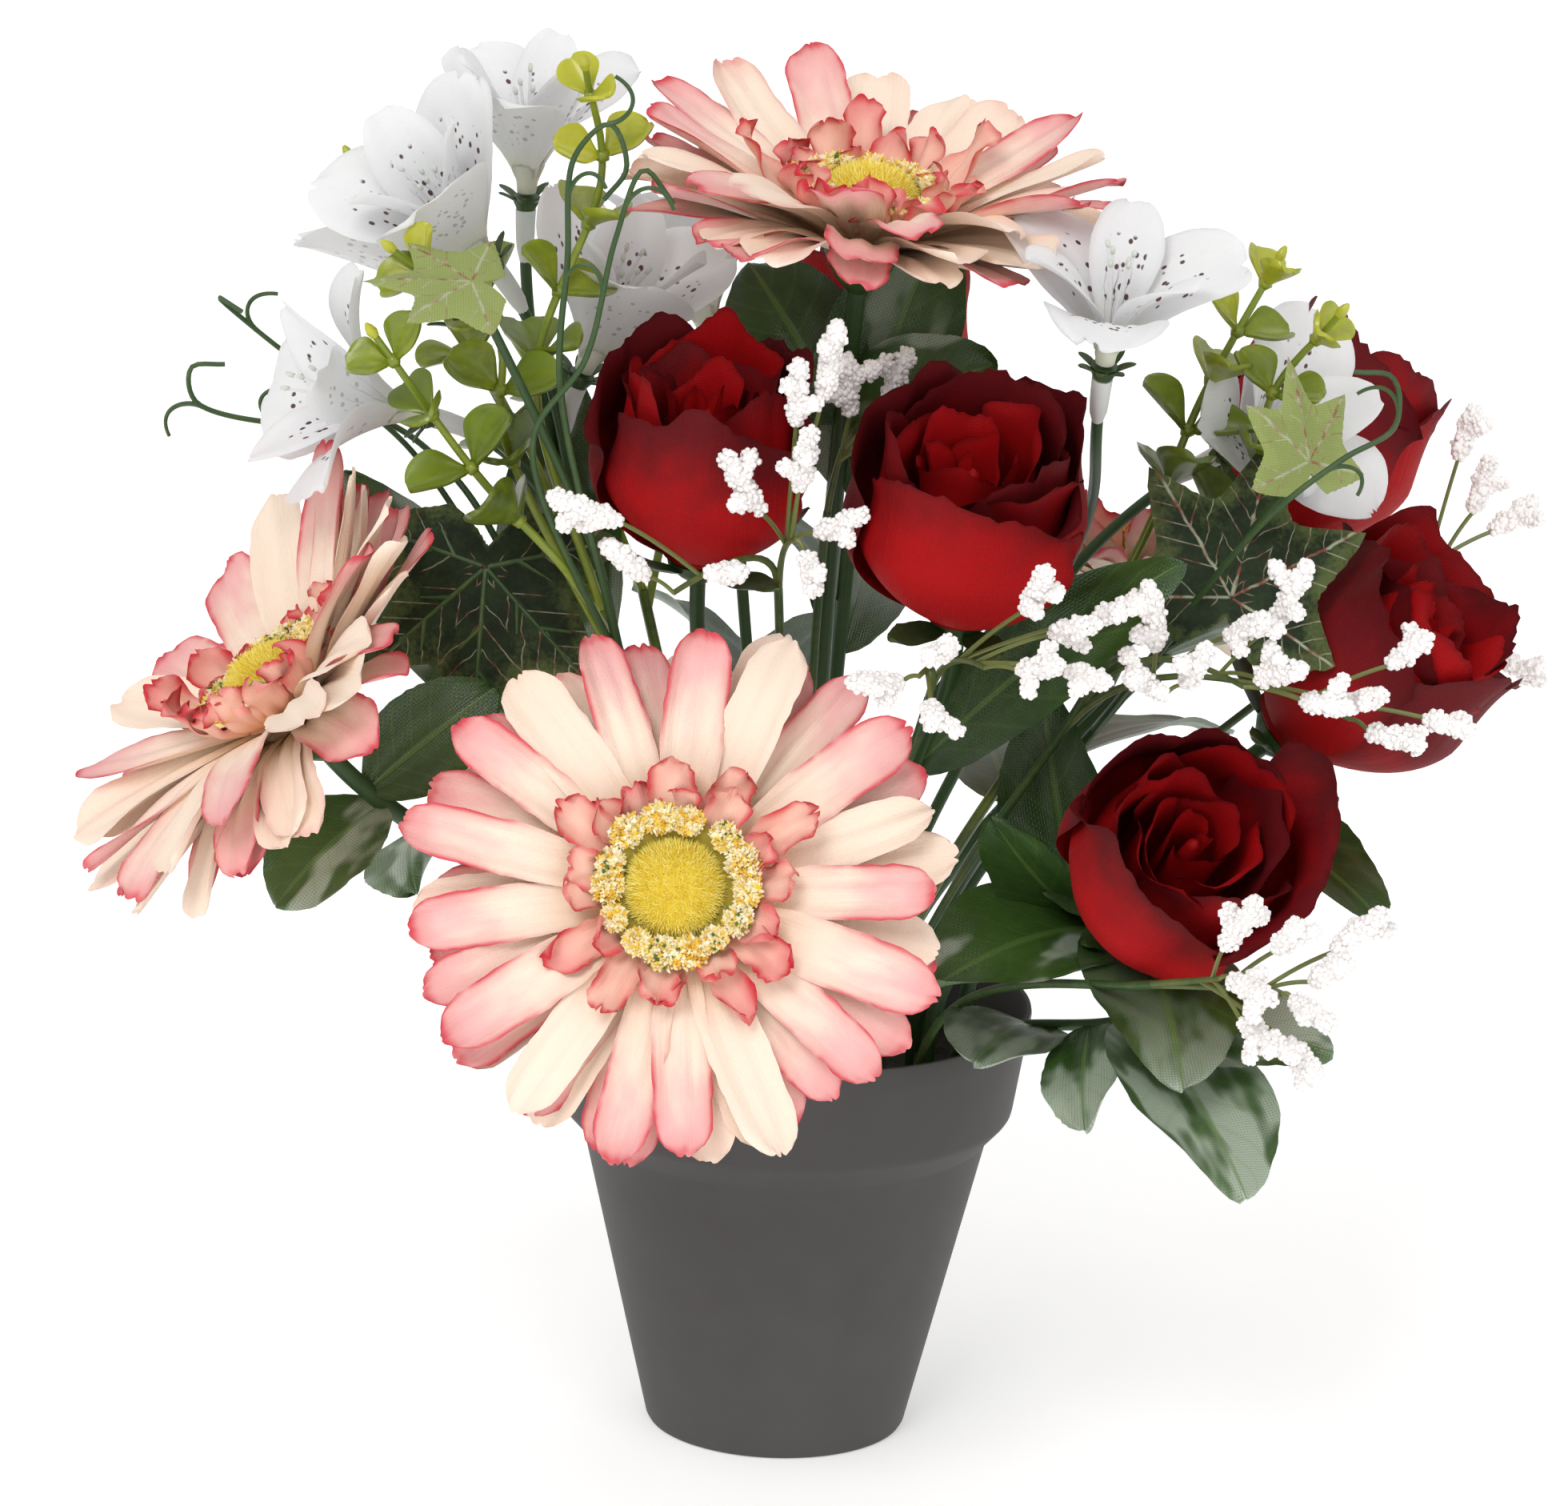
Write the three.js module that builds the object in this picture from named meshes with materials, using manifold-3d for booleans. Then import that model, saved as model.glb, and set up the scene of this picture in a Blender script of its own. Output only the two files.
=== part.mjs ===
// Artificial flower arrangement in a plastic pot: gerberas, roses, alstroemerias, box sprigs, ivy,
// gypsophila and cloth leaves, whose stems stand in holes in a set filler.
// Millimetres, +Z up. The origin is the centre of the pot's flat underside, and -Y is the front.

import * as THREE from "three";
import { mergeVertices } from "three/addons/utils/BufferGeometryUtils.js";
import Module from "manifold-3d";

const wasm = await Module();
wasm.setup();

// ---------------------------------------------------------------- driving dimensions

const GAP = 0.3;
const POT = {
  height: 109, rim: 60, band: 56, bandLow: 83, neck: 50.2, neckHigh: 76.5, foot: 32, wall: 1.7, floor: 3,
};
const POT_SEGMENTS = 28;
const FILL_TOP = 92;
const HOLE = { depth: 15, clearance: 1.3, sides: 4 };
const STEM = { gerbera: 2.2, rose: 1.9, trumpet: 1.5, box: 1.4, ivy: 1.2, veil: 1.1, leaf: 1.4 };
const BLADE = 1.1;
const SHOOT_RING = 1.3;

// Gerbera stack along the bloom's axis, from the hub's underside: heights and radii of hub, ruffle and eye.
const GERBERA = {
  hub: { radius: 9, height: 5.3 },
  petal: { outline: "strap", cup: 0.12, stations: [0.52, 0.9] },
  layers: [
    { level: 3.4, reach: 1.0, lift: 3, phase: 0 },
    { level: 1.2, reach: 0.97, lift: -5, phase: 0.5 },
  ],
  ruffle: { radius: 12, low: 5.6, high: 7.8, length: 20, width: 9.5, bend: 22, count: 11 },
  frill: { outline: "strap", cup: 0.2, stations: [0.7] },
  eye: { low: 8.1, ring: 17, ringTop: 16.5, valley: 13.4, button: 11.5, top: 19, sides: 10 },
  calyx: { radius: 9, depth: 11 },
};

const GERBERAS = [
  {
    name: "front", heart: [-27, -88, 160], axis: [-0.03, -0.9, 0.43], side: [1, 0, 0], radius: 68, petals: 13,
    width: 17, lift: 12, bend: 20, swing: 6, ruffleLift: 26, hole: [-10, -40], rise: 24, reach: 34,
  },
  {
    name: "left", heart: [-119, -50, 191], axis: [-0.62, -0.2, 0.76], side: [0.75, 0.1, 0.65], radius: 66,
    petals: 12, width: 17, lift: 8, bend: -16, swing: 40, ruffleLift: 40, hole: [-42, -4], rise: 40,
    reach: 38,
  },
  {
    name: "top", heart: [11, -22, 302], axis: [0.08, -0.26, 0.96], side: [0, 1, 0.2], radius: 66, petals: 13,
    width: 17, lift: 11, bend: 13, swing: 2, ruffleLift: 32, hole: [4, -4], rise: 80, reach: 70,
  },
  {
    name: "rear", heart: [84, 89, 190], axis: [0.2, 0.42, 0.88], side: [1, 0, 0], radius: 57, petals: 9,
    width: 18, lift: 10, bend: 14, swing: 8, ruffleLift: 30, hole: [24, 32], rise: 40, reach: 34,
  },
];

// Rose petals in layers: count, widest radius, height, angle that a petal spans, curl of its top edge.
const ROSE = {
  layers: [
    { count: 3, radius: 25.5, height: 50, span: 128, curl: 5, taper: -1.5, turn: 0 },
    { count: 3, radius: 19, height: 54, span: 122, curl: 1.5, taper: -4, turn: 55 },
  ],
  wind: 1.7,
  bud: { heel: 10, waist: 5, radius: 12.5, height: 47, sides: 6 },
  seat: 7.5,
  calyx: { radius: 8, depth: 8 },
};

const ROSES = [
  {
    name: "centre_left", heart: [-25, -36, 230], axis: [0.03, -0.33, 0.94], turn: 20, size: 1.01,
    hole: [-10, -16],
  },
  {
    name: "centre", heart: [37, -48, 222], axis: [0.03, -0.47, 0.88], turn: 140, size: 1.09,
    hole: [12, -20],
  },
  {
    name: "right_low", heart: [84, -52, 151], axis: [0.22, -0.76, 0.61], turn: -14, size: 1.06,
    hole: [34, -20], loose: 6,
  },
  {
    name: "right", heart: [118, -8, 184], axis: [0.66, -0.3, 0.68], turn: 200, size: 1.1,
    hole: [42, -4],
  },
  {
    name: "right_rear", heart: [110, 44, 216], axis: [0.5, 0.3, 0.81], turn: 10, size: 1.02,
    hole: [32, 16],
  },
  {
    name: "rear", heart: [12, 64, 230], axis: [0.05, 0.45, 0.89], turn: 90, size: 1.0,
    hole: [6, 30],
  },
];

// Alstroemeria trumpets: three broad petals, three narrow ones and stamens on a short tube.
const TRUMPET = {
  tube: { low: 2.3, high: 4.2, length: 9 },
  broad: { count: 3, root: 2.2, length: 42, width: 28, lift: 72, bend: 46, stations: [0.5, 0.88] },
  narrow: { count: 3, root: 1.2, length: 40, width: 16, lift: 80, bend: 34, stations: [0.66] },
  stamens: { length: 36, radius: 1.1 },
  calyx: { radius: 5, depth: 4 },
};

const TRUMPETS = [
  {
    name: "left_upper", spray: "left", calyx: [-70, 10, 306], axis: [0.02, -0.1, 0.99],
    turn: 10, size: 0.88, flare: 1.1,
  },
  {
    name: "left_front", spray: "left", calyx: [-78, -12, 294], axis: [-0.55, -0.4, 0.74],
    turn: 50, size: 1.0, flare: 0.8,
  },
  {
    name: "left_outer", spray: "left", calyx: [-93, -18, 258], axis: [-0.8, -0.42, 0.35],
    turn: 20, size: 1.0, flare: 1,
  },
  {
    name: "left_behind", spray: "left", calyx: [-88, 36, 270], axis: [-0.5, 0.2, 0.84],
    turn: 80, size: 0.95, flare: 1,
  },
  {
    name: "left_inner", spray: "left", calyx: [-55, 4, 264], axis: [0.35, -0.2, 0.9],
    turn: 35, size: 1.0, flare: 0.9,
  },
  {
    name: "right_upper", spray: "right", calyx: [68, -58, 284], axis: [0.08, -0.34, 0.94],
    turn: 20, size: 0.92, flare: 1.7,
  },
  {
    name: "right_outer", spray: "right", calyx: [112, 22, 263], axis: [0.7, -0.5, 0.5],
    turn: 90, size: 1.0, flare: 1,
  },
  {
    name: "rear", spray: "rear", calyx: [-26, 58, 262], axis: [-0.2, 0.3, 0.93],
    turn: 25, size: 1.0, flare: 1.1,
  },
];

const TRUMPET_STEMS = [
  { name: "left", hole: [-20, -6], knot: [-52, 4, 214], knotAxis: [-0.35, 0.05, 0.93] },
  { name: "right", hole: [18, -4], knot: [62, 4, 216], knotAxis: [0.4, 0.05, 0.9] },
  { name: "rear", hole: [-6, 18], knot: [-16, 40, 210], knotAxis: [-0.1, 0.25, 0.96] },
];

// Box sprigs: a knot on a stem from the filler, and shoots from it, each with pairs of spoon leaves.
const BOX_LEAF = {
  length: 18, width: 17, lean: 32, bend: 24, open: 0.6, outline: "spoon", cup: 0.16, stations: [0.36, 0.78],
};
const BOX_SPRAYS = [
  {
    name: "left", hole: [-22, -24], knot: [-48, -32, 214], knotAxis: [-0.25, -0.1, 0.96],
    shoots: [
      { path: [[-65, -31, 270], [-51, -25, 317], [-55, -37, 345]], pairs: 4, turn: 45 },
      { path: [[-57, -57, 231], [-76, -55, 250], [-101, -66, 286]], pairs: 3, turn: 25 },
      { path: [[-72, -40, 258], [-74, -45, 283], [-98, -50, 303]], pairs: 3, turn: 9 },
      { path: [[-67, -2, 245], [-92, 6, 281], [-112, 8, 313]], pairs: 3, turn: 70 },
    ],
  },
  {
    name: "right", hole: [22, -18], knot: [66, -34, 206], knotAxis: [0.4, -0.1, 0.9],
    shoots: [
      { path: [[82, -22, 237], [93, -14, 266], [110, -10, 300]], pairs: 3, turn: 25 },
      { path: [[105, -19, 246], [110, -19, 270], [124, -24, 290]], pairs: 3, turn: 80 },
    ],
  },
  {
    name: "rear", hole: [-22, 22], knot: [-40, 44, 200], knotAxis: [-0.25, 0.25, 0.93],
    shoots: [
      { path: [[-56, 58, 232], [-72, 66, 254], [-90, 72, 280]], pairs: 2, turn: 30 },
      { path: [[-34, 70, 226], [-36, 88, 244], [-42, 104, 264]], pairs: 2, turn: 0 },
    ],
  },
];

// Ivy: a stem with twigs to lobed leaves, and curly tendrils.
const IVY_LOBES = [[0, 1], [20, 0.64], [46, 0.86], [72, 0.55], [106, 0.7], [146, 0.4]];
const IVY_SPRAYS = [
  {
    name: "upper_left", hole: [-24, -34], knot: [-47, -52, 226], knotAxis: [-0.2, -0.15, 0.97],
    leaves: [{ centre: [-79, -68, 300], tip: [-110, -70, 300], facing: [0.1, -0.42, 0.9], size: 25 }],
    tendrils: [
      [[-58, -66, 276], [-57, -68, 306], [-56, -67, 330], [-48, -68, 338], [-44, -68, 328], [-49, -66, 320]],
      [[-64, -66, 262], [-52, -72, 284], [-46, -72, 312], [-40, -70, 328], [-33, -68, 320]],
    ],
  },
  {
    name: "left", hole: [-36, -16], knot: [-60, -24, 206], knotAxis: [-0.3, -0.05, 0.95],
    leaves: [{ centre: [-76, -26, 222], tip: [-76, -22, 178], facing: [-0.1, -0.93, 0.35], size: 46 }],
    tendrils: [
      [[-84, -6, 238], [-105, 6, 250], [-121, 5, 248], [-148, 0, 254], [-149, -2, 263], [-141, -2, 264]],
      [[-96, 0, 244], [-117, 8, 258], [-130, 5, 268], [-143, 0, 280], [-137, -2, 277]],
    ],
  },
  {
    name: "right", hole: [30, -8], knot: [84, -22, 204], knotAxis: [0.5, -0.2, 0.85],
    leaves: [
      { centre: [101, -46, 226], tip: [112, -52, 266], facing: [0.1, -0.93, 0.35], size: 42 },
      { centre: [118, -52, 262], tip: [116, -46, 288], facing: [0.2, -0.93, 0.3], size: 24 },
    ],
    tendrils: [[[108, -62, 250], [124, -62, 264], [136, -60, 272], [135, -58, 283], [126, -58, 284]]],
  },
];
const IVY_THICK = 1.6;

// Gypsophila: a knot on a thin stem, and forks from it. Each cluster's values: its fork, middle and length.
const CLUSTER = { radius: 3.3, waist: 2.3 };
const VEILS = [
  {
    name: "centre", hole: [-2, -28], knot: [-6, -52, 226], knotAxis: [-0.05, -0.5, 0.85],
    forks: [[-30, -84, 232], [-2, -86, 246]],
    clusters: [
      [0, -49, -94, 253, 15], [0, -40, -90, 240, 12], [0, -17, -95, 240, 12],
      [1, 4, -82, 286, 15], [1, -14, -83, 257, 15], [1, -3, -85, 279, 13], [1, -1, -87, 264, 14],
      [1, 7, -87, 250, 12], [1, 1, -90, 240, 9],
    ],
  },
  {
    name: "front", hole: [8, -37], knot: [30, -66, 204], knotAxis: [0.1, -0.6, 0.75],
    forks: [[42, -104, 222], [27, -106, 220]],
    clusters: [
      [0, 52, -113, 242, 15], [0, 60, -114, 234, 13], [0, 71, -110, 238, 12], [0, 53, -118, 226, 14],
      [0, 64, -116, 224, 12], [1, 32, -113, 228, 8], [1, 18, -113, 220, 13], [1, 30, -115, 214, 9],
    ],
  },
  {
    name: "right", hole: [22, -34], knot: [68, -52, 204], knotAxis: [0.35, -0.35, 0.86],
    forks: [[84, -92, 214], [102, -90, 216], [128, -78, 206]],
    clusters: [
      [0, 80, -96, 232, 16], [0, 78, -99, 219, 13], [0, 90, -99, 222, 12],
      [1, 111, -90, 237, 15], [1, 101, -95, 231, 14], [1, 109, -97, 221, 13], [1, 120, -95, 214, 10],
      [2, 140, -77, 222, 10], [2, 130, -87, 213, 9], [2, 137, -86, 204, 12], [2, 150, -79, 206, 10],
    ],
  },
  {
    name: "low", hole: [31, -36], knot: [84, -98, 146], knotAxis: [0.5, -0.7, 0.3],
    forks: [[98, -124, 156], [112, -128, 154]],
    clusters: [
      [0, 101, -130, 170, 14], [0, 104, -134, 157, 14], [0, 108, -135, 146, 14], [0, 116, -133, 141, 11],
      [1, 112, -131, 168, 10], [1, 128, -126, 168, 13], [1, 122, -130, 160, 10], [1, 118, -133, 152, 11],
    ],
  },
  {
    name: "right_rear", hole: [42, 10], knot: [128, 24, 196], knotAxis: [0.7, 0.1, 0.7],
    forks: [[158, 42, 216]],
    clusters: [
      [0, 163, 54, 244, 12], [0, 167, 49, 232, 12], [0, 174, 41, 227, 12], [0, 177, 30, 192, 11],
    ],
  },
  {
    name: "middle", hole: [2, -14], knot: [5, -32, 240], knotAxis: [0.1, -0.2, 0.97],
    forks: [[8, -34, 256]],
    clusters: [[0, 9, -38, 271, 13], [0, 18, -42, 262, 11], [0, 20, -33, 273, 11]],
  },
];

// Cloth leaves: each starts on its stem at a share of the stem's length and ends at its tip.
// Values: share, tip, width, direction that its upper face looks to, arch in degrees.
const LEAVES = {
  gerbera_front: [
    [0.55, [-66, -36, 122], 24, [-0.2, -0.3, 0.9], 40],
  ],
  gerbera_left: [
    [0.86, [-122, -62, 146], 24, [-0.5, -0.7, 0.4], 36],
    [0.9, [-72, -40, 196], 22, [-0.1, -0.9, 0.4], 30],
    [0.78, [-92, -12, 136], 22, [-0.6, 0.5, 0.4], 36],
  ],
  gerbera_top: [
    [0.84, [-16, 4, 292], 28, [-0.1, -0.75, 0.65], 44],
    [0.82, [44, -26, 276], 26, [0.1, -0.8, 0.6], 56],
  ],
  gerbera_rear: [
    [0.7, [112, 112, 150], 24, [0.4, 0.5, 0.6], 40],
    [0.6, [48, 104, 148], 24, [-0.2, 0.7, 0.6], 40],
  ],
  rose_centre_left: [
    [0.72, [-16, -66, 196], 20, [0.2, -0.6, 0.75], 40],
  ],
  rose_centre: [
    [0.7, [88, -70, 240], 24, [-0.2, -0.8, 0.5], 30],
    [0.62, [0, -66, 184], 18, [0, -0.6, 0.75], 36],
  ],
  rose_right_low: [
    [0.93, [92, -104, 122], 34, [0.2, -0.75, 0.6], 44],
    [0.9, [34, -84, 140], 34, [-0.2, -0.6, 0.75], 40],
    [0.86, [46, -70, 178], 22, [-0.5, -0.7, 0.4], 30],
    [0.78, [58, -40, 200], 26, [-0.4, -0.8, 0.3], 26],
  ],
  rose_right: [
    [0.8, [140, -60, 152], 26, [0.4, -0.6, 0.6], 36],
    [0.7, [126, 28, 138], 26, [0.5, 0.5, 0.7], 36],
  ],
  rose_right_rear: [
    [0.8, [150, 38, 196], 24, [0.5, 0.4, 0.7], 36],
    [0.62, [66, 66, 206], 22, [-0.2, 0.7, 0.6], 30],
  ],
  rose_rear: [
    [0.8, [-22, 96, 214], 26, [-0.2, 0.7, 0.6], 36],
    [0.72, [16, 108, 200], 24, [0.2, 0.7, 0.6], 36],
  ],
};

const LEAF_SPRAYS = [
  {
    name: "right", hole: [39, -26], knot: [84, -64, 128], knotAxis: [0.6, -0.6, 0.5],
    leaves: [
      [0.95, [107, -113, 99], 34, [0.4, -0.8, 0.4], 34],
      [0.8, [70, -92, 108], 18, [-0.3, -0.9, 0.3], 20],
      [0.6, [44, -72, 116], 26, [-0.2, -0.6, 0.75], 36],
      [0.9, [128, -84, 126], 24, [0.6, -0.6, 0.5], 30],
    ],
  },
  {
    name: "left", hole: [-34, 10], knot: [-70, 18, 176], knotAxis: [-0.5, 0.2, 0.85],
    leaves: [
      [0.98, [-112, 2, 238], 26, [-0.3, -0.8, 0.5], 30],
      [0.9, [-118, 48, 190], 26, [-0.5, 0.5, 0.7], 40],
      [0.7, [-84, 60, 138], 26, [-0.4, 0.6, 0.6], 40],
    ],
  },
  {
    name: "rear", hole: [-8, 38], knot: [-12, 72, 170], knotAxis: [-0.1, 0.5, 0.85],
    leaves: [
      [0.95, [-44, 104, 186], 26, [-0.3, 0.6, 0.7], 40],
      [0.9, [12, 112, 178], 26, [0.2, 0.7, 0.7], 40],
      [0.6, [-30, 100, 128], 26, [-0.3, 0.8, 0.5], 40],
    ],
  },
];

// ---------------------------------------------------------------- finishes

const finish = (color, roughness) => new THREE.MeshStandardMaterial({ color, roughness, metalness: 0 });
const FINISH = {
  pot: finish("#4e4c4b", 0.6),
  filler: finish("#2b2926", 0.95),
  petal: finish("#f2d6c4", 0.85),
  ruffle: finish("#e8897f", 0.85),
  eye: finish("#d9cf55", 0.95),
  rose: finish("#a5121c", 0.7),
  trumpet: finish("#f1f1f3", 0.7),
  stem: finish("#2f5a2a", 0.5),
  leaf: finish("#2a4d22", 0.6),
  box: finish("#9aa52a", 0.35),
  ivy: finish("#5f7a45", 0.7),
  veil: finish("#e9e8dc", 0.6),
};

// ---------------------------------------------------------------- solids

const vector = (values) => new THREE.Vector3(...values);
const hash = (n) => {
  const wave = Math.sin(n * 12.9898) * 43758.5453;
  return wave - Math.floor(wave);
};
const radians = THREE.MathUtils.degToRad;

/** A solid from points and triangles, turned so that its faces point out. */
function solidOf(points, faces) {
  const vertProperties = new Float32Array(points.flatMap((p) => [p.x, p.y, p.z]));
  const make = (triangles) => {
    const triVerts = new Uint32Array(triangles.flat());
    return new wasm.Manifold(new wasm.Mesh({ numProp: 3, vertProperties, triVerts }));
  };
  const made = make(faces);
  return made.volume() > 0 ? made : make(faces.map(([a, b, c]) => [a, c, b]));
}

/** A solid from a closed three.js geometry. */
function solidOfGeometry(geometry) {
  const bare = new THREE.BufferGeometry();
  bare.setAttribute("position", geometry.getAttribute("position"));
  if (geometry.index) bare.setIndex(geometry.index);
  const merged = mergeVertices(bare, 1e-3);
  const place = merged.getAttribute("position");
  const pointAt = (_, i) => new THREE.Vector3().fromBufferAttribute(place, i);
  const points = Array.from({ length: place.count }, pointAt);
  const list = Array.from(merged.index.array);
  const faces = [];
  for (let i = 0; i < list.length; i += 3) faces.push(list.slice(i, i + 3));
  return solidOf(points, faces.filter(([a, b, c]) => a !== b && b !== c && a !== c));
}

/** Joins solids into one and keeps its largest body, without scraps. */
function join(solids) {
  const whole = wasm.Manifold.union(solids);
  const bodies = whole.decompose();
  return bodies.reduce((most, body) => (body.volume() > most.volume() ? body : most));
}

/** The named mesh of a solid. */
function meshOf(name, solid, material) {
  const { numProp, vertProperties, triVerts } = solid.getMesh();
  const place = new Float32Array((vertProperties.length / numProp) * 3);
  for (let i = 0; i < place.length / 3; i += 1) {
    place.set(vertProperties.subarray(i * numProp, i * numProp + 3), i * 3);
  }
  const geometry = new THREE.BufferGeometry();
  geometry.setAttribute("position", new THREE.BufferAttribute(place, 3));
  geometry.setIndex(new THREE.BufferAttribute(new Uint32Array(triVerts), 1));
  geometry.computeVertexNormals();
  const mesh = new THREE.Mesh(geometry, material);
  mesh.name = name;
  return mesh;
}

/** A closed skin over rings of equal length, drawn to a point at each end. */
function loft(start, rings, end) {
  const count = rings[0].length;
  const points = [start, ...rings.flat(), end];
  const at = (ring, k) => 1 + ring * count + (k % count);
  const faces = [];
  for (let k = 0; k < count; k += 1) {
    faces.push([0, at(0, k + 1), at(0, k)]);
    faces.push([points.length - 1, at(rings.length - 1, k), at(rings.length - 1, k + 1)]);
    for (let ring = 0; ring + 1 < rings.length; ring += 1) {
      faces.push([at(ring, k), at(ring, k + 1), at(ring + 1, k + 1)]);
      faces.push([at(ring, k), at(ring + 1, k + 1), at(ring + 1, k)]);
    }
  }
  return solidOf(points, faces);
}

/** The placing of a bloom: z along its axis, x towards its side direction, from its heart. */
function seat(heart, axis, side) {
  const z = vector(axis).normalize();
  const x = vector(side).addScaledVector(z, -vector(side).dot(z)).normalize();
  return new THREE.Matrix4().makeBasis(x, z.clone().cross(x), z).setPosition(vector(heart));
}

/** Points of a ring of a lathe-like form in a bloom's own placing; radius may vary with the angle. */
function ring(placing, count, height, radius, lift = () => 0) {
  return Array.from({ length: count }, (_, k) => {
    const turn = (k / count) * 2 * Math.PI;
    const reach = typeof radius === "function" ? radius(k) : radius;
    return vector([reach * Math.cos(turn), reach * Math.sin(turn), height + lift(k)]).applyMatrix4(placing);
  });
}

// Half-width of a blade along its length, from 0 at the root to 1 at the tip, as a share of the greatest.
const OUTLINES = {
  strap: (t) => (0.34 + 0.66 * Math.sin((Math.PI / 2) * Math.min(t / 0.68, 1))) * roundTip(t, 0.72),
  ovate: (t) => Math.sin(Math.PI * t ** 0.74) ** 0.82,
  spoon: (t) => (0.16 + 0.84 * Math.sin((Math.PI / 2) * Math.min(t / 0.6, 1)) ** 2) * roundTip(t, 0.55),
  claw: (t) => (0.2 + 0.8 * Math.sin((Math.PI / 2) * Math.min(t / 0.7, 1)) ** 1.6) * roundTip(t, 0.66),
};
function roundTip(t, from) {
  return Math.sqrt(Math.max(0, 1 - (Math.max(0, t - from) / (1 - from)) ** 2));
}

/**
 * A petal or leaf: a blade with a diamond section, thick at the midrib, from its root to its tip.
 * Its midrib is a circular arc of the given angle, and its edges rise towards its face by the cup.
 */
function blade(spec) {
  return loftAlike(spec.root, bladeRings(spec), spec.tip);
}

/** The sections of a blade: left edge, face, right edge and back at each station along it. */
function bladeRings(spec) {
  const { root, tip, facing, width, arch, cup = 0.1, outline = "ovate", stations = [0.34, 0.74] } = spec;
  const chord = tip.clone().sub(root);
  const placing = seat([0, 0, 0], chord.toArray(), facing.toArray());
  const along = new THREE.Vector3();
  const face = new THREE.Vector3();
  const across = new THREE.Vector3();
  placing.extractBasis(face, across, along);
  const angle = radians(Math.abs(arch) < 0.5 ? 0.5 : arch);
  const length = (chord.length() * (angle / 2)) / Math.sin(angle / 2);
  return stations.map((t) => {
    const slope = angle / 2 - angle * t;
    const x = (length * (Math.sin(angle / 2) - Math.sin(slope))) / angle;
    const z = (length * (Math.cos(slope) - Math.cos(angle / 2))) / angle;
    const rib = root.clone().addScaledVector(along, x).addScaledVector(face, z);
    const normal = face.clone().multiplyScalar(Math.cos(slope)).addScaledVector(along, -Math.sin(slope));
    const half = (width / 2) * OUTLINES[outline](t);
    const raised = rib.clone().addScaledVector(normal, cup * half);
    const edge = (sign) => raised.clone().addScaledVector(across, sign * half);
    const skin = (sign) => rib.clone().addScaledVector(normal, (sign * BLADE) / 2);
    return [edge(1), skin(1), edge(-1), skin(-1)];
  });
}

/** A skin over four-point rings whose upper and lower faces are split along the same lines. */
function loftAlike(start, rings, end) {
  const points = [start, ...rings.flat(), end];
  const at = (station, k) => 1 + station * 4 + (k % 4);
  const last = rings.length - 1;
  const faces = [];
  for (let k = 0; k < 4; k += 1) {
    faces.push([0, at(0, k + 1), at(0, k)], [points.length - 1, at(last, k), at(last, k + 1)]);
    for (let i = 0; i < last; i += 1) {
      if (k % 2 === 0) {
        faces.push([at(i, k), at(i, k + 1), at(i + 1, k + 1)], [at(i, k), at(i + 1, k + 1), at(i + 1, k)]);
      } else {
        faces.push([at(i, k), at(i, k + 1), at(i + 1, k)], [at(i, k + 1), at(i + 1, k + 1), at(i + 1, k)]);
      }
    }
  }
  return solidOf(points, faces);
}

/** A round bar along a curve, as a prism with few sides. */
function bar(curve, radius, sides, steps) {
  const outline = Array.from({ length: sides }, (_, k) => {
    const turn = (k / sides) * 2 * Math.PI;
    return new THREE.Vector2(radius * Math.cos(turn), radius * Math.sin(turn));
  });
  const shape = new THREE.Shape(outline);
  const geometry = new THREE.ExtrudeGeometry(shape, { steps, bevelEnabled: false, extrudePath: curve });
  return solidOfGeometry(geometry);
}

/** A curve that leaves one point along a direction and arrives at another along a direction. */
function reachCurve(from, leaving, leave, to, arriving, arrive) {
  return new THREE.CubicBezierCurve3(
    from,
    from.clone().addScaledVector(leaving, leave),
    to.clone().addScaledVector(arriving, -arrive),
    to,
  );
}

/** The path of a stem: straight up out of its hole, and then over to its bloom along the bloom's axis. */
function stemCurve({ hole, to, axis, rise, reach }) {
  const up = vector([0, 0, 1]);
  const foot = vector([hole[0], hole[1], FILL_TOP - HOLE.depth + 1]);
  const mouth = vector([hole[0], hole[1], FILL_TOP + 3]);
  const path = new THREE.CurvePath();
  path.add(new THREE.LineCurve3(foot, mouth));
  path.add(reachCurve(mouth, up, rise, to, axis.clone().normalize(), reach));
  return path;
}

/** Where the k-th side shoot leaves a stem: below its end, each a step below the last. */
function sideShoot(curve, k, step) {
  const share = 0.99 - step * k;
  return { from: curve.getPointAt(share), along: curve.getTangentAt(share) };
}

/** The leaves of a stem, rooted on its centre line. */
function leavesOn(curve, entries) {
  return entries.map(([share, tip, width, facing, arch]) =>
    blade({ root: curve.getPointAt(share), tip: vector(tip), facing: vector(facing), width, arch }),
  );
}

// ---------------------------------------------------------------- sprigs

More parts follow.
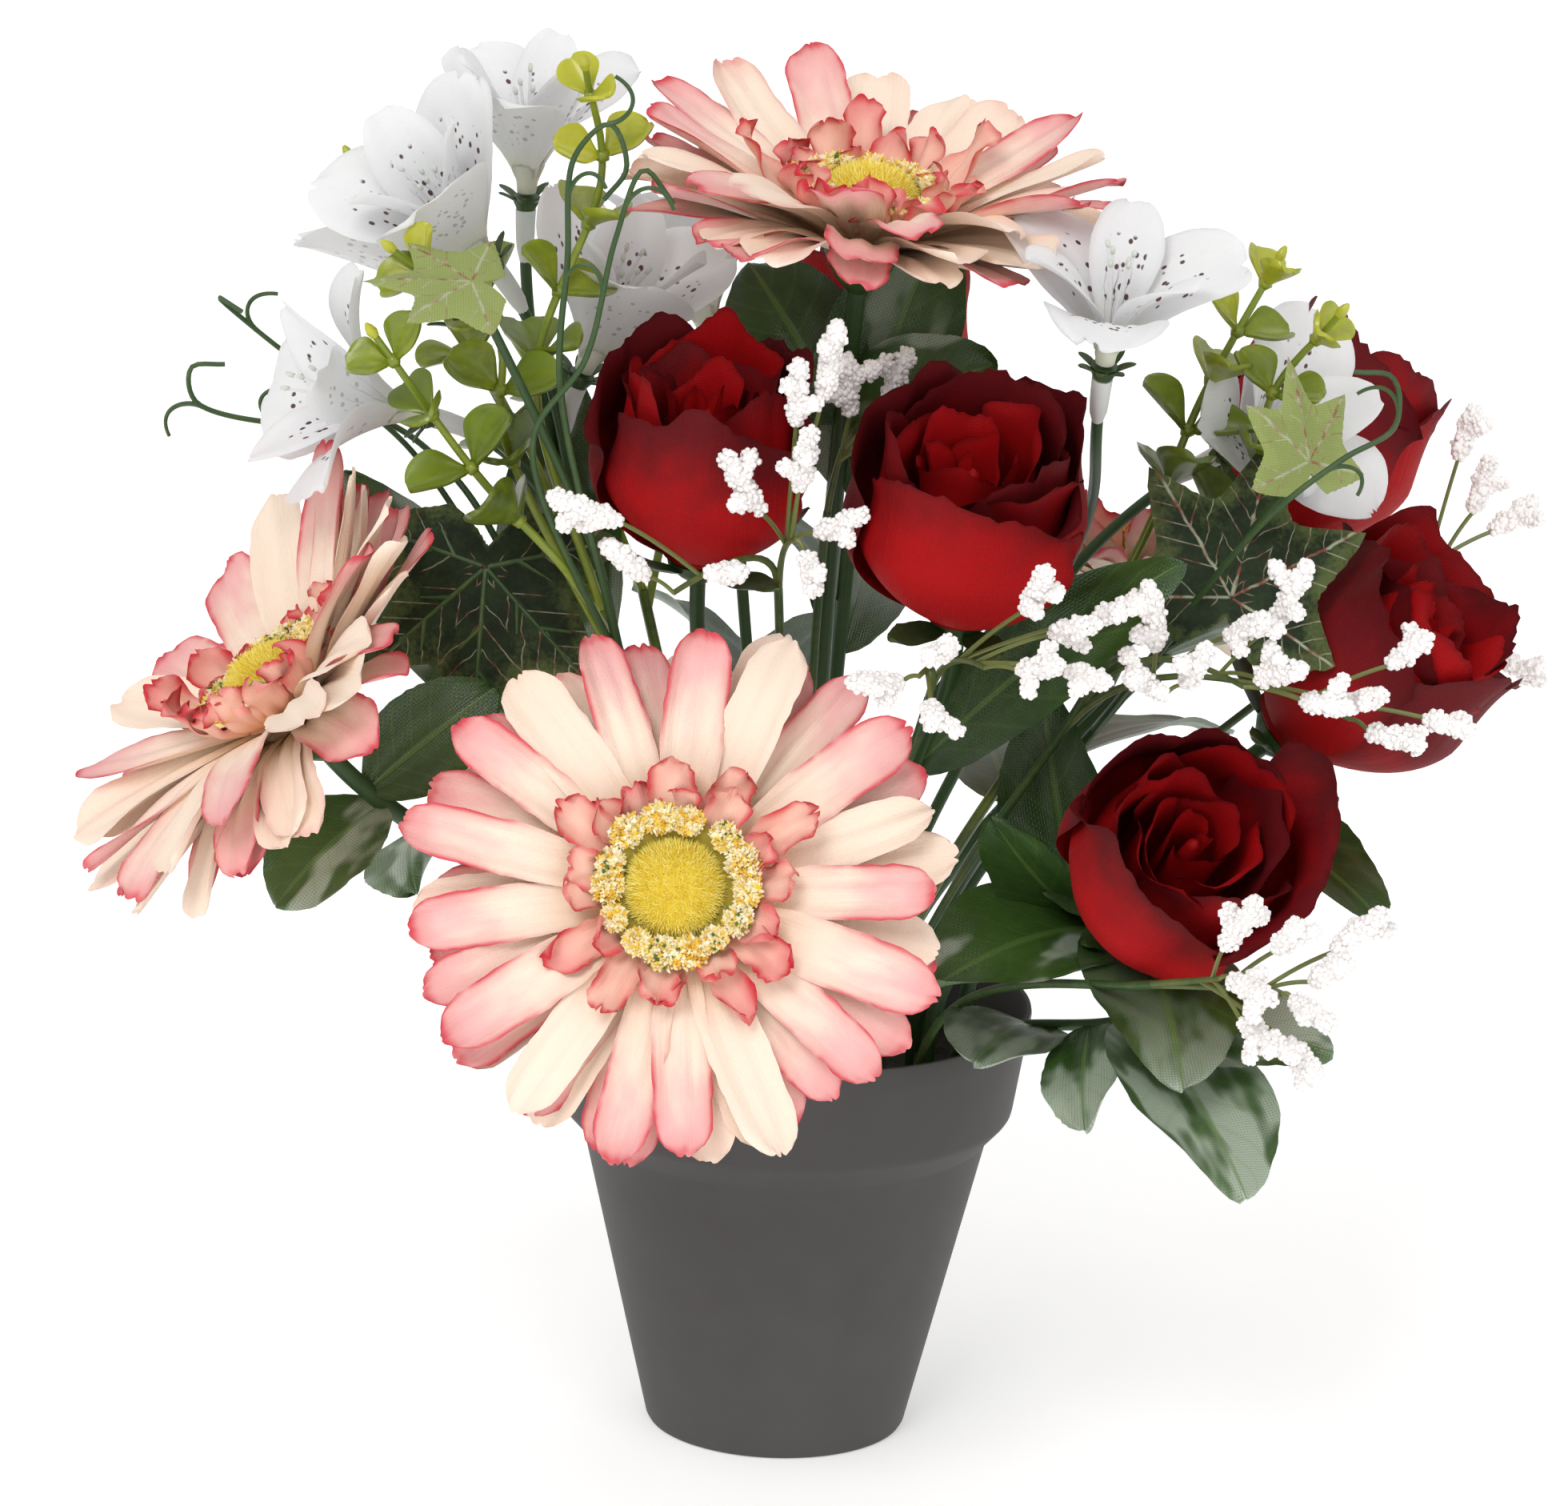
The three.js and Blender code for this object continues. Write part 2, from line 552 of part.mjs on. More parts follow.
/**
 * A plant's skin, grown out of rings of four corners that run anticlockwise seen from ahead. Each side of
 * a tube between two rings is closed with two triangles, or stays open as the first ring of a side shoot.
 */
class Sprig {
  constructor() {
    this.points = [];
    this.faces = [];
    this.tubes = [];
  }

  put(point) {
    return this.points.push(point) - 1;
  }

  /** The middle of a ring. */
  middle(corners) {
    const sum = new THREE.Vector3();
    corners.forEach((k) => sum.add(this.points[k]));
    return sum.divideScalar(corners.length);
  }

  /** Four corners round a point, turned to follow on from the ring before them. */
  corners(at, along, radius, before) {
    const first = this.points[before[0]].clone().sub(this.middle(before));
    const placing = seat(at.toArray(), along.toArray(), first.toArray());
    return ring(placing, 4, 0, radius).map((point) => this.put(point));
  }

  /** The flat foot of a stem: its first ring, closed from below. */
  foot(curve, radius) {
    const placing = seat(curve.getPointAt(0).toArray(), curve.getTangentAt(0).toArray(), [1, 1, 0]);
    const corners = ring(placing, 4, 0, radius).map((point) => this.put(point));
    this.faces.push([corners[0], corners[2], corners[1]], [corners[0], corners[3], corners[2]]);
    return corners;
  }

  /** A tube along a curve from an open ring, with even rings and a close pair round each mark. */
  tube(curve, from, radius, steps, marks) {
    const near = SHOOT_RING / curve.getLength();
    const even = Array.from({ length: steps }, (_, k) => (k + 1) / steps);
    const isClear = (share) => marks.every((mark) => Math.abs(share - mark) > 3 * near);
    const clear = even.filter((share) => share === 1 || isClear(share));
    const pairs = marks.flatMap((mark) => [mark - near, mark + near]);
    const shares = [0, ...[...clear, ...pairs].sort((a, b) => a - b)];
    const rings = [from];
    shares.slice(1).forEach((share, k) => {
      rings.push(this.corners(curve.getPointAt(share), curve.getTangentAt(share), radius, rings[k]));
    });
    const grown = { shares, rings, open: new Set() };
    this.tubes.push(grown);
    return grown;
  }

  /** Opens the free side of a tube that looks most along a direction, at a share of its length. */
  side({ shares, rings, open }, share, direction) {
    const i = shares.findIndex((value) => value > share) - 1;
    const sides = [0, 1, 2, 3].filter((k) => !open.has(`${i},${k}`));
    const quad = (k) => [rings[i][k], rings[i][(k + 1) % 4], rings[i + 1][(k + 1) % 4], rings[i + 1][k]];
    const out = (k) => this.middle(quad(k)).sub(this.middle([...rings[i], ...rings[i + 1]])).normalize();
    const best = sides.reduce((most, k) => (out(k).dot(direction) > out(most).dot(direction) ? k : most));
    open.add(`${i},${best}`);
    return quad(best);
  }

  /** A leaf on an open ring. */
  leaf(from, measures) {
    const root = this.middle(from);
    const inOrder = ([far, face, near, back]) => [face, far, back, near];
    const sections = bladeRings({ root, ...measures }).map(inOrder);
    const reach = (turn) => (sum, k, i) => sum + this.points[k].distanceTo(sections[0][(i + turn) % 4]);
    const gap = (turn) => from.reduce(reach(turn), 0);
    const turn = [0, 1, 2, 3].reduce((least, k) => (gap(k) < gap(least) ? k : least));
    const rings = sections.map((section) => from.map((_, i) => this.put(section[(i + turn) % 4])));
    skinBlade(this.faces, [from, ...rings], this.put(measures.tip));
  }

  /** A pointed end on an open ring, through rings at given places, of given radii. */
  spindle(from, along, places, tip) {
    const rings = [from];
    places.forEach(({ at, radius }, k) => rings.push(this.corners(at, along, radius, rings[k])));
    skinBlade(this.faces, rings, this.put(tip));
  }

  /** The solid, with all sides closed that carry nothing. */
  solid() {
    this.tubes.forEach(({ rings, open }) => {
      for (let i = 0; i + 1 < rings.length; i += 1) {
        for (let k = 0; k < 4; k += 1) {
          const [a, b] = [rings[i][k], rings[i][(k + 1) % 4]];
          const [c, d] = [rings[i + 1][(k + 1) % 4], rings[i + 1][k]];
          if (!open.has(`${i},${k}`)) this.faces.push([a, b, c], [a, c, d]);
        }
      }
    });
    return solidOf(this.points, this.faces);
  }
}

// ---------------------------------------------------------------- pot and filler

/** Radius of the pot's outer face at a height. */
function potRadius(z) {
  const { foot, neck, neckHigh, band, bandLow, rim, height } = POT;
  if (z <= neckHigh) return foot + ((neck - foot) * z) / neckHigh;
  if (z <= bandLow) return neck + ((band - neck) * (z - neckHigh)) / (bandLow - neckHigh);
  return band + ((rim - band) * (z - bandLow)) / (height - bandLow);
}

function latheOf(profile) {
  const outline = profile.map(([radius, z]) => new THREE.Vector2(radius, z));
  const geometry = new THREE.LatheGeometry(outline, POT_SEGMENTS);
  geometry.rotateX(Math.PI / 2);
  return solidOfGeometry(geometry);
}

function pot() {
  const { height, neckHigh, bandLow, wall, floor } = POT;
  const outer = [0, neckHigh, bandLow, height].map((z) => [potRadius(z), z]);
  const inner = [height, bandLow, neckHigh, floor].map((z) => [potRadius(z) - wall, z]);
  return latheOf([[0, 0], ...outer, ...inner, [0, floor]]);
}

function filler(holes) {
  const { neckHigh, bandLow, wall, floor } = POT;
  const side = [floor + GAP, neckHigh, bandLow, FILL_TOP].map((z) => [potRadius(z) - wall - GAP, z]);
  const body = latheOf([[0, floor + GAP], ...side, [0, FILL_TOP]]);
  const drills = holes.map(({ hole, radius }) => {
    const drill = new THREE.CylinderGeometry(radius, radius, HOLE.depth * 2, HOLE.sides);
    drill.rotateX(Math.PI / 2);
    drill.translate(hole[0], hole[1], FILL_TOP);
    return solidOfGeometry(drill);
  });
  return body.subtract(wasm.Manifold.union(drills));
}

// ---------------------------------------------------------------- gerbera

/** Unit direction at an angle round the bloom's axis and an elevation above its plane, in its own placing. */
function spoke(turn, elevation) {
  return vector([
    Math.cos(turn) * Math.cos(elevation),
    Math.sin(turn) * Math.cos(elevation),
    Math.sin(elevation),
  ]);
}

/** The measures of a blade that starts in a bloom's plane at an angle, with a lift at its root and a bend. */
function bloomPetal(placing, { turn, root, level, length, lift, bend, ...rest }) {
  const angle = radians(Math.abs(bend) < 0.5 ? 0.5 : bend);
  const chord = (length * Math.sin(angle / 2)) / (angle / 2);
  const slope = radians(lift) - angle / 2;
  const base = vector([root * Math.cos(turn), root * Math.sin(turn), level]);
  const tip = base.clone().addScaledVector(spoke(turn, slope), chord).applyMatrix4(placing);
  const facing = spoke(turn, slope + Math.PI / 2).transformDirection(placing);
  return { root: base.applyMatrix4(placing), tip, facing, arch: THREE.MathUtils.radToDeg(angle), ...rest };
}

/**
 * Layers of petals round a hub, as one closed skin. The hub is a prism with a corner between petals and one
 * in the middle of each petal's root; neighbours share a root corner, and a layer may be half a petal on.
 */
function crown(placing, { radius, floor, roof, layers }) {
  const points = [];
  const faces = [];
  const put = (point) => points.push(point) - 1;
  const corners = layers[0].petals.length * 2;
  const circle = (height, reach) => ring(placing, corners, height, reach).map(put);
  const close = (apex, loop, flip) => {
    loop.forEach((corner, k) => {
      const next = loop[(k + 1) % corners];
      faces.push(flip ? [apex, next, corner] : [apex, corner, next]);
    });
  };
  let above = circle(roof, radius * 0.8);
  close(put(vector([0, 0, roof]).applyMatrix4(placing)), above, false);
  layers.forEach(({ petals, level, phase, root }) => {
    const shared = circle(level, root);
    const upper = ring(placing, corners, level + BLADE * 0.6, root).map(put);
    const lower = ring(placing, corners, level - BLADE * 0.6, root).map(put);
    const offset = Math.round(phase * 2);
    const isRib = (k) => (k + offset) % 2 === 0;
    const top = shared.map((corner, k) => (isRib(k) ? upper[k] : corner));
    const bottom = shared.map((corner, k) => (isRib(k) ? lower[k] : corner));
    band(faces, above, top);
    petals.forEach((petal, k) => {
      const rib = (2 * k + offset + corners) % corners;
      const left = shared[(rib + 1) % corners];
      const right = shared[(rib - 1 + corners) % corners];
      const rings = bladeRings(petal).map(([far, face, near, back]) => [near, face, far, back].map(put));
      skinBlade(faces, [[left, upper[rib], right, lower[rib]], ...rings], put(petal.tip));
    });
    above = bottom;
  });
  const last = circle(floor, radius);
  band(faces, above, last);
  close(put(vector([0, 0, floor]).applyMatrix4(placing)), last, true);
  return solidOfUsed(points, faces);
}

/** Joins two loops of corners, one above the other, with a band. */
function band(faces, upper, lower) {
  upper.forEach((corner, k) => {
    const next = (k + 1) % upper.length;
    faces.push([corner, lower[k], lower[next]], [corner, lower[next], upper[next]]);
  });
}

/** Covers a blade from its root section to its tip, with the same split on both faces. */
function skinBlade(faces, rings, tip) {
  const last = rings.length - 1;
  for (let k = 0; k < 4; k += 1) {
    const next = (k + 1) % 4;
    faces.push([rings[last][k], rings[last][next], tip]);
    for (let i = 0; i < last; i += 1) {
      const [a, b, c, d] = [rings[i][k], rings[i][next], rings[i + 1][next], rings[i + 1][k]];
      faces.push(...(k % 2 === 0 ? [[a, b, c], [a, c, d]] : [[a, b, d], [b, c, d]]));
    }
  }
}

/** A solid from the points that its faces use. */
function solidOfUsed(points, faces) {
  const used = [...new Set(faces.flat())];
  const place = new Map(used.map((old, k) => [old, k]));
  return solidOf(used.map((old) => points[old]), faces.map((face) => face.map((old) => place.get(old))));
}

/** Lift and bend of a gerbera's petal in one direction: the bend is least towards the bloom's side. */
function petalPose(spec, turn, seed) {
  return {
    lift: spec.lift + 3 * (hash(seed) - 0.5),
    bend: spec.bend - spec.swing * Math.cos(turn) + 6 * (hash(seed + 0.3) - 0.5),
  };
}

function gerberaPetals(spec, index) {
  const placing = seat(spec.heart, spec.axis, spec.side);
  const { hub, layers } = GERBERA;
  const rows = layers.map((layer, row) => {
    const petals = Array.from({ length: spec.petals }, (_, k) => {
      const seed = index * 100 + row * 40 + k + 1;
      const turn = ((k + layer.phase + 0.12 * (hash(seed + 0.6) - 0.5)) / spec.petals) * 2 * Math.PI;
      const pose = petalPose(spec, turn, seed);
      return bloomPetal(placing, {
        turn, root: hub.radius, level: layer.level, lift: pose.lift + layer.lift, bend: pose.bend,
        length: (spec.radius - hub.radius) * layer.reach * (0.94 + 0.1 * hash(seed + 0.8)),
        width: spec.width * (0.94 + 0.12 * hash(seed + 0.9)), ...GERBERA.petal,
      });
    });
    return { petals, level: layer.level, phase: layer.phase, root: hub.radius };
  });
  return crown(placing, { radius: hub.radius, floor: 0, roof: hub.height, layers: rows });
}

function gerberaRuffle(spec, index) {
  const placing = seat(spec.heart, spec.axis, spec.side);
  const { radius, low, high, length, width, bend, count } = GERBERA.ruffle;
  const level = (low + high) / 2;
  const petals = Array.from({ length: count }, (_, k) => {
    const seed = index * 100 + 80 + k;
    return bloomPetal(placing, {
      turn: ((k + 0.3 * (hash(seed) - 0.5)) / count) * 2 * Math.PI, root: radius, level,
      lift: spec.ruffleLift + 12 * (hash(seed + 0.5) - 0.5), bend,
      length: length * (0.85 + 0.3 * hash(seed + 0.7)), width, ...GERBERA.frill,
    });
  });
  const layer = { petals, level, phase: 0, root: radius };
  return crown(placing, { radius: radius - 1, floor: low, roof: high, layers: [layer] });
}

function gerberaEye(spec) {
  const placing = seat(spec.heart, spec.axis, spec.side);
  const { low, ring: reach, ringTop, valley, button, top, sides: count } = GERBERA.eye;
  const crown = (k) => (k % 2 ? -1.6 : 0.6);
  return loft(
    vector([0, 0, low]).applyMatrix4(placing),
    [
      ring(placing, count, low, 10.5),
      ring(placing, count, ringTop - 1.6, (k) => reach + crown(k) * 0.5),
      ring(placing, count, ringTop, (k) => reach - 2 + crown(k) * 0.4, crown),
      ring(placing, count, valley, button + 0.4),
      ring(placing, count, ringTop, button * 0.86),
      ring(placing, count, top - 0.8, button * 0.45),
    ],
    vector([0, 0, top]).applyMatrix4(placing),
  );
}

function stemTo(spec, depth) {
  const placing = seat(spec.heart, spec.axis, [1, 0, 0.01]);
  const to = vector([0, 0, -depth]).applyMatrix4(placing);
  const { hole, rise = 60, reach = 44 } = spec;
  return stemCurve({ hole, to, axis: vector(spec.axis), rise, reach });
}

function calyxCup(placing, radius, depth, stem) {
  return loft(
    vector([0, 0, -depth - 1]).applyMatrix4(placing),
    [
      ring(placing, 6, -depth, stem * 1.05),
      ring(placing, 6, -depth * 0.45, radius * 0.8),
      ring(placing, 6, -GAP, radius),
    ],
    vector([0, 0, -GAP]).applyMatrix4(placing),
  );
}

function gerberaStem(spec) {
  const placing = seat(spec.heart, spec.axis, spec.side);
  const { radius, depth } = GERBERA.calyx;
  const curve = stemTo(spec, depth - 1);
  return join([
    bar(curve, STEM.gerbera, 5, 6),
    calyxCup(placing, radius, depth, STEM.gerbera),
    ...leavesOn(curve, LEAVES["gerbera_" + spec.name]),
  ]);
}

// ---------------------------------------------------------------- rose

/** Point of a rose petal's middle surface; u runs across it from -1 to 1 and v up it from 0 to 1. */
function rosePoint(layer, size, turn, u, v) {
  const swell = Math.sin((Math.PI / 2) * Math.min(v / 0.55, 1)) ** 0.8;
  const open = Math.max(0, v - 0.55) / 0.45;
  const lean = layer.taper * open + layer.curl * open ** 3 + ROSE.wind * u;
  const radius = layer.radius * (0.24 + 0.76 * swell) + lean;
  const height = layer.height * v * (1 - 0.2 * Math.abs(u) ** 2.4 * v) + 1;
  const angle = turn + radians(layer.span / 2) * u;
  return vector([radius * Math.cos(angle), radius * Math.sin(angle), height]).multiplyScalar(size);
}

/** A curved petal as a closed lens over a grid: both faces share the grid's border. */
function shell(surface, columns, rows, thick) {
  const points = [];
  const index = (side, i, j) => {
    const border = i === 0 || j === 0 || i === columns.length - 1 || j === rows.length - 1;
    return lookup.get(`${border ? 0 : side},${i},${j}`);
  };
  const lookup = new Map();
  columns.forEach((u, i) => rows.forEach((v, j) => {
    const border = i === 0 || j === 0 || i === columns.length - 1 || j === rows.length - 1;
    const middle = surface(u, v);
    if (border) {
      lookup.set(`0,${i},${j}`, points.push(middle) - 1);
      return;
    }
    const step = 0.02;
    const across = surface(u + step, v).sub(surface(u - step, v));
    const normal = across.cross(surface(u, v + step).sub(surface(u, v - step))).normalize();
    [1, -1].forEach((side) => {
      const skin = middle.clone().addScaledVector(normal, (side * thick) / 2);
      lookup.set(`${side},${i},${j}`, points.push(skin) - 1);
    });
  }));
  const faces = [];
  for (let i = 0; i + 1 < columns.length; i += 1) {
    for (let j = 0; j + 1 < rows.length; j += 1) {
      [1, -1].forEach((side) => {
        const cell = [[i, j], [i + 1, j], [i + 1, j + 1], [i, j + 1]];
        const [a, b, c, d] = cell.map(([p, q]) => index(side, p, q));
        const rising = (i + j) % 2 === 0;
        const pair = rising ? [[a, b, c], [a, c, d]] : [[a, b, d], [b, c, d]];
        faces.push(...(side > 0 ? pair : pair.map(([x, y, z]) => [x, z, y])));
      });
    }
  }
  return solidOf(points, faces);
}

/** The furled middle of a rose: a bud on a heel that holds the petals, with a dimple in its wavy top. */
function roseBud(placing, size) {
  const { heel, waist, radius, height, sides } = ROSE.bud;
  const level = (z, reach, wave = 0) =>
    ring(placing, sides, z * size, reach * size, (k) => (k % 2 ? wave : -wave) * size);
  return loft(
    vector([0, 0, 0]).applyMatrix4(placing),
    [
      level(0, ROSE.seat), level(3.5, heel), level(6, waist), level(height * 0.55, radius),
      level(height * 0.92, radius * 0.8, 2.5), level(height * 0.84, radius * 0.42, 1),
    ],
    vector([0, 0, height * 0.74 * size]).applyMatrix4(placing),
  );
}

function roseBloom(spec) {
  const placing = seat(spec.heart, spec.axis, [1, 0, 0.01]);
  const solids = [roseBud(placing, spec.size)];
  ROSE.layers.forEach((layer, row) => {
    for (let k = 0; k < layer.count; k += 1) {
      const turn = radians(spec.turn + layer.turn + (360 * k) / layer.count);
      const loose = row + k === 0 && spec.loose ? { ...layer, curl: layer.curl + spec.loose } : layer;
      const surface = (u, v) => rosePoint(loose, spec.size, turn, u, v).applyMatrix4(placing);
      solids.push(shell(surface, [-1, -0.36, 0.36, 1], [0, 0.5, 1], BLADE));
    }
  });
  return join(solids);
}

function roseStem(spec) {
  const placing = seat(spec.heart, spec.axis, [1, 0, 0.01]);
  const { radius, depth } = ROSE.calyx;
  const curve = stemTo(spec, depth - 1);
  return join([
    bar(curve, STEM.rose, 4, 6),
    calyxCup(placing, radius, depth, STEM.rose),
    ...leavesOn(curve, LEAVES["rose_" + spec.name]),
  ]);
}

// ---------------------------------------------------------------- alstroemeria

function trumpetBloom(spec) {
  const placing = seat(spec.calyx, spec.axis, [1, 0, 0.01]);
  const { tube, broad, narrow, stamens } = TRUMPET;
  const size = spec.size;
  const solids = [loft(
    vector([0, 0, GAP]).applyMatrix4(placing),
    [ring(placing, 6, GAP, tube.low), ring(placing, 6, tube.length, tube.high)],
    vector([0, 0, tube.length + 1]).applyMatrix4(placing),
  )];
  [broad, narrow].forEach((petal, layer) => {
    for (let k = 0; k < petal.count; k += 1) {
      const turn = radians(spec.turn + layer * 60 + (360 * k) / petal.count);
      solids.push(blade(bloomPetal(placing, {
        turn, root: petal.root, level: 4, length: petal.length * size, width: petal.width * size,
        lift: petal.lift, bend: petal.bend * spec.flare, outline: "claw", cup: 0.2, stations: petal.stations,
      })));
    }
  });
  solids.push(loft(
    vector([0, 0, tube.length - 2]).applyMatrix4(placing),
    [ring(placing, 3, tube.length, stamens.radius)],
    vector([0, 0, stamens.length * size]).applyMatrix4(placing),
  ));
  return join(solids);
}

function trumpetStem(spec) {
  const knot = vector(spec.knot);
  const knotAxis = vector(spec.knotAxis).normalize();
  const curve = stemCurve({ hole: spec.hole, to: knot, axis: knotAxis, rise: 44, reach: 40 });
  const solids = [bar(curve, STEM.trumpet, 4, 6)];
  TRUMPETS.filter(({ spray }) => spray === spec.name).forEach((bloom, k) => {
    const placing = seat(bloom.calyx, bloom.axis, [1, 0, 0.01]);
    const { radius, depth } = TRUMPET.calyx;
    const foot = vector([0, 0, -depth]).applyMatrix4(placing);
    const { from, along } = sideShoot(curve, k, 0.055);
    const span = from.distanceTo(foot);
    const twig = reachCurve(from, along, span * 0.35, foot, vector(bloom.axis).normalize(), span * 0.35);
    solids.push(bar(twig, STEM.trumpet, 3, 3));
    solids.push(loft(
      vector([0, 0, -depth - 1]).applyMatrix4(placing),
      [ring(placing, 6, -1.2, (k) => (k % 2 ? radius * 0.45 : radius))],
      vector([0, 0, 0]).applyMatrix4(placing),
    ));
  });
  return join(solids);
}

// ---------------------------------------------------------------- box sprigs

/** Grows a shoot on an open ring: pairs of leaves, each a quarter turn on from the last, and a point. */
function growShoot(sprig, from, { path, pairs, turn }, index) {
  const root = sprig.middle(from);
  const curve = new THREE.CatmullRomCurve3([root, ...path.map(vector)]);
  const marks = Array.from({ length: pairs }, (_, pair) => 0.46 + (0.54 * (pair + 0.55)) / pairs);
  const tube = sprig.tube(curve, from, STEM.box * 0.8, 4, marks);
  marks.forEach((share, pair) => {
    const at = curve.getPointAt(share);
    const placing = seat(at.toArray(), curve.getTangentAt(share).toArray(), [0.3, 1, 0.2]);
    const young = 1 - (0.36 * pair) / pairs;
    for (let hand = 0; hand < 2; hand += 1) {
      const seed = index * 50 + pair * 2 + hand;
      const { bend, width, outline, cup, stations } = BOX_LEAF;
      const { tip, facing, arch } = bloomPetal(placing, {
        turn: radians(turn + pair * 90 + hand * 180 + 20 * (hash(seed) - 0.5)),
        length: BOX_LEAF.length * young * (0.9 + 0.2 * hash(seed + 0.4)), root: STEM.box * 0.7, level: 0,
        bend,
        lift: BOX_LEAF.lean + (pair === pairs - 1 ? 8 : 0),
      });
      const open = sprig.side(tube, share, tip.clone().sub(at).normalize());
      facing.addScaledVector(vector([0, -1, 0]), BOX_LEAF.open);
      sprig.leaf(open, { tip, facing, width: width * young, arch, stations, outline, cup });
    }
  });
  const along = curve.getTangentAt(1);
  const end = curve.getPointAt(1).addScaledVector(along, 4);
  sprig.spindle(tube.rings[tube.rings.length - 1], along, [], end);
}

function boxSpray(spec, index) {
  const axis = vector(spec.knotAxis).normalize();
  const curve = stemCurve({ hole: spec.hole, to: vector(spec.knot), axis, rise: 44, reach: 36 });
  const sprig = new Sprig();
  const marks = spec.shoots.slice(1).map((_, k) => 0.96 - 0.06 * k);
  const stem = sprig.tube(curve, sprig.foot(curve, STEM.box), STEM.box, 6, marks);
  spec.shoots.forEach((one, k) => {
    const first = vector(one.path[0]);
    const open = k === 0
      ? stem.rings[stem.rings.length - 1]
      : sprig.side(stem, marks[k - 1], first.sub(curve.getPointAt(marks[k - 1])).normalize());
    growShoot(sprig, open, one, index * 10 + k);
  });
  return sprig.solid();
}

// ---------------------------------------------------------------- ivy

/** A lobed leaf: a thin double pyramid over a star outline, drooping towards its edge. */
function ivyLeaf({ centre, tip, facing, size }) {
  const middle = vector(centre);
  const placing = seat(centre, facing, vector(tip).sub(middle).toArray());
  const sides = [...IVY_LOBES, [180, 0.14], ...IVY_LOBES.slice(1).reverse().map(([a, r]) => [-a, r])];
  const rim = sides.map(([degrees, share]) => {
    const turn = radians(degrees);
    const reach = share * size;
    const droop = -0.0035 * reach * reach;
    return vector([reach * Math.cos(turn), reach * Math.sin(turn), droop]).applyMatrix4(placing);
  });
  return loft(
    vector([0, 0, -IVY_THICK / 2]).applyMatrix4(placing),
    [rim],
    vector([0, 0, IVY_THICK / 2]).applyMatrix4(placing),
  );
}

function ivySpray(spec) {
  const knot = vector(spec.knot);
  const knotAxis = vector(spec.knotAxis).normalize();
  const curve = stemCurve({ hole: spec.hole, to: knot, axis: knotAxis, rise: 44, reach: 36 });
  const solids = [bar(curve, STEM.ivy, 4, 5)];
  const branches = spec.leaves.length;
  spec.leaves.forEach((leaf, k) => {
    const { from, along } = sideShoot(curve, k, 0.08);
    const centre = vector(leaf.centre);
    const back = vector(leaf.facing).normalize().multiplyScalar(-IVY_THICK * 0.6);
    const bow = from.clone().addScaledVector(along, 16);
    const twig = new THREE.QuadraticBezierCurve3(from, bow, centre.add(back));
    solids.push(bar(twig, STEM.ivy * 0.9, 3, 3), ivyLeaf(leaf));
  });
  spec.tendrils.forEach((points, k) => {
    const { from } = sideShoot(curve, k + branches, 0.08);
    const curl = new THREE.CatmullRomCurve3([from, ...points.map(vector)]);
    solids.push(bar(curl, STEM.ivy * 0.8, 3, 10));
  });
  return join(solids);
}

// ---------------------------------------------------------------- gypsophila

/** Grows a twig on an open ring with a chain of beads at its end, a lumpy spindle with its own direction. */
function growBeads(sprig, from, [, x, y, z, length], seed) {
  const { radius, waist } = CLUSTER;
  const middle = vector([x, y, z]);
  const along = middle.clone().sub(sprig.middle(from)).normalize();
  const stray = vector([hash(seed) - 0.5, hash(seed + 1) - 0.5, hash(seed + 2) - 0.3]);
  along.addScaledVector(stray, 0.5).normalize();
  const start = middle.clone().addScaledVector(along, -length / 2);
  const lumps = length > 11 ? [radius, waist, radius] : [radius * 0.95, radius];
  const places = lumps.map((reach, k) => ({
    at: start.clone().addScaledVector(along, (length * (k + 0.55)) / (lumps.length + 0.1)),
    radius: (corner) => reach * (0.9 + 0.25 * hash(seed + corner + k * 7)),
  }));
  const tip = start.clone().addScaledVector(along, length);
  sprig.spindle(from, along, [{ at: start, radius: STEM.veil * 0.7 }, ...places], tip);
}

function veil(spec, index) {
  const axis = vector(spec.knotAxis).normalize();
  const curve = stemCurve({ hole: spec.hole, to: vector(spec.knot), axis, rise: 40, reach: 30 });
  const sprig = new Sprig();
  const marks = spec.forks.slice(1).map((_, k) => 0.95 - 0.07 * k);
  const stem = sprig.tube(curve, sprig.foot(curve, STEM.veil), STEM.veil, 6, marks);
  spec.forks.forEach((values, fork) => {
    const end = vector(values);
    const share = fork === 0 ? 1 : marks[fork - 1];
    const toEnd = end.clone().sub(curve.getPointAt(share)).normalize();
    const open = fork === 0 ? stem.rings[stem.rings.length - 1] : sprig.side(stem, share, toEnd);
    const root = sprig.middle(open);
    const bow = root.clone().addScaledVector(curve.getTangentAt(share), root.distanceTo(end) * 0.5);
    const path = new THREE.QuadraticBezierCurve3(root, bow, end);
    const twigs = spec.clusters.map((values, k) => ({ values, seed: index * 60 + k * 3 }));
    const ahead = path.getTangentAt(1);
    const aim = ({ values }) => vector(values.slice(1, 4)).sub(end).normalize().dot(ahead);
    const own = twigs.filter(({ values }) => values[0] === fork).sort((a, b) => aim(b) - aim(a));
    const levels = own.length > 3 ? [0.86, 0.64] : [0.8];
    const tube = sprig.tube(path, open, STEM.veil * 0.9, 2, levels);
    own.forEach(({ values, seed }, k) => {
      const level = levels[Math.min(levels.length - 1, Math.floor(Math.max(0, k - 1) / 2))];
      const middle = vector(values.slice(1, 4));
      const towards = middle.sub(path.getPointAt(level)).normalize();
      const last = tube.rings[tube.rings.length - 1];
      growBeads(sprig, k === 0 ? last : sprig.side(tube, level, towards), values, seed);
    });
  });
  return sprig.solid();
}

// ---------------------------------------------------------------- leaf sprays

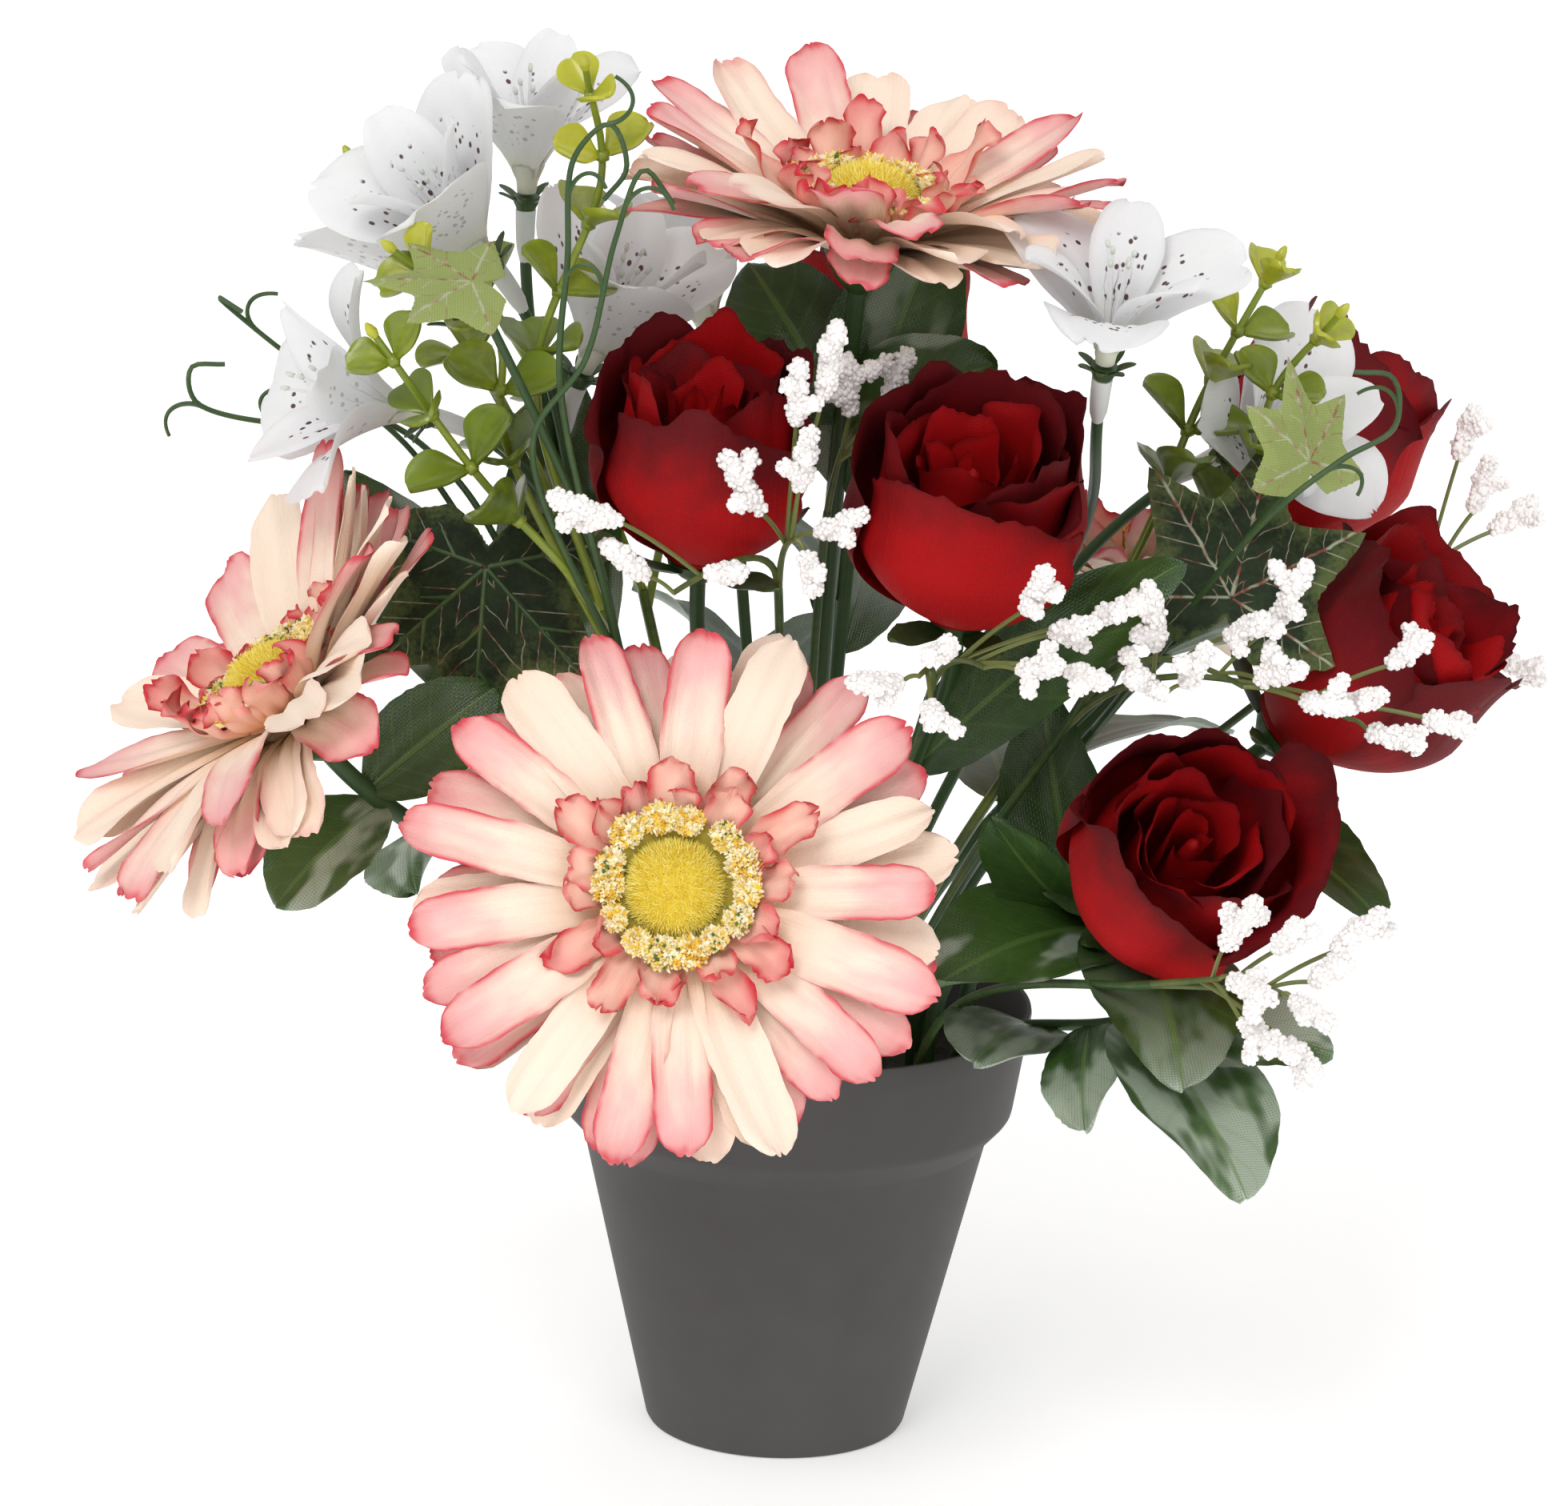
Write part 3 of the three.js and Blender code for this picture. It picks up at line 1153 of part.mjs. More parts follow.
function leafSpray(spec) {
  const knotAxis = vector(spec.knotAxis).normalize();
  const curve = stemCurve({ hole: spec.hole, to: vector(spec.knot), axis: knotAxis, rise: 26, reach: 26 });
  return join([bar(curve, STEM.leaf, 4, 6), ...leavesOn(curve, spec.leaves)]);
}

// ---------------------------------------------------------------- the whole

const stemsInFiller = [
  ...GERBERAS.map(({ hole }) => ({ hole, radius: STEM.gerbera + HOLE.clearance })),
  ...ROSES.map(({ hole }) => ({ hole, radius: STEM.rose + HOLE.clearance })),
  ...TRUMPET_STEMS.map(({ hole }) => ({ hole, radius: STEM.trumpet + HOLE.clearance })),
  ...BOX_SPRAYS.map(({ hole }) => ({ hole, radius: STEM.box + HOLE.clearance })),
  ...IVY_SPRAYS.map(({ hole }) => ({ hole, radius: STEM.ivy + HOLE.clearance })),
  ...VEILS.map(({ hole }) => ({ hole, radius: STEM.veil + HOLE.clearance })),
  ...LEAF_SPRAYS.map(({ hole }) => ({ hole, radius: STEM.leaf + HOLE.clearance })),
];

const arrangement = new THREE.Group();
const add = (name, solid, material) => arrangement.add(meshOf(name, solid, material));

add("pot", pot(), FINISH.pot);
add("filler", filler(stemsInFiller), FINISH.filler);
GERBERAS.forEach((spec, k) => {
  add(`gerbera_petals_${spec.name}`, gerberaPetals(spec, k + 1), FINISH.petal);
  add(`gerbera_ruffle_${spec.name}`, gerberaRuffle(spec, k + 1), FINISH.ruffle);
  add(`gerbera_eye_${spec.name}`, gerberaEye(spec), FINISH.eye);
  add(`gerbera_stem_${spec.name}`, gerberaStem(spec), FINISH.stem);
});
ROSES.forEach((spec) => {
  add(`rose_bloom_${spec.name}`, roseBloom(spec), FINISH.rose);
  add(`rose_stem_${spec.name}`, roseStem(spec), FINISH.leaf);
});
TRUMPETS.forEach((spec) => add(`alstroemeria_bloom_${spec.name}`, trumpetBloom(spec), FINISH.trumpet));
TRUMPET_STEMS.forEach((spec) => add(`alstroemeria_stem_${spec.name}`, trumpetStem(spec), FINISH.stem));
BOX_SPRAYS.forEach((spec, k) => add(`box_spray_${spec.name}`, boxSpray(spec, k), FINISH.box));
IVY_SPRAYS.forEach((spec) => add(`ivy_spray_${spec.name}`, ivySpray(spec), FINISH.ivy));
VEILS.forEach((spec, k) => add(`gypsophila_spray_${spec.name}`, veil(spec, k), FINISH.veil));
LEAF_SPRAYS.forEach((spec) => add(`leaf_spray_${spec.name}`, leafSpray(spec), FINISH.leaf));

export default arrangement;
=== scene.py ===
"""Dresses the potted arrangement: cloth gerberas, roses and alstroemerias with plastic sprigs in a pot.

The tables are in millimetres, +Z up and -Y to the front, and every mesh is written in metres.
"""

import logging
import math
from dataclasses import dataclass
from enum import Enum
from typing import Callable, Sequence

import bpy
import numpy as np
from mathutils import Matrix, Vector


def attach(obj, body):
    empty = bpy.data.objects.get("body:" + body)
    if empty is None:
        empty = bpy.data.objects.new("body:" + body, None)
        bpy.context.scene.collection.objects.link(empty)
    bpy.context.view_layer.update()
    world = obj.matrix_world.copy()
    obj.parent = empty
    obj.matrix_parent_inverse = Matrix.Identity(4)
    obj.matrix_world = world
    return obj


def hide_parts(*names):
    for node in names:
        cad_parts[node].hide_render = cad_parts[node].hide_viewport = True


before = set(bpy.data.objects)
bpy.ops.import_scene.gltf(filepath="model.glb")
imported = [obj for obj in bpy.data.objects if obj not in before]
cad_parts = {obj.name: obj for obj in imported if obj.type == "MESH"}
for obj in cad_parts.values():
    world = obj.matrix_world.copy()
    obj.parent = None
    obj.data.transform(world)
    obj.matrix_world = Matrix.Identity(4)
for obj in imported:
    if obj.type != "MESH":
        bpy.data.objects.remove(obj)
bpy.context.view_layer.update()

LOG = logging.getLogger("arrangement")
MM = 0.001
IMAGE_SIZE = (1960, 1882)
GOLDEN = math.pi * (3 - math.sqrt(5))
GOLDEN_SHARE = 0.618034
FULL_PHASE = 6.3
HASH_STEP = 12.9898
HASH_SCALE = 43758.5453
Triple = Sequence[float]

# ---------------------------------------------------------------- vectors and curves


def unit(v: np.ndarray) -> np.ndarray:
    """Vectors scaled to length one."""
    return v / np.maximum(np.linalg.norm(v, axis=-1, keepdims=True), 1e-12)


def hashed(seed: np.ndarray | float) -> np.ndarray:
    """Repeatable draws from 0 to 1: the fraction of a large multiple of the sine of a multiple of the seed."""
    wave = np.sin(np.asarray(seed, float) * HASH_STEP) * HASH_SCALE
    return wave - np.floor(wave)


def stray(seed: np.ndarray | float) -> np.ndarray:
    """Repeatable draws from -0.5 to 0.5."""
    return hashed(seed) - 0.5


def strays(seed: np.ndarray, first: int = 0) -> np.ndarray:
    """Three draws from -0.5 to 0.5 for each seed, the first of them that many on."""
    return stray(seed[:, None] + np.arange(first, first + 3))


def smooth(low: float, high: float, x: np.ndarray) -> np.ndarray:
    """Eased step from 0 at low to 1 at high."""
    t = np.clip((np.asarray(x, float) - low) / (high - low), 0, 1)
    return t * t * (3 - 2 * t)


def sine_rise(t: np.ndarray, end: float) -> np.ndarray:
    """Sine from 0 at 0 up to 1 at the end, and 1 from there on."""
    return np.sin(np.pi / 2 * np.minimum(t / end, 1))


def bell(x: np.ndarray, width: float) -> np.ndarray:
    """Bell curve: e to the power of minus the square of x over the width."""
    return np.exp(-((x / width) ** 2))


def round_ends(share: np.ndarray) -> np.ndarray:
    """Girth of a rod with round ends: the root of 1 - |2 share - 1|^5."""
    return np.sqrt(np.clip(1 - np.abs(2 * share - 1) ** 5, 0.02, 1))


def polar(radius: np.ndarray, angle: np.ndarray, height: np.ndarray) -> np.ndarray:
    """Points from their radii, angles and heights."""
    return np.stack(np.broadcast_arrays(radius * np.cos(angle), radius * np.sin(angle), height), axis=-1)


class Seat:
    """A placing: z along an axis and x towards a side direction, from a heart."""

    def __init__(self, heart: Triple, axis: Triple, side: Triple = (1, 0, 0.01)) -> None:
        """Works out the three directions.

        Args:
            heart: Origin of the placing.
            axis: Direction of z.
            side: Direction that x leans to.
        """
        z = unit(np.asarray(axis, float))
        side = np.asarray(side, float)
        x = unit(side - z * (side @ z))
        self.heart = np.asarray(heart, float)
        self.basis = np.stack([x, np.cross(z, x), z])

    def place(self, points: np.ndarray) -> np.ndarray:
        """Points of the placing in the frame."""
        return self.heart + np.asarray(points, float) @ self.basis

    def turn(self, directions: np.ndarray) -> np.ndarray:
        """Directions of the placing in the frame."""
        return np.asarray(directions, float) @ self.basis


class Path:
    """A curve kept as a dense run of points and read by its share of length."""

    def __init__(self, points: np.ndarray) -> None:
        """Keeps the points and their running length.

        Args:
            points: Points along the curve.
        """
        self.points = np.asarray(points, float)
        steps = np.linalg.norm(np.diff(self.points, axis=0), axis=1)
        self.runs = np.concatenate([[0.0], np.cumsum(steps)])

    def at(self, share: np.ndarray | float) -> np.ndarray:
        """Points at shares of the length."""
        run = np.asarray(share, float) * self.runs[-1]
        return np.stack([np.interp(run, self.runs, self.points[:, k]) for k in range(3)], axis=-1)

    def along(self, share: np.ndarray | float) -> np.ndarray:
        """Unit directions at shares of the length."""
        share = np.asarray(share, float)
        return unit(self.at(np.minimum(share + 0.004, 1)) - self.at(np.maximum(share - 0.004, 0)))

    def spread(self, count: int, start: float = 0.0, end: float = 1.0) -> np.ndarray:
        """Evenly spaced points from one share to another."""
        return self.at(np.linspace(start, end, count))

    @staticmethod
    def bezier(*corners: np.ndarray, count: int = 60) -> "Path":
        """A Bezier curve of any order, by repeated blending of its corners.

        Args:
            corners: Corners of the curve.
            count: Points along it.

        Returns:
            The curve.
        """
        t = np.linspace(0, 1, count)[:, None]
        level = [np.asarray(corner, float)[None] for corner in corners]
        while len(level) > 1:
            level = [a * (1 - t) + b * t for a, b in zip(level, level[1:])]
        return Path(level[0])

    @staticmethod
    def through(knots: Sequence[Triple], count: int = 24) -> "Path":
        """A centripetal Catmull-Rom curve through its knots, with mirrored ends.

        From knot b to c the point is the cubic in t that has b, c and the two knots' slopes at its ends.

        Args:
            knots: Points that it runs through.
            count: Points between two of them.

        Returns:
            The curve.
        """
        knots = np.asarray(knots, float)
        knots = np.vstack([2 * knots[0] - knots[1], knots, 2 * knots[-1] - knots[-2]])
        gaps = np.linalg.norm(np.diff(knots, axis=0), axis=1) ** 0.5
        runs = []
        for k in range(len(knots) - 3):
            a, b, c, d = knots[k:k + 4]
            u, v, w = gaps[k:k + 3]
            first = ((b - a) / u - (c - a) / (u + v) + (c - b) / v) * v
            last = ((c - b) / v - (d - b) / (v + w) + (d - c) / w) * v
            t = np.linspace(0, 1, count)[:, None]
            runs.append(b + first * t + (3 * (c - b) - 2 * first - last) * t**2
                        + (2 * (b - c) + first + last) * t**3)
        return Path(np.vstack([runs[0], *[run[1:] for run in runs[1:]]]))

    def followed_by(self, other: "Path") -> "Path":
        """This curve and then another."""
        return Path(np.vstack([self.points, other.points[1:]]))


def reach_curve(start: np.ndarray, leaving: np.ndarray, leave: float,
                end: np.ndarray, arriving: np.ndarray, arrive: float) -> Path:
    """A Bezier curve that leaves a point along one direction and arrives at another along another."""
    return Path.bezier(start, start + leaving * leave, end - arriving * arrive, end)


# ---------------------------------------------------------------- meshes


def grid_quads(index: np.ndarray) -> np.ndarray:
    """Quads of a grid of point numbers, anticlockwise seen against across x along."""
    corners = [index[:-1, :-1], index[:-1, 1:], index[1:, 1:], index[1:, :-1]]
    return np.stack(corners, axis=-1).reshape(-1, 4)


class Skin:
    """Gathers closed surfaces into one mesh, with marks on its points for the finishes."""

    MARKS = ("along", "across", "tone", "side")

    def __init__(self) -> None:
        """Starts an empty mesh."""
        self.count = 0
        self.points: list[np.ndarray] = []
        self.faces: list[np.ndarray] = []
        self.slots: list[np.ndarray] = []
        self.flat: list[np.ndarray] = []
        self.marks: dict[str, list[np.ndarray]] = {name: [] for name in self.MARKS}

    def add(self, points: np.ndarray, faces: np.ndarray | list[np.ndarray], slot: int = 0,
            flat: np.ndarray | None = None, **marks: np.ndarray | float) -> None:
        """Adds points and the faces on them.

        Args:
            points: Places in millimetres.
            faces: One array of faces with equal numbers of corners, or several.
            slot: Material slot of the faces.
            flat: Place of each point in the flat cloth, in millimetres.
            marks: Values for the points' marks.
        """
        points = np.asarray(points, float).reshape(-1, 3)
        size = len(points)
        for some in faces if isinstance(faces, list) else [faces]:
            self.faces.append(np.asarray(some) + self.count)
            self.slots.append(np.full(len(some), slot))
        self.points.append(points)
        self.flat.append(np.zeros((size, 2)) if flat is None else np.asarray(flat).reshape(-1, 2))
        for name in self.MARKS:
            value = np.asarray(marks.get(name, 0.0), float)
            self.marks[name].append(np.broadcast_to(value.reshape(-1), (size,)) if value.size == size
                                    else np.full(size, float(value.reshape(-1)[0])))
        self.count += size

    def shells(self, middle: np.ndarray, thick: float, slot: int = 0, flat: np.ndarray | None = None,
               **marks: np.ndarray) -> None:
        """Closed thin shells over grids of middle points, whose two faces share the grid's border.

        A face's point is its middle point plus or minus the unit normal, across x along, times half the
        thickness, and on the border it is the middle point itself.

        Args:
            middle: Points with axes shell, row, column and coordinate.
            thick: Thickness in millimetres.
            slot: Material slot.
            flat: Places in the flat cloth on the same grid.
            marks: Marks on the same grid, or one value a shell.
        """
        shells, rows, cols, _ = middle.shape
        normal = unit(np.cross(np.gradient(middle, axis=2), np.gradient(middle, axis=1)))
        upper = middle + normal * thick / 2
        lower = (middle - normal * thick / 2)[:, 1:-1, 1:-1]
        border = np.ones((rows, cols), bool)
        border[1:-1, 1:-1] = False
        upper[:, border] = middle[:, border]
        size, inner = rows * cols, (rows - 2) * (cols - 2)
        top = np.arange(size).reshape(rows, cols)
        bottom = top.copy()
        bottom[1:-1, 1:-1] = size + np.arange(inner).reshape(rows - 2, cols - 2)
        faces = np.vstack([grid_quads(top), grid_quads(bottom)[:, ::-1]])
        every = (np.arange(shells)[:, None, None] * (size + inner) + faces).reshape(-1, 4)

        def both(values: np.ndarray) -> np.ndarray:
            """Values of the grid on both faces."""
            inside = values[:, 1:-1, 1:-1].reshape(shells, inner, *values.shape[3:])
            return np.concatenate([values.reshape(shells, size, *values.shape[3:]), inside], axis=1)

        def spread(value: np.ndarray) -> np.ndarray:
            """Spreads a mark over the grid.

            Args:
                value: The mark on the grid, or one value a shell.

            Returns:
                The mark of each point on both faces.
            """
            value = np.asarray(value, float)
            if value.ndim == 1 and len(value) == shells:
                value = value[:, None, None]
            return both(np.broadcast_to(value, (shells, rows, cols))).reshape(-1)

        places = np.concatenate([upper.reshape(shells, size, 3), lower.reshape(shells, inner, 3)], axis=1)
        side = np.concatenate([np.ones((shells, size)), -np.ones((shells, inner))], axis=1)
        given = {name: spread(value) for name, value in marks.items()}
        self.add(places, every, slot, None if flat is None else both(flat), side=side.reshape(-1), **given)

    def tube(self, points: np.ndarray, radius: np.ndarray | float, sides: int = 8, slot: int = 0,
             **marks: np.ndarray | float) -> None:
        """A round bar along points, closed at both ends.

        Each ring stands square to the run of the points. Its first direction is the one that the run
        turns least towards, made square to it.

        Args:
            points: Points of the middle line.
            radius: Radius, or one for each point.
            sides: Sides of the ring.
            slot: Material slot.
            marks: One value for the whole bar.
        """
        points = np.asarray(points, float)
        ahead = unit(np.gradient(points, axis=0))
        least = np.linalg.svd(ahead)[2][-1]
        first = unit(least - ahead * (ahead @ least)[:, None])
        second = np.cross(ahead, first)
        turn = np.arange(sides) / sides * 2 * np.pi
        reach = np.broadcast_to(np.asarray(radius, float), (len(points),))[:, None, None]
        spokes = first[:, None] * np.cos(turn)[None, :, None] + second[:, None] * np.sin(turn)[None, :, None]
        self.rings(points[:, None] + spokes * reach, points[0], points[-1], slot, **marks)

    def rings(self, rings: np.ndarray, start: np.ndarray, end: np.ndarray, slot: int = 0,
              **marks: np.ndarray | float) -> None:
        """A closed skin over rings that run anticlockwise seen from ahead, drawn to a point at each end.

        Args:
            rings: Points with axes ring, side and coordinate.
            start: Point before the first ring.
            end: Point after the last one.
            slot: Material slot.
            marks: One value for the whole skin, or one for each point.
        """
        rows, sides, _ = rings.shape
        index = 1 + np.arange(rows * sides).reshape(rows, sides)
        index = np.hstack([index, index[:, :1]])
        last = rows * sides + 1
        head = np.stack([np.full(sides, last), index[-1, :-1], index[-1, 1:]], axis=-1)
        foot = np.stack([np.zeros(sides, int), index[0, 1:], index[0, :-1]], axis=-1)
        places = np.vstack([np.reshape(start, (1, 3)), rings.reshape(-1, 3), np.reshape(end, (1, 3))])
        self.add(places, [grid_quads(index), head, foot], slot, **marks)

    def turned(self, seat: Seat, profile: Sequence[tuple[float, float]], sides: int, low: float, high: float,
               slot: int = 0, **marks: float) -> None:
        """A turned form, closed on its axis.

        Args:
            seat: Placing of the form.
            profile: Pairs of radius and height.
            sides: Sides of each ring.
            low: Height of its first point on the axis.
            high: Height of its last.
            slot: Material slot.
            marks: One value for the whole form.
        """
        start, end = seat.place([0, 0, low]), seat.place([0, 0, high])
        self.rings(lathe(seat, profile, sides), start, end, slot, **marks)

    def scatter(self, form: "Form", places: np.ndarray, sizes: np.ndarray, slot: int = 0,
                turns: np.ndarray | None = None, **marks: np.ndarray) -> None:
        """Copies of a small closed form.

        Args:
            form: The form, about one unit in radius.
            places: Middle of each copy.
            sizes: Size of each copy, or one for each of its three directions.
            slot: Material slot.
            turns: Three directions of each copy.
            marks: One value for each copy.
        """
        copies, size = len(places), len(form.points)
        scaled = form.points[None] * np.asarray(sizes, float).reshape(copies, 1, -1)
        if turns is not None:
            scaled = np.einsum("cpi,cij->cpj", scaled, turns)
        faces = (np.arange(copies)[:, None, None] * size + form.faces[None]).reshape(-1, form.faces.shape[1])
        given = {name: np.repeat(np.asarray(value, float), size) for name, value in marks.items()}
        self.add(places[:, None] + scaled, faces, slot, **given)

    def piece(self, name: str, materials: Sequence[bpy.types.Material], nodes: Sequence[str],
              slot: str, crease: float = 50.0) -> bpy.types.Object:
        """Makes the Blender object and fastens it to the frame.

        Args:
            name: Name of the piece.
            materials: Materials of the slots.
            nodes: Nodes that it stands for.
            slot: Name of the finish's slot; not used.
            crease: Angle in degrees past which an edge is sharp.

        Returns:
            The object, at the origin, with its place in its mesh.
        """
        corners = np.concatenate([some.reshape(-1) for some in self.faces])
        sizes = np.concatenate([np.full(len(some), some.shape[1]) for some in self.faces])
        points = np.concatenate(self.points) * MM
        mesh = bpy.data.meshes.new(name)
        mesh.vertices.add(len(points))
        mesh.vertices.foreach_set("co", points.astype(np.float32).reshape(-1))
        mesh.loops.add(len(corners))
        mesh.loops.foreach_set("vertex_index", corners.astype(np.int32))
        mesh.polygons.add(len(sizes))
        starts = np.concatenate([[0], np.cumsum(sizes)[:-1]])
        mesh.polygons.foreach_set("loop_start", starts.astype(np.int32))
        mesh.polygons.foreach_set("material_index", np.concatenate(self.slots).astype(np.int32))
        mesh.polygons.foreach_set("use_smooth", np.ones(len(sizes), bool))
        mesh.update(calc_edges=True)
        layer = mesh.uv_layers.new(name="cloth")
        layer.data.foreach_set("uv", np.concatenate(self.flat)[corners].astype(np.float32).reshape(-1))
        for mark, runs in self.marks.items():
            values = mesh.attributes.new(mark, "FLOAT", "POINT")
            values.data.foreach_set("value", np.concatenate(runs).astype(np.float32))
        mesh.set_sharp_from_angle(angle=math.radians(crease))
        for material in materials:
            mesh.materials.append(material)
        thing = bpy.data.objects.new(name, mesh)
        bpy.context.scene.collection.objects.link(thing)
        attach(thing, "root")
        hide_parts(*nodes)
        LOG.info("%s: %d faces", name, len(sizes))
        return thing


@dataclass(frozen=True)
class Form:
    """A small closed form that is copied many times."""

    points: np.ndarray
    faces: np.ndarray

    @staticmethod
    def bead() -> "Form":
        """An icosahedron with its corners at radius one.

        Returns:
            The form.
        """
        g = (1 + math.sqrt(5)) / 2
        signs = np.array([[-1, 1], [1, 1], [-1, -1], [1, -1]], float)
        flat = np.zeros((4, 1))
        corners = np.vstack([
            np.hstack([signs[:, :1], signs[:, 1:] * g, flat]),
            np.hstack([flat, signs[:, :1], signs[:, 1:] * g]),
            np.hstack([signs[:, 1:] * g, flat, signs[:, :1]]),
        ])
        faces = np.array([
            [0, 11, 5], [0, 5, 1], [0, 1, 7], [0, 7, 10], [0, 10, 11], [1, 5, 9], [5, 11, 4],
            [11, 10, 2], [10, 7, 6], [7, 1, 8], [3, 9, 4], [3, 4, 2], [3, 2, 6], [3, 6, 8],
            [3, 8, 9], [4, 9, 5], [2, 4, 11], [6, 2, 10], [8, 6, 7], [9, 8, 1],
        ])
        return Form(unit(corners), faces).outward()

    @staticmethod
    def thorn() -> "Form":
        """A three-sided spike from the origin along x."""
        points = np.array([[1, 0, 0], [0, 1, 0], [0, -0.5, 0.87], [0, -0.5, -0.87]], float)
        return Form(points, np.array([[0, 1, 2], [0, 2, 3], [0, 3, 1], [1, 3, 2]])).outward()

    @staticmethod
    def crumb() -> "Form":
        """An octahedron with its corners at radius one.

        Returns:
            The form.
        """
        points = np.array([[1, 0, 0], [-1, 0, 0], [0, 1, 0], [0, -1, 0], [0, 0, 1], [0, 0, -1]], float)
        faces = np.array([[0, 2, 4], [2, 1, 4], [1, 3, 4], [3, 0, 4],
                          [2, 0, 5], [1, 2, 5], [3, 1, 5], [0, 3, 5]])
        return Form(points, faces).outward()

    def outward(self) -> "Form":
        """Turns all faces away from the middle.

        Returns:
            The form with its faces so turned.
        """
        a, b, c = (self.points[self.faces[:, k]] for k in range(3))
        middle = self.points.mean(axis=0)
        inward = np.einsum("ij,ij->i", np.cross(b - a, c - a), (a + b + c) / 3 - middle) < 0
        faces = np.where(inward[:, None], self.faces[:, ::-1], self.faces)
        return Form(self.points, faces)


# ---------------------------------------------------------------- blades


class Outline(Enum):
    """Plan of a petal or leaf: how its half-width runs from root to tip."""

    STRAP = "strap"
    OVATE = "ovate"
    SPOON = "spoon"
    CLAW = "claw"

    def width(self, t: np.ndarray) -> np.ndarray:
        """Half-width at shares of the length, as a share of the greatest.

        A sine rises from the root to the widest place, and a quarter of an ellipse rounds the tip.

        Args:
            t: Shares of the length.

        Returns:
            Half-widths.
        """
        def tip(start: float, depth: float) -> np.ndarray:
            """Ellipse from 1 at the start of the tip."""
            return np.sqrt(1 - depth * (np.maximum(0, t - start) / (1 - start)) ** 2)

        if self is Outline.STRAP:
            return (0.38 + 0.62 * sine_rise(t, 0.62)) * tip(0.84, 0.82)
        if self is Outline.OVATE:
            return np.maximum(np.sin(np.pi * np.clip(t, 0, 1) ** 0.96), 0) ** 0.62 + 0.02
        if self is Outline.SPOON:
            return (0.16 + 0.84 * sine_rise(t, 0.55) ** 1.6) * tip(0.48, 0.95)
        return (0.18 + 0.82 * sine_rise(t, 0.66) ** 1.5) * tip(0.62, 0.9)


@dataclass(frozen=True)
class Cut:
    """How a blade is cut and pressed: sizes in millimetres unless they are shares.

    Attributes:
        outline: Plan.
        cup: Rise of the edges, as a share of the half-width.
        rows: Grid rows from root to tip.
        cols: Grid columns across.
        thick: Thickness.
        crown: How far the tip's sides lie back, as a share of the length.
        notch: Depth of the tip's notches, as a share of the length.
        crease: Height of the pressed lengthwise folds.
        folds: Folds across the blade.
        wave: Height of the edge's waves.
        waves: Waves along the edge.
        teeth: Raggedness of the edge.
        twist: Greatest turn of the tip about the midrib, in degrees.
        curl: Lift of the last part of the tip.
    """

    outline: Outline
    cup: float = 0.1
    rows: int = 18
    cols: int = 11
    thick: float = 0.5
    crown: float = 0.05
    notch: float = 0.0
    crease: float = 0.0
    folds: float = 3.0
    wave: float = 0.0
    waves: float = 2.0
    teeth: float = 0.0
    twist: float = 0.0
    curl: float = 0.0


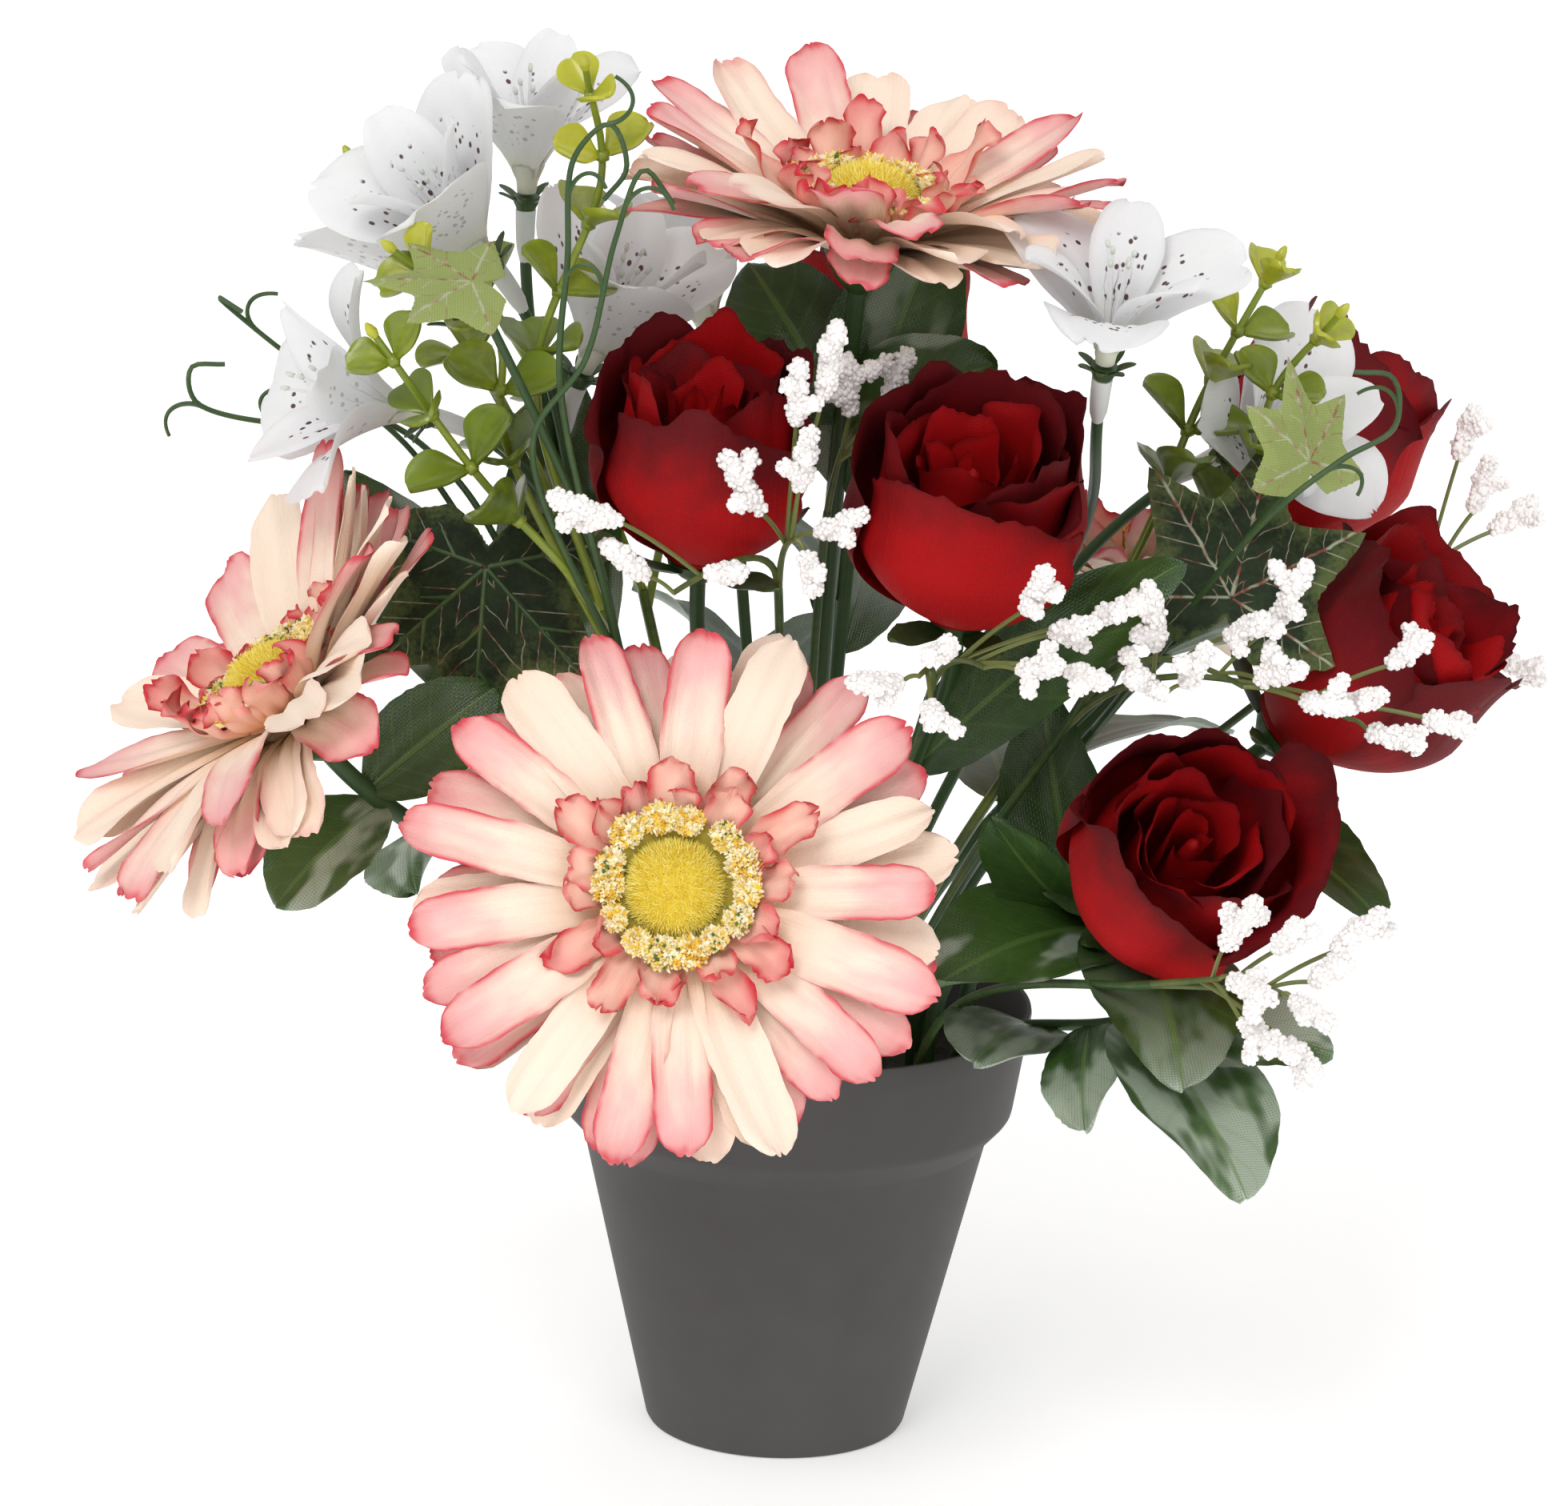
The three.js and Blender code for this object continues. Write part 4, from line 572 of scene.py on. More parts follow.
@dataclass
class Blades:
    """A number of petals or leaves, each an arc from a root to a tip with a face to one side.

    Attributes:
        root: Points where they start.
        tip: Points where they end.
        facing: Directions that they face.
        width: Widths.
        arch: Turns from root to tip, in degrees.
        tone: Draws for the colour.
        seed: Draws for the form.
    """

    root: np.ndarray
    tip: np.ndarray
    facing: np.ndarray
    width: np.ndarray
    arch: np.ndarray
    tone: np.ndarray
    seed: np.ndarray

    @staticmethod
    def of(rows: Sequence[tuple], seed: float = 0.0) -> "Blades":
        """Makes blades from a table.

        Args:
            rows: Root, tip, facing, width and arch of each.
            seed: Draw of the first.

        Returns:
            The blades.
        """
        root, tip, facing, width, arch = (np.array([row[k] for row in rows], float) for k in range(5))
        seeds = seed + np.arange(len(rows)) * 1.7
        return Blades(root, tip, facing, width, arch, hashed(seeds + 0.31), seeds)

    def draw(self, skin: Skin, cut: Cut, slot: int = 0) -> None:
        """Adds the blades to a skin.

        A midrib point lies on a circular arc: with slope = a/2 - a t, it is length (sin a/2 - sin slope) / a
        along the chord and length (cos slope - cos a/2) / a off it. A point across it adds the half-width
        times u sideways, and along the arc's normal the cup times u squared, folds as a cosine of u, and
        waves as a sine of t that grow towards the edges. The tip's sides lie back by crown x |u|^2.4.

        Args:
            skin: Skin that takes the shells.
            cut: Cut of the blades.
            slot: Material slot.
        """
        count = len(self.root)
        chord = self.tip - self.root
        ahead = unit(chord)
        face = unit(self.facing - ahead * np.einsum("ij,ij->i", self.facing, ahead)[:, None])
        across = np.cross(ahead, face)
        angle = np.radians(np.where(np.abs(self.arch) < 0.5, 0.5, self.arch))
        length = np.linalg.norm(chord, axis=1) * (angle / 2) / np.sin(angle / 2)

        def per(value: np.ndarray) -> np.ndarray:
            """Values a blade, for its grid."""
            return value[:, None, None]

        u = np.linspace(-1, 1, cut.cols)[None, None, :]
        v = 1 - (1 - np.linspace(0, 1, cut.rows)[None, :, None]) ** 1.25
        seed = per(self.seed)
        lobes = bell(u - 0.5 * stray(seed), 0.14) + 0.7 * bell(u - 0.45 - 0.3 * hashed(seed + 5), 0.12)
        back = cut.crown * v**5 * np.abs(u) ** 2.4 + cut.notch * (0.4 + 0.9 * hashed(seed + 2)) * v**9 * lobes
        t = v - back
        slope = per(angle) / 2 - per(angle) * t
        run = per(length) * (np.sin(per(angle) / 2) - np.sin(slope)) / per(angle)
        rise = per(length) * (np.cos(slope) - np.cos(per(angle) / 2)) / per(angle)
        half = per(self.width) / 2 * cut.outline.width(v)
        rim = (np.abs(u) > 0.999) | (v > 0.999)
        ragged = cut.teeth * (hashed(seed * 3 + v * 91.7 + u * 13.1) - 0.6) * rim
        half = half + ragged
        phase = FULL_PHASE * hashed(seed + 9)
        swell = np.sin(np.pi * np.clip(v, 0, 1)) ** 0.6
        lift = cut.cup * half * u**2
        lift = lift + cut.crease * np.cos(np.pi * cut.folds * u + 1.3 * stray(seed + 4)) * swell
        lift = lift + cut.wave * np.abs(u) ** 1.7 * np.sin(2 * np.pi * cut.waves * v + phase + 2 * u) * v
        lift = lift + cut.wave * 0.6 * v**4 * np.sin(3.4 * u + phase * 1.7)
        lift = lift + cut.curl * (hashed(seed + 6) - 0.35) * v**4
        turn = np.radians(cut.twist) * (2 * hashed(seed + 7) - 1) * v**1.5
        normal = (face[:, None, None] * np.cos(slope)[..., None]
                  - ahead[:, None, None] * np.sin(slope)[..., None])
        wide = half * u
        sideways = wide * np.cos(turn) - lift * np.sin(turn)
        upwards = wide * np.sin(turn) + lift * np.cos(turn)
        middle = (self.root[:, None, None] + ahead[:, None, None] * run[..., None]
                  + face[:, None, None] * rise[..., None] + across[:, None, None] * sideways[..., None]
                  + normal * upwards[..., None])
        full = np.broadcast_to
        grid = (count, cut.rows, cut.cols)
        flat = np.stack([full(wide, grid), full(per(length) * v, grid)], axis=-1)
        skin.shells(middle, cut.thick, slot, flat, along=full(v, grid), across=full(u, grid), tone=self.tone)


def spoke(turn: np.ndarray, elevation: np.ndarray) -> np.ndarray:
    """Unit directions at angles round a bloom's axis and elevations above its plane."""
    return polar(np.cos(elevation), turn, np.sin(elevation))


def bloom_blades(seat: Seat, turn: np.ndarray, root: float, level: float, length: np.ndarray,
                 lift: np.ndarray, bend: np.ndarray, width: np.ndarray, tone: np.ndarray,
                 seed: np.ndarray) -> Blades:
    """Blades that start round a bloom's axis, each with a lift at its root and a bend.

    Args:
        seat: Placing of the bloom.
        turn: Angle of each blade round the axis, in radians.
        root: Radius of the roots.
        level: Height of the roots.
        length: Lengths.
        lift: Slopes at the root, in degrees.
        bend: Turns from root to tip, in degrees.
        width: Widths.
        tone: Draws for the colour.
        seed: Draws for the form.

    Returns:
        The blades.
    """
    turn = np.asarray(turn, float)
    ones = np.ones_like(turn)
    bend = np.asarray(bend, float) * ones
    angle = np.radians(np.where(np.abs(bend) < 0.5, 0.5, bend))
    chord = np.asarray(length) * np.sin(angle / 2) / (angle / 2)
    slope = np.radians(np.asarray(lift, float) * ones) - angle / 2
    base = polar(root, turn, level)
    tip = base + spoke(turn, slope) * chord[:, None]
    facing = spoke(turn, slope + np.pi / 2)
    return Blades(seat.place(base), seat.place(tip), seat.turn(facing), np.asarray(width) * ones,
                  np.degrees(angle), np.asarray(tone) * ones, np.asarray(seed) * ones)


# ---------------------------------------------------------------- shader trees


def paint(text: str) -> tuple[float, float, float, float]:
    """Linear colour of a screen colour such as #a0b0c0."""
    values = [int(text[k:k + 2], 16) / 255 for k in (1, 3, 5)]
    return (*(v / 12.92 if v <= 0.04045 else ((v + 0.055) / 1.055) ** 2.4 for v in values), 1.0)


@dataclass(frozen=True)
class Value:
    """What a shader tree works out at an output, for use in sums."""

    tree: "Tree"
    socket: bpy.types.NodeSocket

    def __add__(self, other: object) -> "Value":
        """This plus another."""
        return self.tree.math("ADD", self, other)

    def __radd__(self, other: object) -> "Value":
        """Another plus this."""
        return self.tree.math("ADD", other, self)

    def __sub__(self, other: object) -> "Value":
        """This less another."""
        return self.tree.math("SUBTRACT", self, other)

    def __rsub__(self, other: object) -> "Value":
        """Another less this."""
        return self.tree.math("SUBTRACT", other, self)

    def __mul__(self, other: object) -> "Value":
        """This times another."""
        return self.tree.math("MULTIPLY", self, other)

    def __truediv__(self, other: object) -> "Value":
        """This divided by another."""
        return self.tree.math("DIVIDE", self, other)

    def __rtruediv__(self, other: object) -> "Value":
        """Another divided by this."""
        return self.tree.math("DIVIDE", other, self)

    def __abs__(self) -> "Value":
        """This without its sign."""
        return self.tree.math("ABSOLUTE", self)


Results = dict[str, Value]


class Tree:
    """Short calls that add nodes to a shader tree and join them."""

    def __init__(self, tree: bpy.types.NodeTree) -> None:
        """Keeps the tree."""
        self.tree = tree

    def node(self, kind: str, **settings: object) -> bpy.types.Node:
        """Adds a node.

        Args:
            kind: Kind of node.
            settings: Its settings by name.

        Returns:
            The node.
        """
        made = self.tree.nodes.new(kind)
        for name, value in settings.items():
            setattr(made, name, value)
        return made

    def feed(self, socket: bpy.types.NodeSocket, value: object) -> None:
        """Joins a socket to what the tree works out, or sets its value.

        Args:
            socket: Input of a node.
            value: A value of the tree, a number, a vector or a screen colour.
        """
        if isinstance(value, Value):
            self.tree.links.new(value.socket, socket)
        else:
            socket.default_value = paint(value) if isinstance(value, str) else value

    def result(self, kind: str, inputs: dict, output: int | str = 0, **settings: object) -> Value:
        """Adds a node and feeds it.

        Args:
            kind: Kind of node.
            inputs: What each input takes, by its name or number.
            output: Name or number of the output that is wanted.
            settings: Settings of the node by name.

        Returns:
            The output.
        """
        made = self.node(kind, **settings)
        for name, value in inputs.items():
            self.feed(made.inputs[name], value)
        return Value(self, made.outputs[output])

    def math(self, operation: str, *values: object, clamp: bool = False) -> Value:
        """A sum on one to three values."""
        return self.result("ShaderNodeMath", dict(enumerate(values)), operation=operation, use_clamp=clamp)

    def most(self, first: object, second: object) -> Value:
        """The greater of two values."""
        return self.math("MAXIMUM", first, second)

    def ease(self, value: object, low: object, high: object) -> Value:
        """Eased step from 0 at low to 1 at high."""
        ends = {"Value": value, "From Min": low, "From Max": high}
        return self.result("ShaderNodeMapRange", ends, interpolation_type="SMOOTHSTEP")

    def fall(self, value: object, low: object, high: object) -> Value:
        """Eased step from 1 at low to 0 at high."""
        return 1.0 - self.ease(value, low, high)

    def mix(self, share: object, first: object, second: object, blend: str = "MIX") -> Value:
        """A colour between two."""
        ends = {0: share, 6: first, 7: second}
        return self.result("ShaderNodeMix", ends, 2, data_type="RGBA", blend_type=blend)

    def mark(self, name: str) -> Value:
        """A mark of the mesh."""
        return self.result("ShaderNodeAttribute", {}, "Fac", attribute_name=name)

    def cloth(self) -> Value:
        """Place in the flat cloth, in millimetres."""
        return self.result("ShaderNodeUVMap", {}, "UV", uv_map="cloth")

    def place(self) -> Value:
        """Place in the object, in metres."""
        return self.result("ShaderNodeTexCoord", {}, "Object")

    def noise(self, vector: object, scale: object, detail: float = 2.0) -> Value:
        """Cloudy noise from about 0.3 to 0.7."""
        return self.result("ShaderNodeTexNoise", {"Vector": vector, "Scale": scale, "Detail": detail}, "Fac")

    def split(self, vector: Value) -> tuple[Value, Value, Value]:
        """Parts of a vector."""
        first = self.result("ShaderNodeSeparateXYZ", {0: vector})
        return first, *(Value(self, first.socket.node.outputs[k]) for k in (1, 2))

    def vector(self, x: object, y: object, z: object = 0.0) -> Value:
        """A vector from its parts."""
        return self.result("ShaderNodeCombineXYZ", {0: x, 1: y, 2: z})

    def effect(self, effect: "Effect", **inputs: object) -> Results:
        """Places a shared effect.

        Args:
            effect: The effect.
            inputs: What each of its inputs takes.

        Returns:
            Its outputs by name.
        """
        made = self.node("ShaderNodeGroup", node_tree=effect.group())
        for name, value in inputs.items():
            self.feed(made.inputs[name], value)
        return {socket.name: Value(self, socket) for socket in made.outputs}


class Effect(Enum):
    """Shared shader effects, each a node group with named inputs and outputs."""

    WEAVE = "cloth_weave"
    PRESS = "pressed_creases"
    TINT = "petal_tint"
    VEINS = "leaf_veins"
    SPECKS = "throat_specks"
    IVY = "ivy_veins"
    MOTTLE = "mottle"

    def group(self) -> bpy.types.NodeTree:
        """Finds the effect's node group, or builds it at its first use.

        Returns:
            The group.
        """
        if self.value in bpy.data.node_groups:
            return bpy.data.node_groups[self.value]
        build, names = EFFECTS[self]
        group = bpy.data.node_groups.new(self.value, "ShaderNodeTree")
        for name in names:
            kind = "NodeSocketVector" if name in ("Cloth", "Vector") else "NodeSocketFloat"
            group.interface.new_socket(name=name, in_out="INPUT", socket_type=kind)
        tree = Tree(group)
        entry = tree.node("NodeGroupInput")
        results = build(tree, **{name.lower(): Value(tree, entry.outputs[name]) for name in names})
        for name in results:
            group.interface.new_socket(name=name, in_out="OUTPUT", socket_type="NodeSocketFloat")
        end = tree.node("NodeGroupOutput")
        for name, value in results.items():
            tree.feed(end.inputs[name], value)
        return group


def weave(tree: Tree, cloth: Value, pitch: Value) -> Results:
    """Plain weave: threads |sin x| and |sin y| of half a turn a pitch, x over y where cos x cos y is high.

    Args:
        tree: Tree of the group.
        cloth: Place in the flat cloth.
        pitch: Distance of the threads.

    Returns:
        Height of the threads.
    """
    turn = math.pi / pitch
    x, y, _ = tree.split(cloth)
    x, y = x * turn, y * turn
    over = tree.ease(tree.math("COSINE", x) * tree.math("COSINE", y), -0.5, 0.5)
    return {"Height": abs(tree.math("SINE", x)) * over + abs(tree.math("SINE", y)) * (1.0 - over)}


def press(tree: Tree, cloth: Value, tone: Value) -> Results:
    """Lengthwise creases: noise drawn out along the cloth's length, fine and broad.

    Args:
        tree: Tree of the group.
        cloth: Place in the flat cloth.
        tone: Draw of the petal, which shifts its creases.

    Returns:
        Height of the creases.
    """
    x, y, _ = tree.split(cloth)
    shift = tone * 57.0
    broad = tree.noise(tree.vector(x * 0.55, y * 0.03, shift), 1.0)
    fine = tree.noise(tree.vector(x * 2.2, y * 0.08, shift), 1.0)
    return {"Height": broad + fine * 0.35}


def tint(tree: Tree, along: Value, across: Value, tone: Value, cloth: Value, start: Value, end: Value,
         edge: Value) -> Results:
    """Dye from the tip and along the rim: steps of the place along and across, shifted by soft noise.

    Args:
        tree: Tree of the group.
        along: Place from root to tip.
        across: Place from side to side.
        tone: Draw of the petal, which shifts its noise.
        cloth: Place in the flat cloth.
        start: Place along where the dye starts.
        end: Place along where it is full.
        edge: Width of the rim's dye, as a share of the half-width.

    Returns:
        Shares of the tip's and the rim's dye.
    """
    x, y, _ = tree.split(cloth)
    shift = tone * 91.0
    cloud = tree.noise(tree.vector(x * 0.2, y * 0.07, shift), 1.0)
    tip = tree.ease(along + (cloud - 0.5) * 0.55, start, end)
    side, upper = abs(across), tree.ease(along, 0.3, 0.7)

    def band(share: float, last: float) -> Value:
        """Step up to the rim over a share of the edge's width, at the sides and at the tip."""
        beside = tree.ease(side, 1.0 - edge * share, last) * upper
        return tree.most(beside, tree.ease(along, 1.0 - edge * (share * 0.3), 0.6 + 0.4 * last))

    rim = band(2.7, 1.0) * 0.4 + band(1.0, 0.99) * 0.6
    rough = 0.4 + tree.ease(tree.noise(tree.vector(x, y, shift), 0.13), 0.25, 0.55) * 0.6
    return {"Tip": tip, "Rim": rim * rough}


def veins(tree: Tree, along: Value, across: Value, count: Value, slant: Value) -> Results:
    """A leaf's ribs: a middle line, and side lines where along x count - |across| x slant ends in a half.

    Args:
        tree: Tree of the group.
        along: Place from root to tip.
        across: Place from side to side.
        count: Side ribs from root to tip.
        slant: How far they run on towards the tip.

    Returns:
        Masks of the middle rib and the side ribs.
    """
    edge = abs(across)
    off = abs(tree.math("FRACT", along * count - edge * slant) - 0.5)
    return {"Middle": tree.fall(edge, 0.02, 0.09), "Side": tree.fall(off, 0.02, 0.11)}


def specks(tree: Tree, cloth: Value, along: Value, across: Value, tone: Value) -> Results:
    """Print of a throat: dashes near the middles of drawn-out cells, and lines below where a wavy sine is 0.

    Args:
        tree: Tree of the group.
        cloth: Place in the flat cloth.
        along: Place from root to tip.
        across: Place from side to side.
        tone: Draw of the petal, which shifts its print.

    Returns:
        Masks of the dashes and the lines, each in its patch of the petal.
    """
    x, y, _ = tree.split(cloth)
    shift = tone * 31.0
    place = {"Vector": tree.vector(x * 0.46, y * 0.34, shift), "Scale": 1.0}
    dots = tree.fall(tree.result("ShaderNodeTexVoronoi", place, "Distance", feature="F1"), 0.22, 0.32)
    edge = abs(across)
    patch = tree.ease(along, 0.24, 0.36) * tree.fall(along, 0.6, 0.8) * tree.fall(edge, 0.3, 0.72)
    bent = across * 8.0 + tree.noise(tree.vector(0.0, y * 0.2, shift), 1.0) * 2.0
    lines = tree.fall(abs(tree.math("SINE", bent)), 0.05, 0.26)
    near = tree.ease(along, 0.1, 0.2) * tree.fall(along, 0.34, 0.6) * tree.fall(edge, 0.35, 0.7)
    return {"Dash": dots * tree.ease(patch, 0.2, 0.4), "Line": lines * near}


def ivy(tree: Tree, cloth: Value, step: Value) -> Results:
    """Ribs from the stalk at three angles on both sides, and side veins that leave each rib aslant.

    For each rib, a is the distance along it and p the distance from it. The rib is where p is small, and
    a side vein where a - p is half-way between whole steps, inside the wedge where p is less than 0.42 a.

    Args:
        tree: Tree of the group.
        cloth: Place in the flat cloth.
        step: Distance of the side veins.

    Returns:
        Masks of the ribs and the side veins.
    """
    x, y, _ = tree.split(cloth)
    y = abs(y) + (tree.noise(cloth, 0.16) - 0.5) * 3.0
    ribs: Value | float = 0.0
    lines: Value | float = 0.0
    for degrees in IVY_RIBS:
        c, s = math.cos(math.radians(degrees)), math.sin(math.radians(degrees))
        a, p = x * c + y * s, abs(y * c - x * s)
        ahead = tree.ease(a, 0.0, 1.0)
        off = abs(tree.math("FRACT", (a - p) / step) - 0.5) * step
        inside = tree.fall(p / tree.most(a, 0.1), 0.38, 0.46)
        ribs = tree.most(ribs, ahead * tree.fall(p, 0.1, 0.5))
        lines = tree.most(lines, inside * tree.fall(off, 0.05, 0.3) * ahead)
    return {"Rib": ribs, "Vein": lines}


def mottle(tree: Tree, vector: Value, scale: Value) -> Results:
    """Uneven dye or gloss: the sum of broad and fine noise, spread to the range from 0 to 1."""
    both = tree.noise(vector, scale, 3.0) * 0.65 + tree.noise(vector, scale * 5.0, 2.0) * 0.35
    return {"Value": tree.ease(both, 0.3, 0.7)}


IVY_RIBS = (0, 46, 106)
EFFECTS: dict[Effect, tuple[Callable[..., Results], tuple[str, ...]]] = {
    Effect.WEAVE: (weave, ("Cloth", "Pitch")),
    Effect.PRESS: (press, ("Cloth", "Tone")),
    Effect.TINT: (tint, ("Along", "Across", "Tone", "Cloth", "Start", "End", "Edge")),
    Effect.VEINS: (veins, ("Along", "Across", "Count", "Slant")),
    Effect.SPECKS: (specks, ("Cloth", "Along", "Across", "Tone")),
    Effect.IVY: (ivy, ("Cloth", "Step")),
    Effect.MOTTLE: (mottle, ("Vector", "Scale")),
}


# ---------------------------------------------------------------- finishes

SCATTER = (0.003, 0.003, 0.003)


@dataclass(frozen=True)
class Finish:
    """A material on one surface shader; subclasses give its colour and relief.

    Attributes:
        name: Name of the material.
        roughness: Roughness of the surface.
        specular: Specular level.
        relief: Strength of the relief.
        depth: Depth of the relief in metres.
        glow: Share of light that scatters under the surface.
    """

    name: str
    roughness: float = 0.75
    specular: float = 0.4
    relief: float = 0.5
    depth: float = 0.0003
    glow: float = 0.0

    def colour(self, tree: Tree) -> object:
        """Colour of the surface."""
        return "#808080"

    def height(self, tree: Tree) -> Value | None:
        """Height of the relief, from 0 to about 1, or None."""
        return None

    def cloud(self, tree: Tree, scale: float) -> Value:
        """Mottling over the object at a scale a metre."""
        return tree.effect(Effect.MOTTLE, Vector=tree.place(), Scale=scale)["Value"]

    def material(self) -> bpy.types.Material:
        """Finds the Blender material, or makes it at its first use.

        Returns:
            The material.
        """
        name = "dressed_" + self.name
        if name in bpy.data.materials:
            return bpy.data.materials[name]
        made = bpy.data.materials.new(name)
        made.use_nodes = True
        tree = Tree(made.node_tree)
        surface = made.node_tree.nodes["Principled BSDF"].inputs
        constants = {
            "Roughness": self.roughness, "Specular IOR Level": self.specular,
            "Subsurface Weight": self.glow, "Subsurface Radius": SCATTER, "Subsurface Scale": 1.0,
        }
        for name, value in constants.items():
            surface[name].default_value = value
        tree.feed(surface["Base Color"], self.colour(tree))
        height = self.height(tree)
        if height is not None:
            bump = {"Strength": self.relief, "Distance": self.depth, "Height": height}
            tree.feed(surface["Normal"], tree.result("ShaderNodeBump", bump, "Normal"))
        return made


@dataclass(frozen=True)
class Cloth(Finish):
    """Woven and pressed cloth.

    Attributes:
        pitch: Distance of the threads in millimetres.
        threads: Share of the threads in the relief.
        creases: Share of the creases in the relief.
    """

    pitch: float = 0.5
    threads: float = 0.5
    creases: float = 1.0

    def weave(self, tree: Tree) -> Value:
        """Height of the threads."""
        return tree.effect(Effect.WEAVE, Cloth=tree.cloth(), Pitch=self.pitch)["Height"]

    def height(self, tree: Tree) -> Value:
        """Threads and lengthwise creases."""
        creases = tree.effect(Effect.PRESS, Cloth=tree.cloth(), Tone=tree.mark("tone"))["Height"]
        return self.weave(tree) * self.threads + creases * self.creases

    def thread_shaded(self, tree: Tree, colour: object, shade: float) -> Value:
        """A colour with painted shade in the gaps between the threads, where it is multiplied by the shade."""
        dark = tree.mix(1.0, colour, (shade, shade, shade, 1.0), "MULTIPLY")
        return tree.mix(tree.ease(self.weave(tree), 0.1, 0.6), dark, colour)

    def dyed(self, tree: Tree, cloth: Value, start: Value, reach: float, edge: float) -> Results:
        """Places the dye of a petal.

        Args:
            tree: Tree of the material.
            cloth: Place in the flat cloth, for the noise.
            start: Place along where the tip's dye starts.
            reach: How far on it is full.
            edge: Width of the rim's dye.

        Returns:
            Shares of the tip's and the rim's dye.
        """
        return tree.effect(Effect.TINT, Along=tree.mark("along"), Across=tree.mark("across"),
                           Tone=tree.mark("tone"), Cloth=cloth, Start=start, End=start + reach, Edge=edge)


@dataclass(frozen=True)
class PetalCloth(Cloth):
    """Cream cloth dyed pink from the tip on some petals, and rose along the rim.

    Attributes:
        base: Colour of the cloth.
        dye: Colour of the tip's dye.
        rim: Colour of the rim's dye.
        root: Colour at the root.
        edged: Strength of the rim's dye on petals that aren't dyed.
        edge: Width of the rim's dye.
    """

    base: str = "#ffebd7"
    dye: str = "#f6bcb8"
    rim: str = "#d84c58"
    root: str = "#f9dab4"
    edged: float = 0.06
    edge: float = 0.2

    def colour(self, tree: Tree) -> Value:
        """Cream to pink to rose, with a warm root.

        Args:
            tree: Tree of the material.

        Returns:
            The colour.
        """
        dyed = tree.ease(tree.mark("tone"), 0.36, 0.5)
        shares = self.dyed(tree, tree.cloth(), 0.98 - dyed * 0.54, 0.5, self.edge)
        warm = tree.mix(tree.ease(tree.mark("along"), 0.0, 0.5), self.root, self.base)
        pink = tree.mix(shares["Tip"], warm, self.dye)
        share = self.edged + dyed * (1.0 - self.edged)
        return self.thread_shaded(tree, tree.mix(shares["Rim"] * share, pink, self.rim), 0.93)


@dataclass(frozen=True)
class RoseCloth(Cloth):
    """Red cloth, burgundy on the upper part of some petals and along the rim."""

    inner: str = "#ad0a10"
    outer: str = "#651016"
    rim: str = "#48080d"

    def colour(self, tree: Tree) -> Value:
        """Red at the root, burgundy above where the tone is high.

        Args:
            tree: Tree of the material.

        Returns:
            The colour.
        """
        tone = tree.mark("tone")
        x, y, _ = tree.split(tree.cloth())
        shares = self.dyed(tree, tree.vector(x * 0.4, y * 1.2), 0.8 - tone * 0.75, 0.6, 0.1)
        red = tree.mix(shares["Tip"] * tree.ease(tone, 0.0, 0.4), self.inner, self.outer)
        return self.thread_shaded(tree, tree.mix(shares["Rim"] * 0.5, red, self.rim), 0.66)


@dataclass(frozen=True)
class TrumpetCloth(Cloth):
    """White cloth with brown dashes and lines towards the throat."""

    base: str = "#ebebec"
    throat: str = "#e3e4cf"
    speck: str = "#45282b"

    def colour(self, tree: Tree) -> Value:
        """White with a greenish throat and printed specks, fainter on the back.

        Args:
            tree: Tree of the material.

        Returns:
            The colour.
        """
        tone, along = tree.mark("tone"), tree.mark("along")
        marks = tree.effect(Effect.SPECKS, Cloth=tree.cloth(), Along=along, Across=tree.mark("across"),
                            Tone=tone)
        white = tree.mix(tree.ease(along, 0.0, 0.35), self.throat, self.base)
        printed = tree.most(marks["Dash"], marks["Line"] * tree.ease(tone, 0.3, 0.45) * 0.8)
        seen = 0.45 + tree.ease(tree.mark("side"), -0.2, 0.6) * 0.55
        return self.thread_shaded(tree, tree.mix(printed * seen, white, self.speck), 0.95)


@dataclass(frozen=True)
class LeafCloth(Cloth):
    """Green waxed cloth with faint ribs and uneven patches of painted highlight.

    Attributes:
        base: Lightest green.
        deep: Darkest green.
        rib: Colour of the ribs.
        painted_sheen: Colour of the painted highlight.
        low: Heights in metres between which the painted highlight on low leaves ends.
    """

    base: str = "#466829"
    deep: str = "#26421d"
    rib: str = "#638440"
    painted_sheen: str = "#bccab6"
    low: tuple[float, float] = (0.108, 0.15)

    def ribs(self, tree: Tree) -> Results:
        """Masks of the middle rib and seven side ribs."""
        along, across = tree.mark("along"), tree.mark("across")
        return tree.effect(Effect.VEINS, Along=along, Across=across, Count=7.0, Slant=1.6)

    def colour(self, tree: Tree) -> Value:
        """Mottled green, lighter on the ribs, with patches of painted highlight, mostly low down.

        Args:
            tree: Tree of the material.

        Returns:
            The colour.
        """
        tone, ribs = tree.mark("tone"), self.ribs(tree)
        green = tree.mix(self.cloud(tree, 45.0) * 0.5 + tone * 0.5, self.deep, self.base)
        x, y, _ = tree.split(tree.cloth())
        # Painted highlight: pale patches of drawn-out noise on leaves of high tone, and on every leaf low down.
        sheen_patches = tree.noise(tree.vector(x * 0.09, y * 0.04, tone * 37.0), 1.0)
        low = tree.fall(tree.split(tree.place())[2], *self.low)
        sheen_patches = tree.math("ADD", tree.ease(sheen_patches, 0.5, 0.6) * tree.ease(tone, 0.3, 0.9),
                         tree.ease(sheen_patches, 0.42, 0.56) * low, clamp=True)
        lines = tree.most(ribs["Middle"] * 0.6, ribs["Side"] * 0.14)
        return self.thread_shaded(tree, tree.mix(lines, tree.mix(sheen_patches * 0.72, green, self.painted_sheen), self.rib), 0.45)

    def height(self, tree: Tree) -> Value:
        """Threads, and ribs pressed in."""
        ribs = self.ribs(tree)
        return self.weave(tree) * self.threads + (ribs["Middle"] * -1.0 + ribs["Side"] * -0.2)


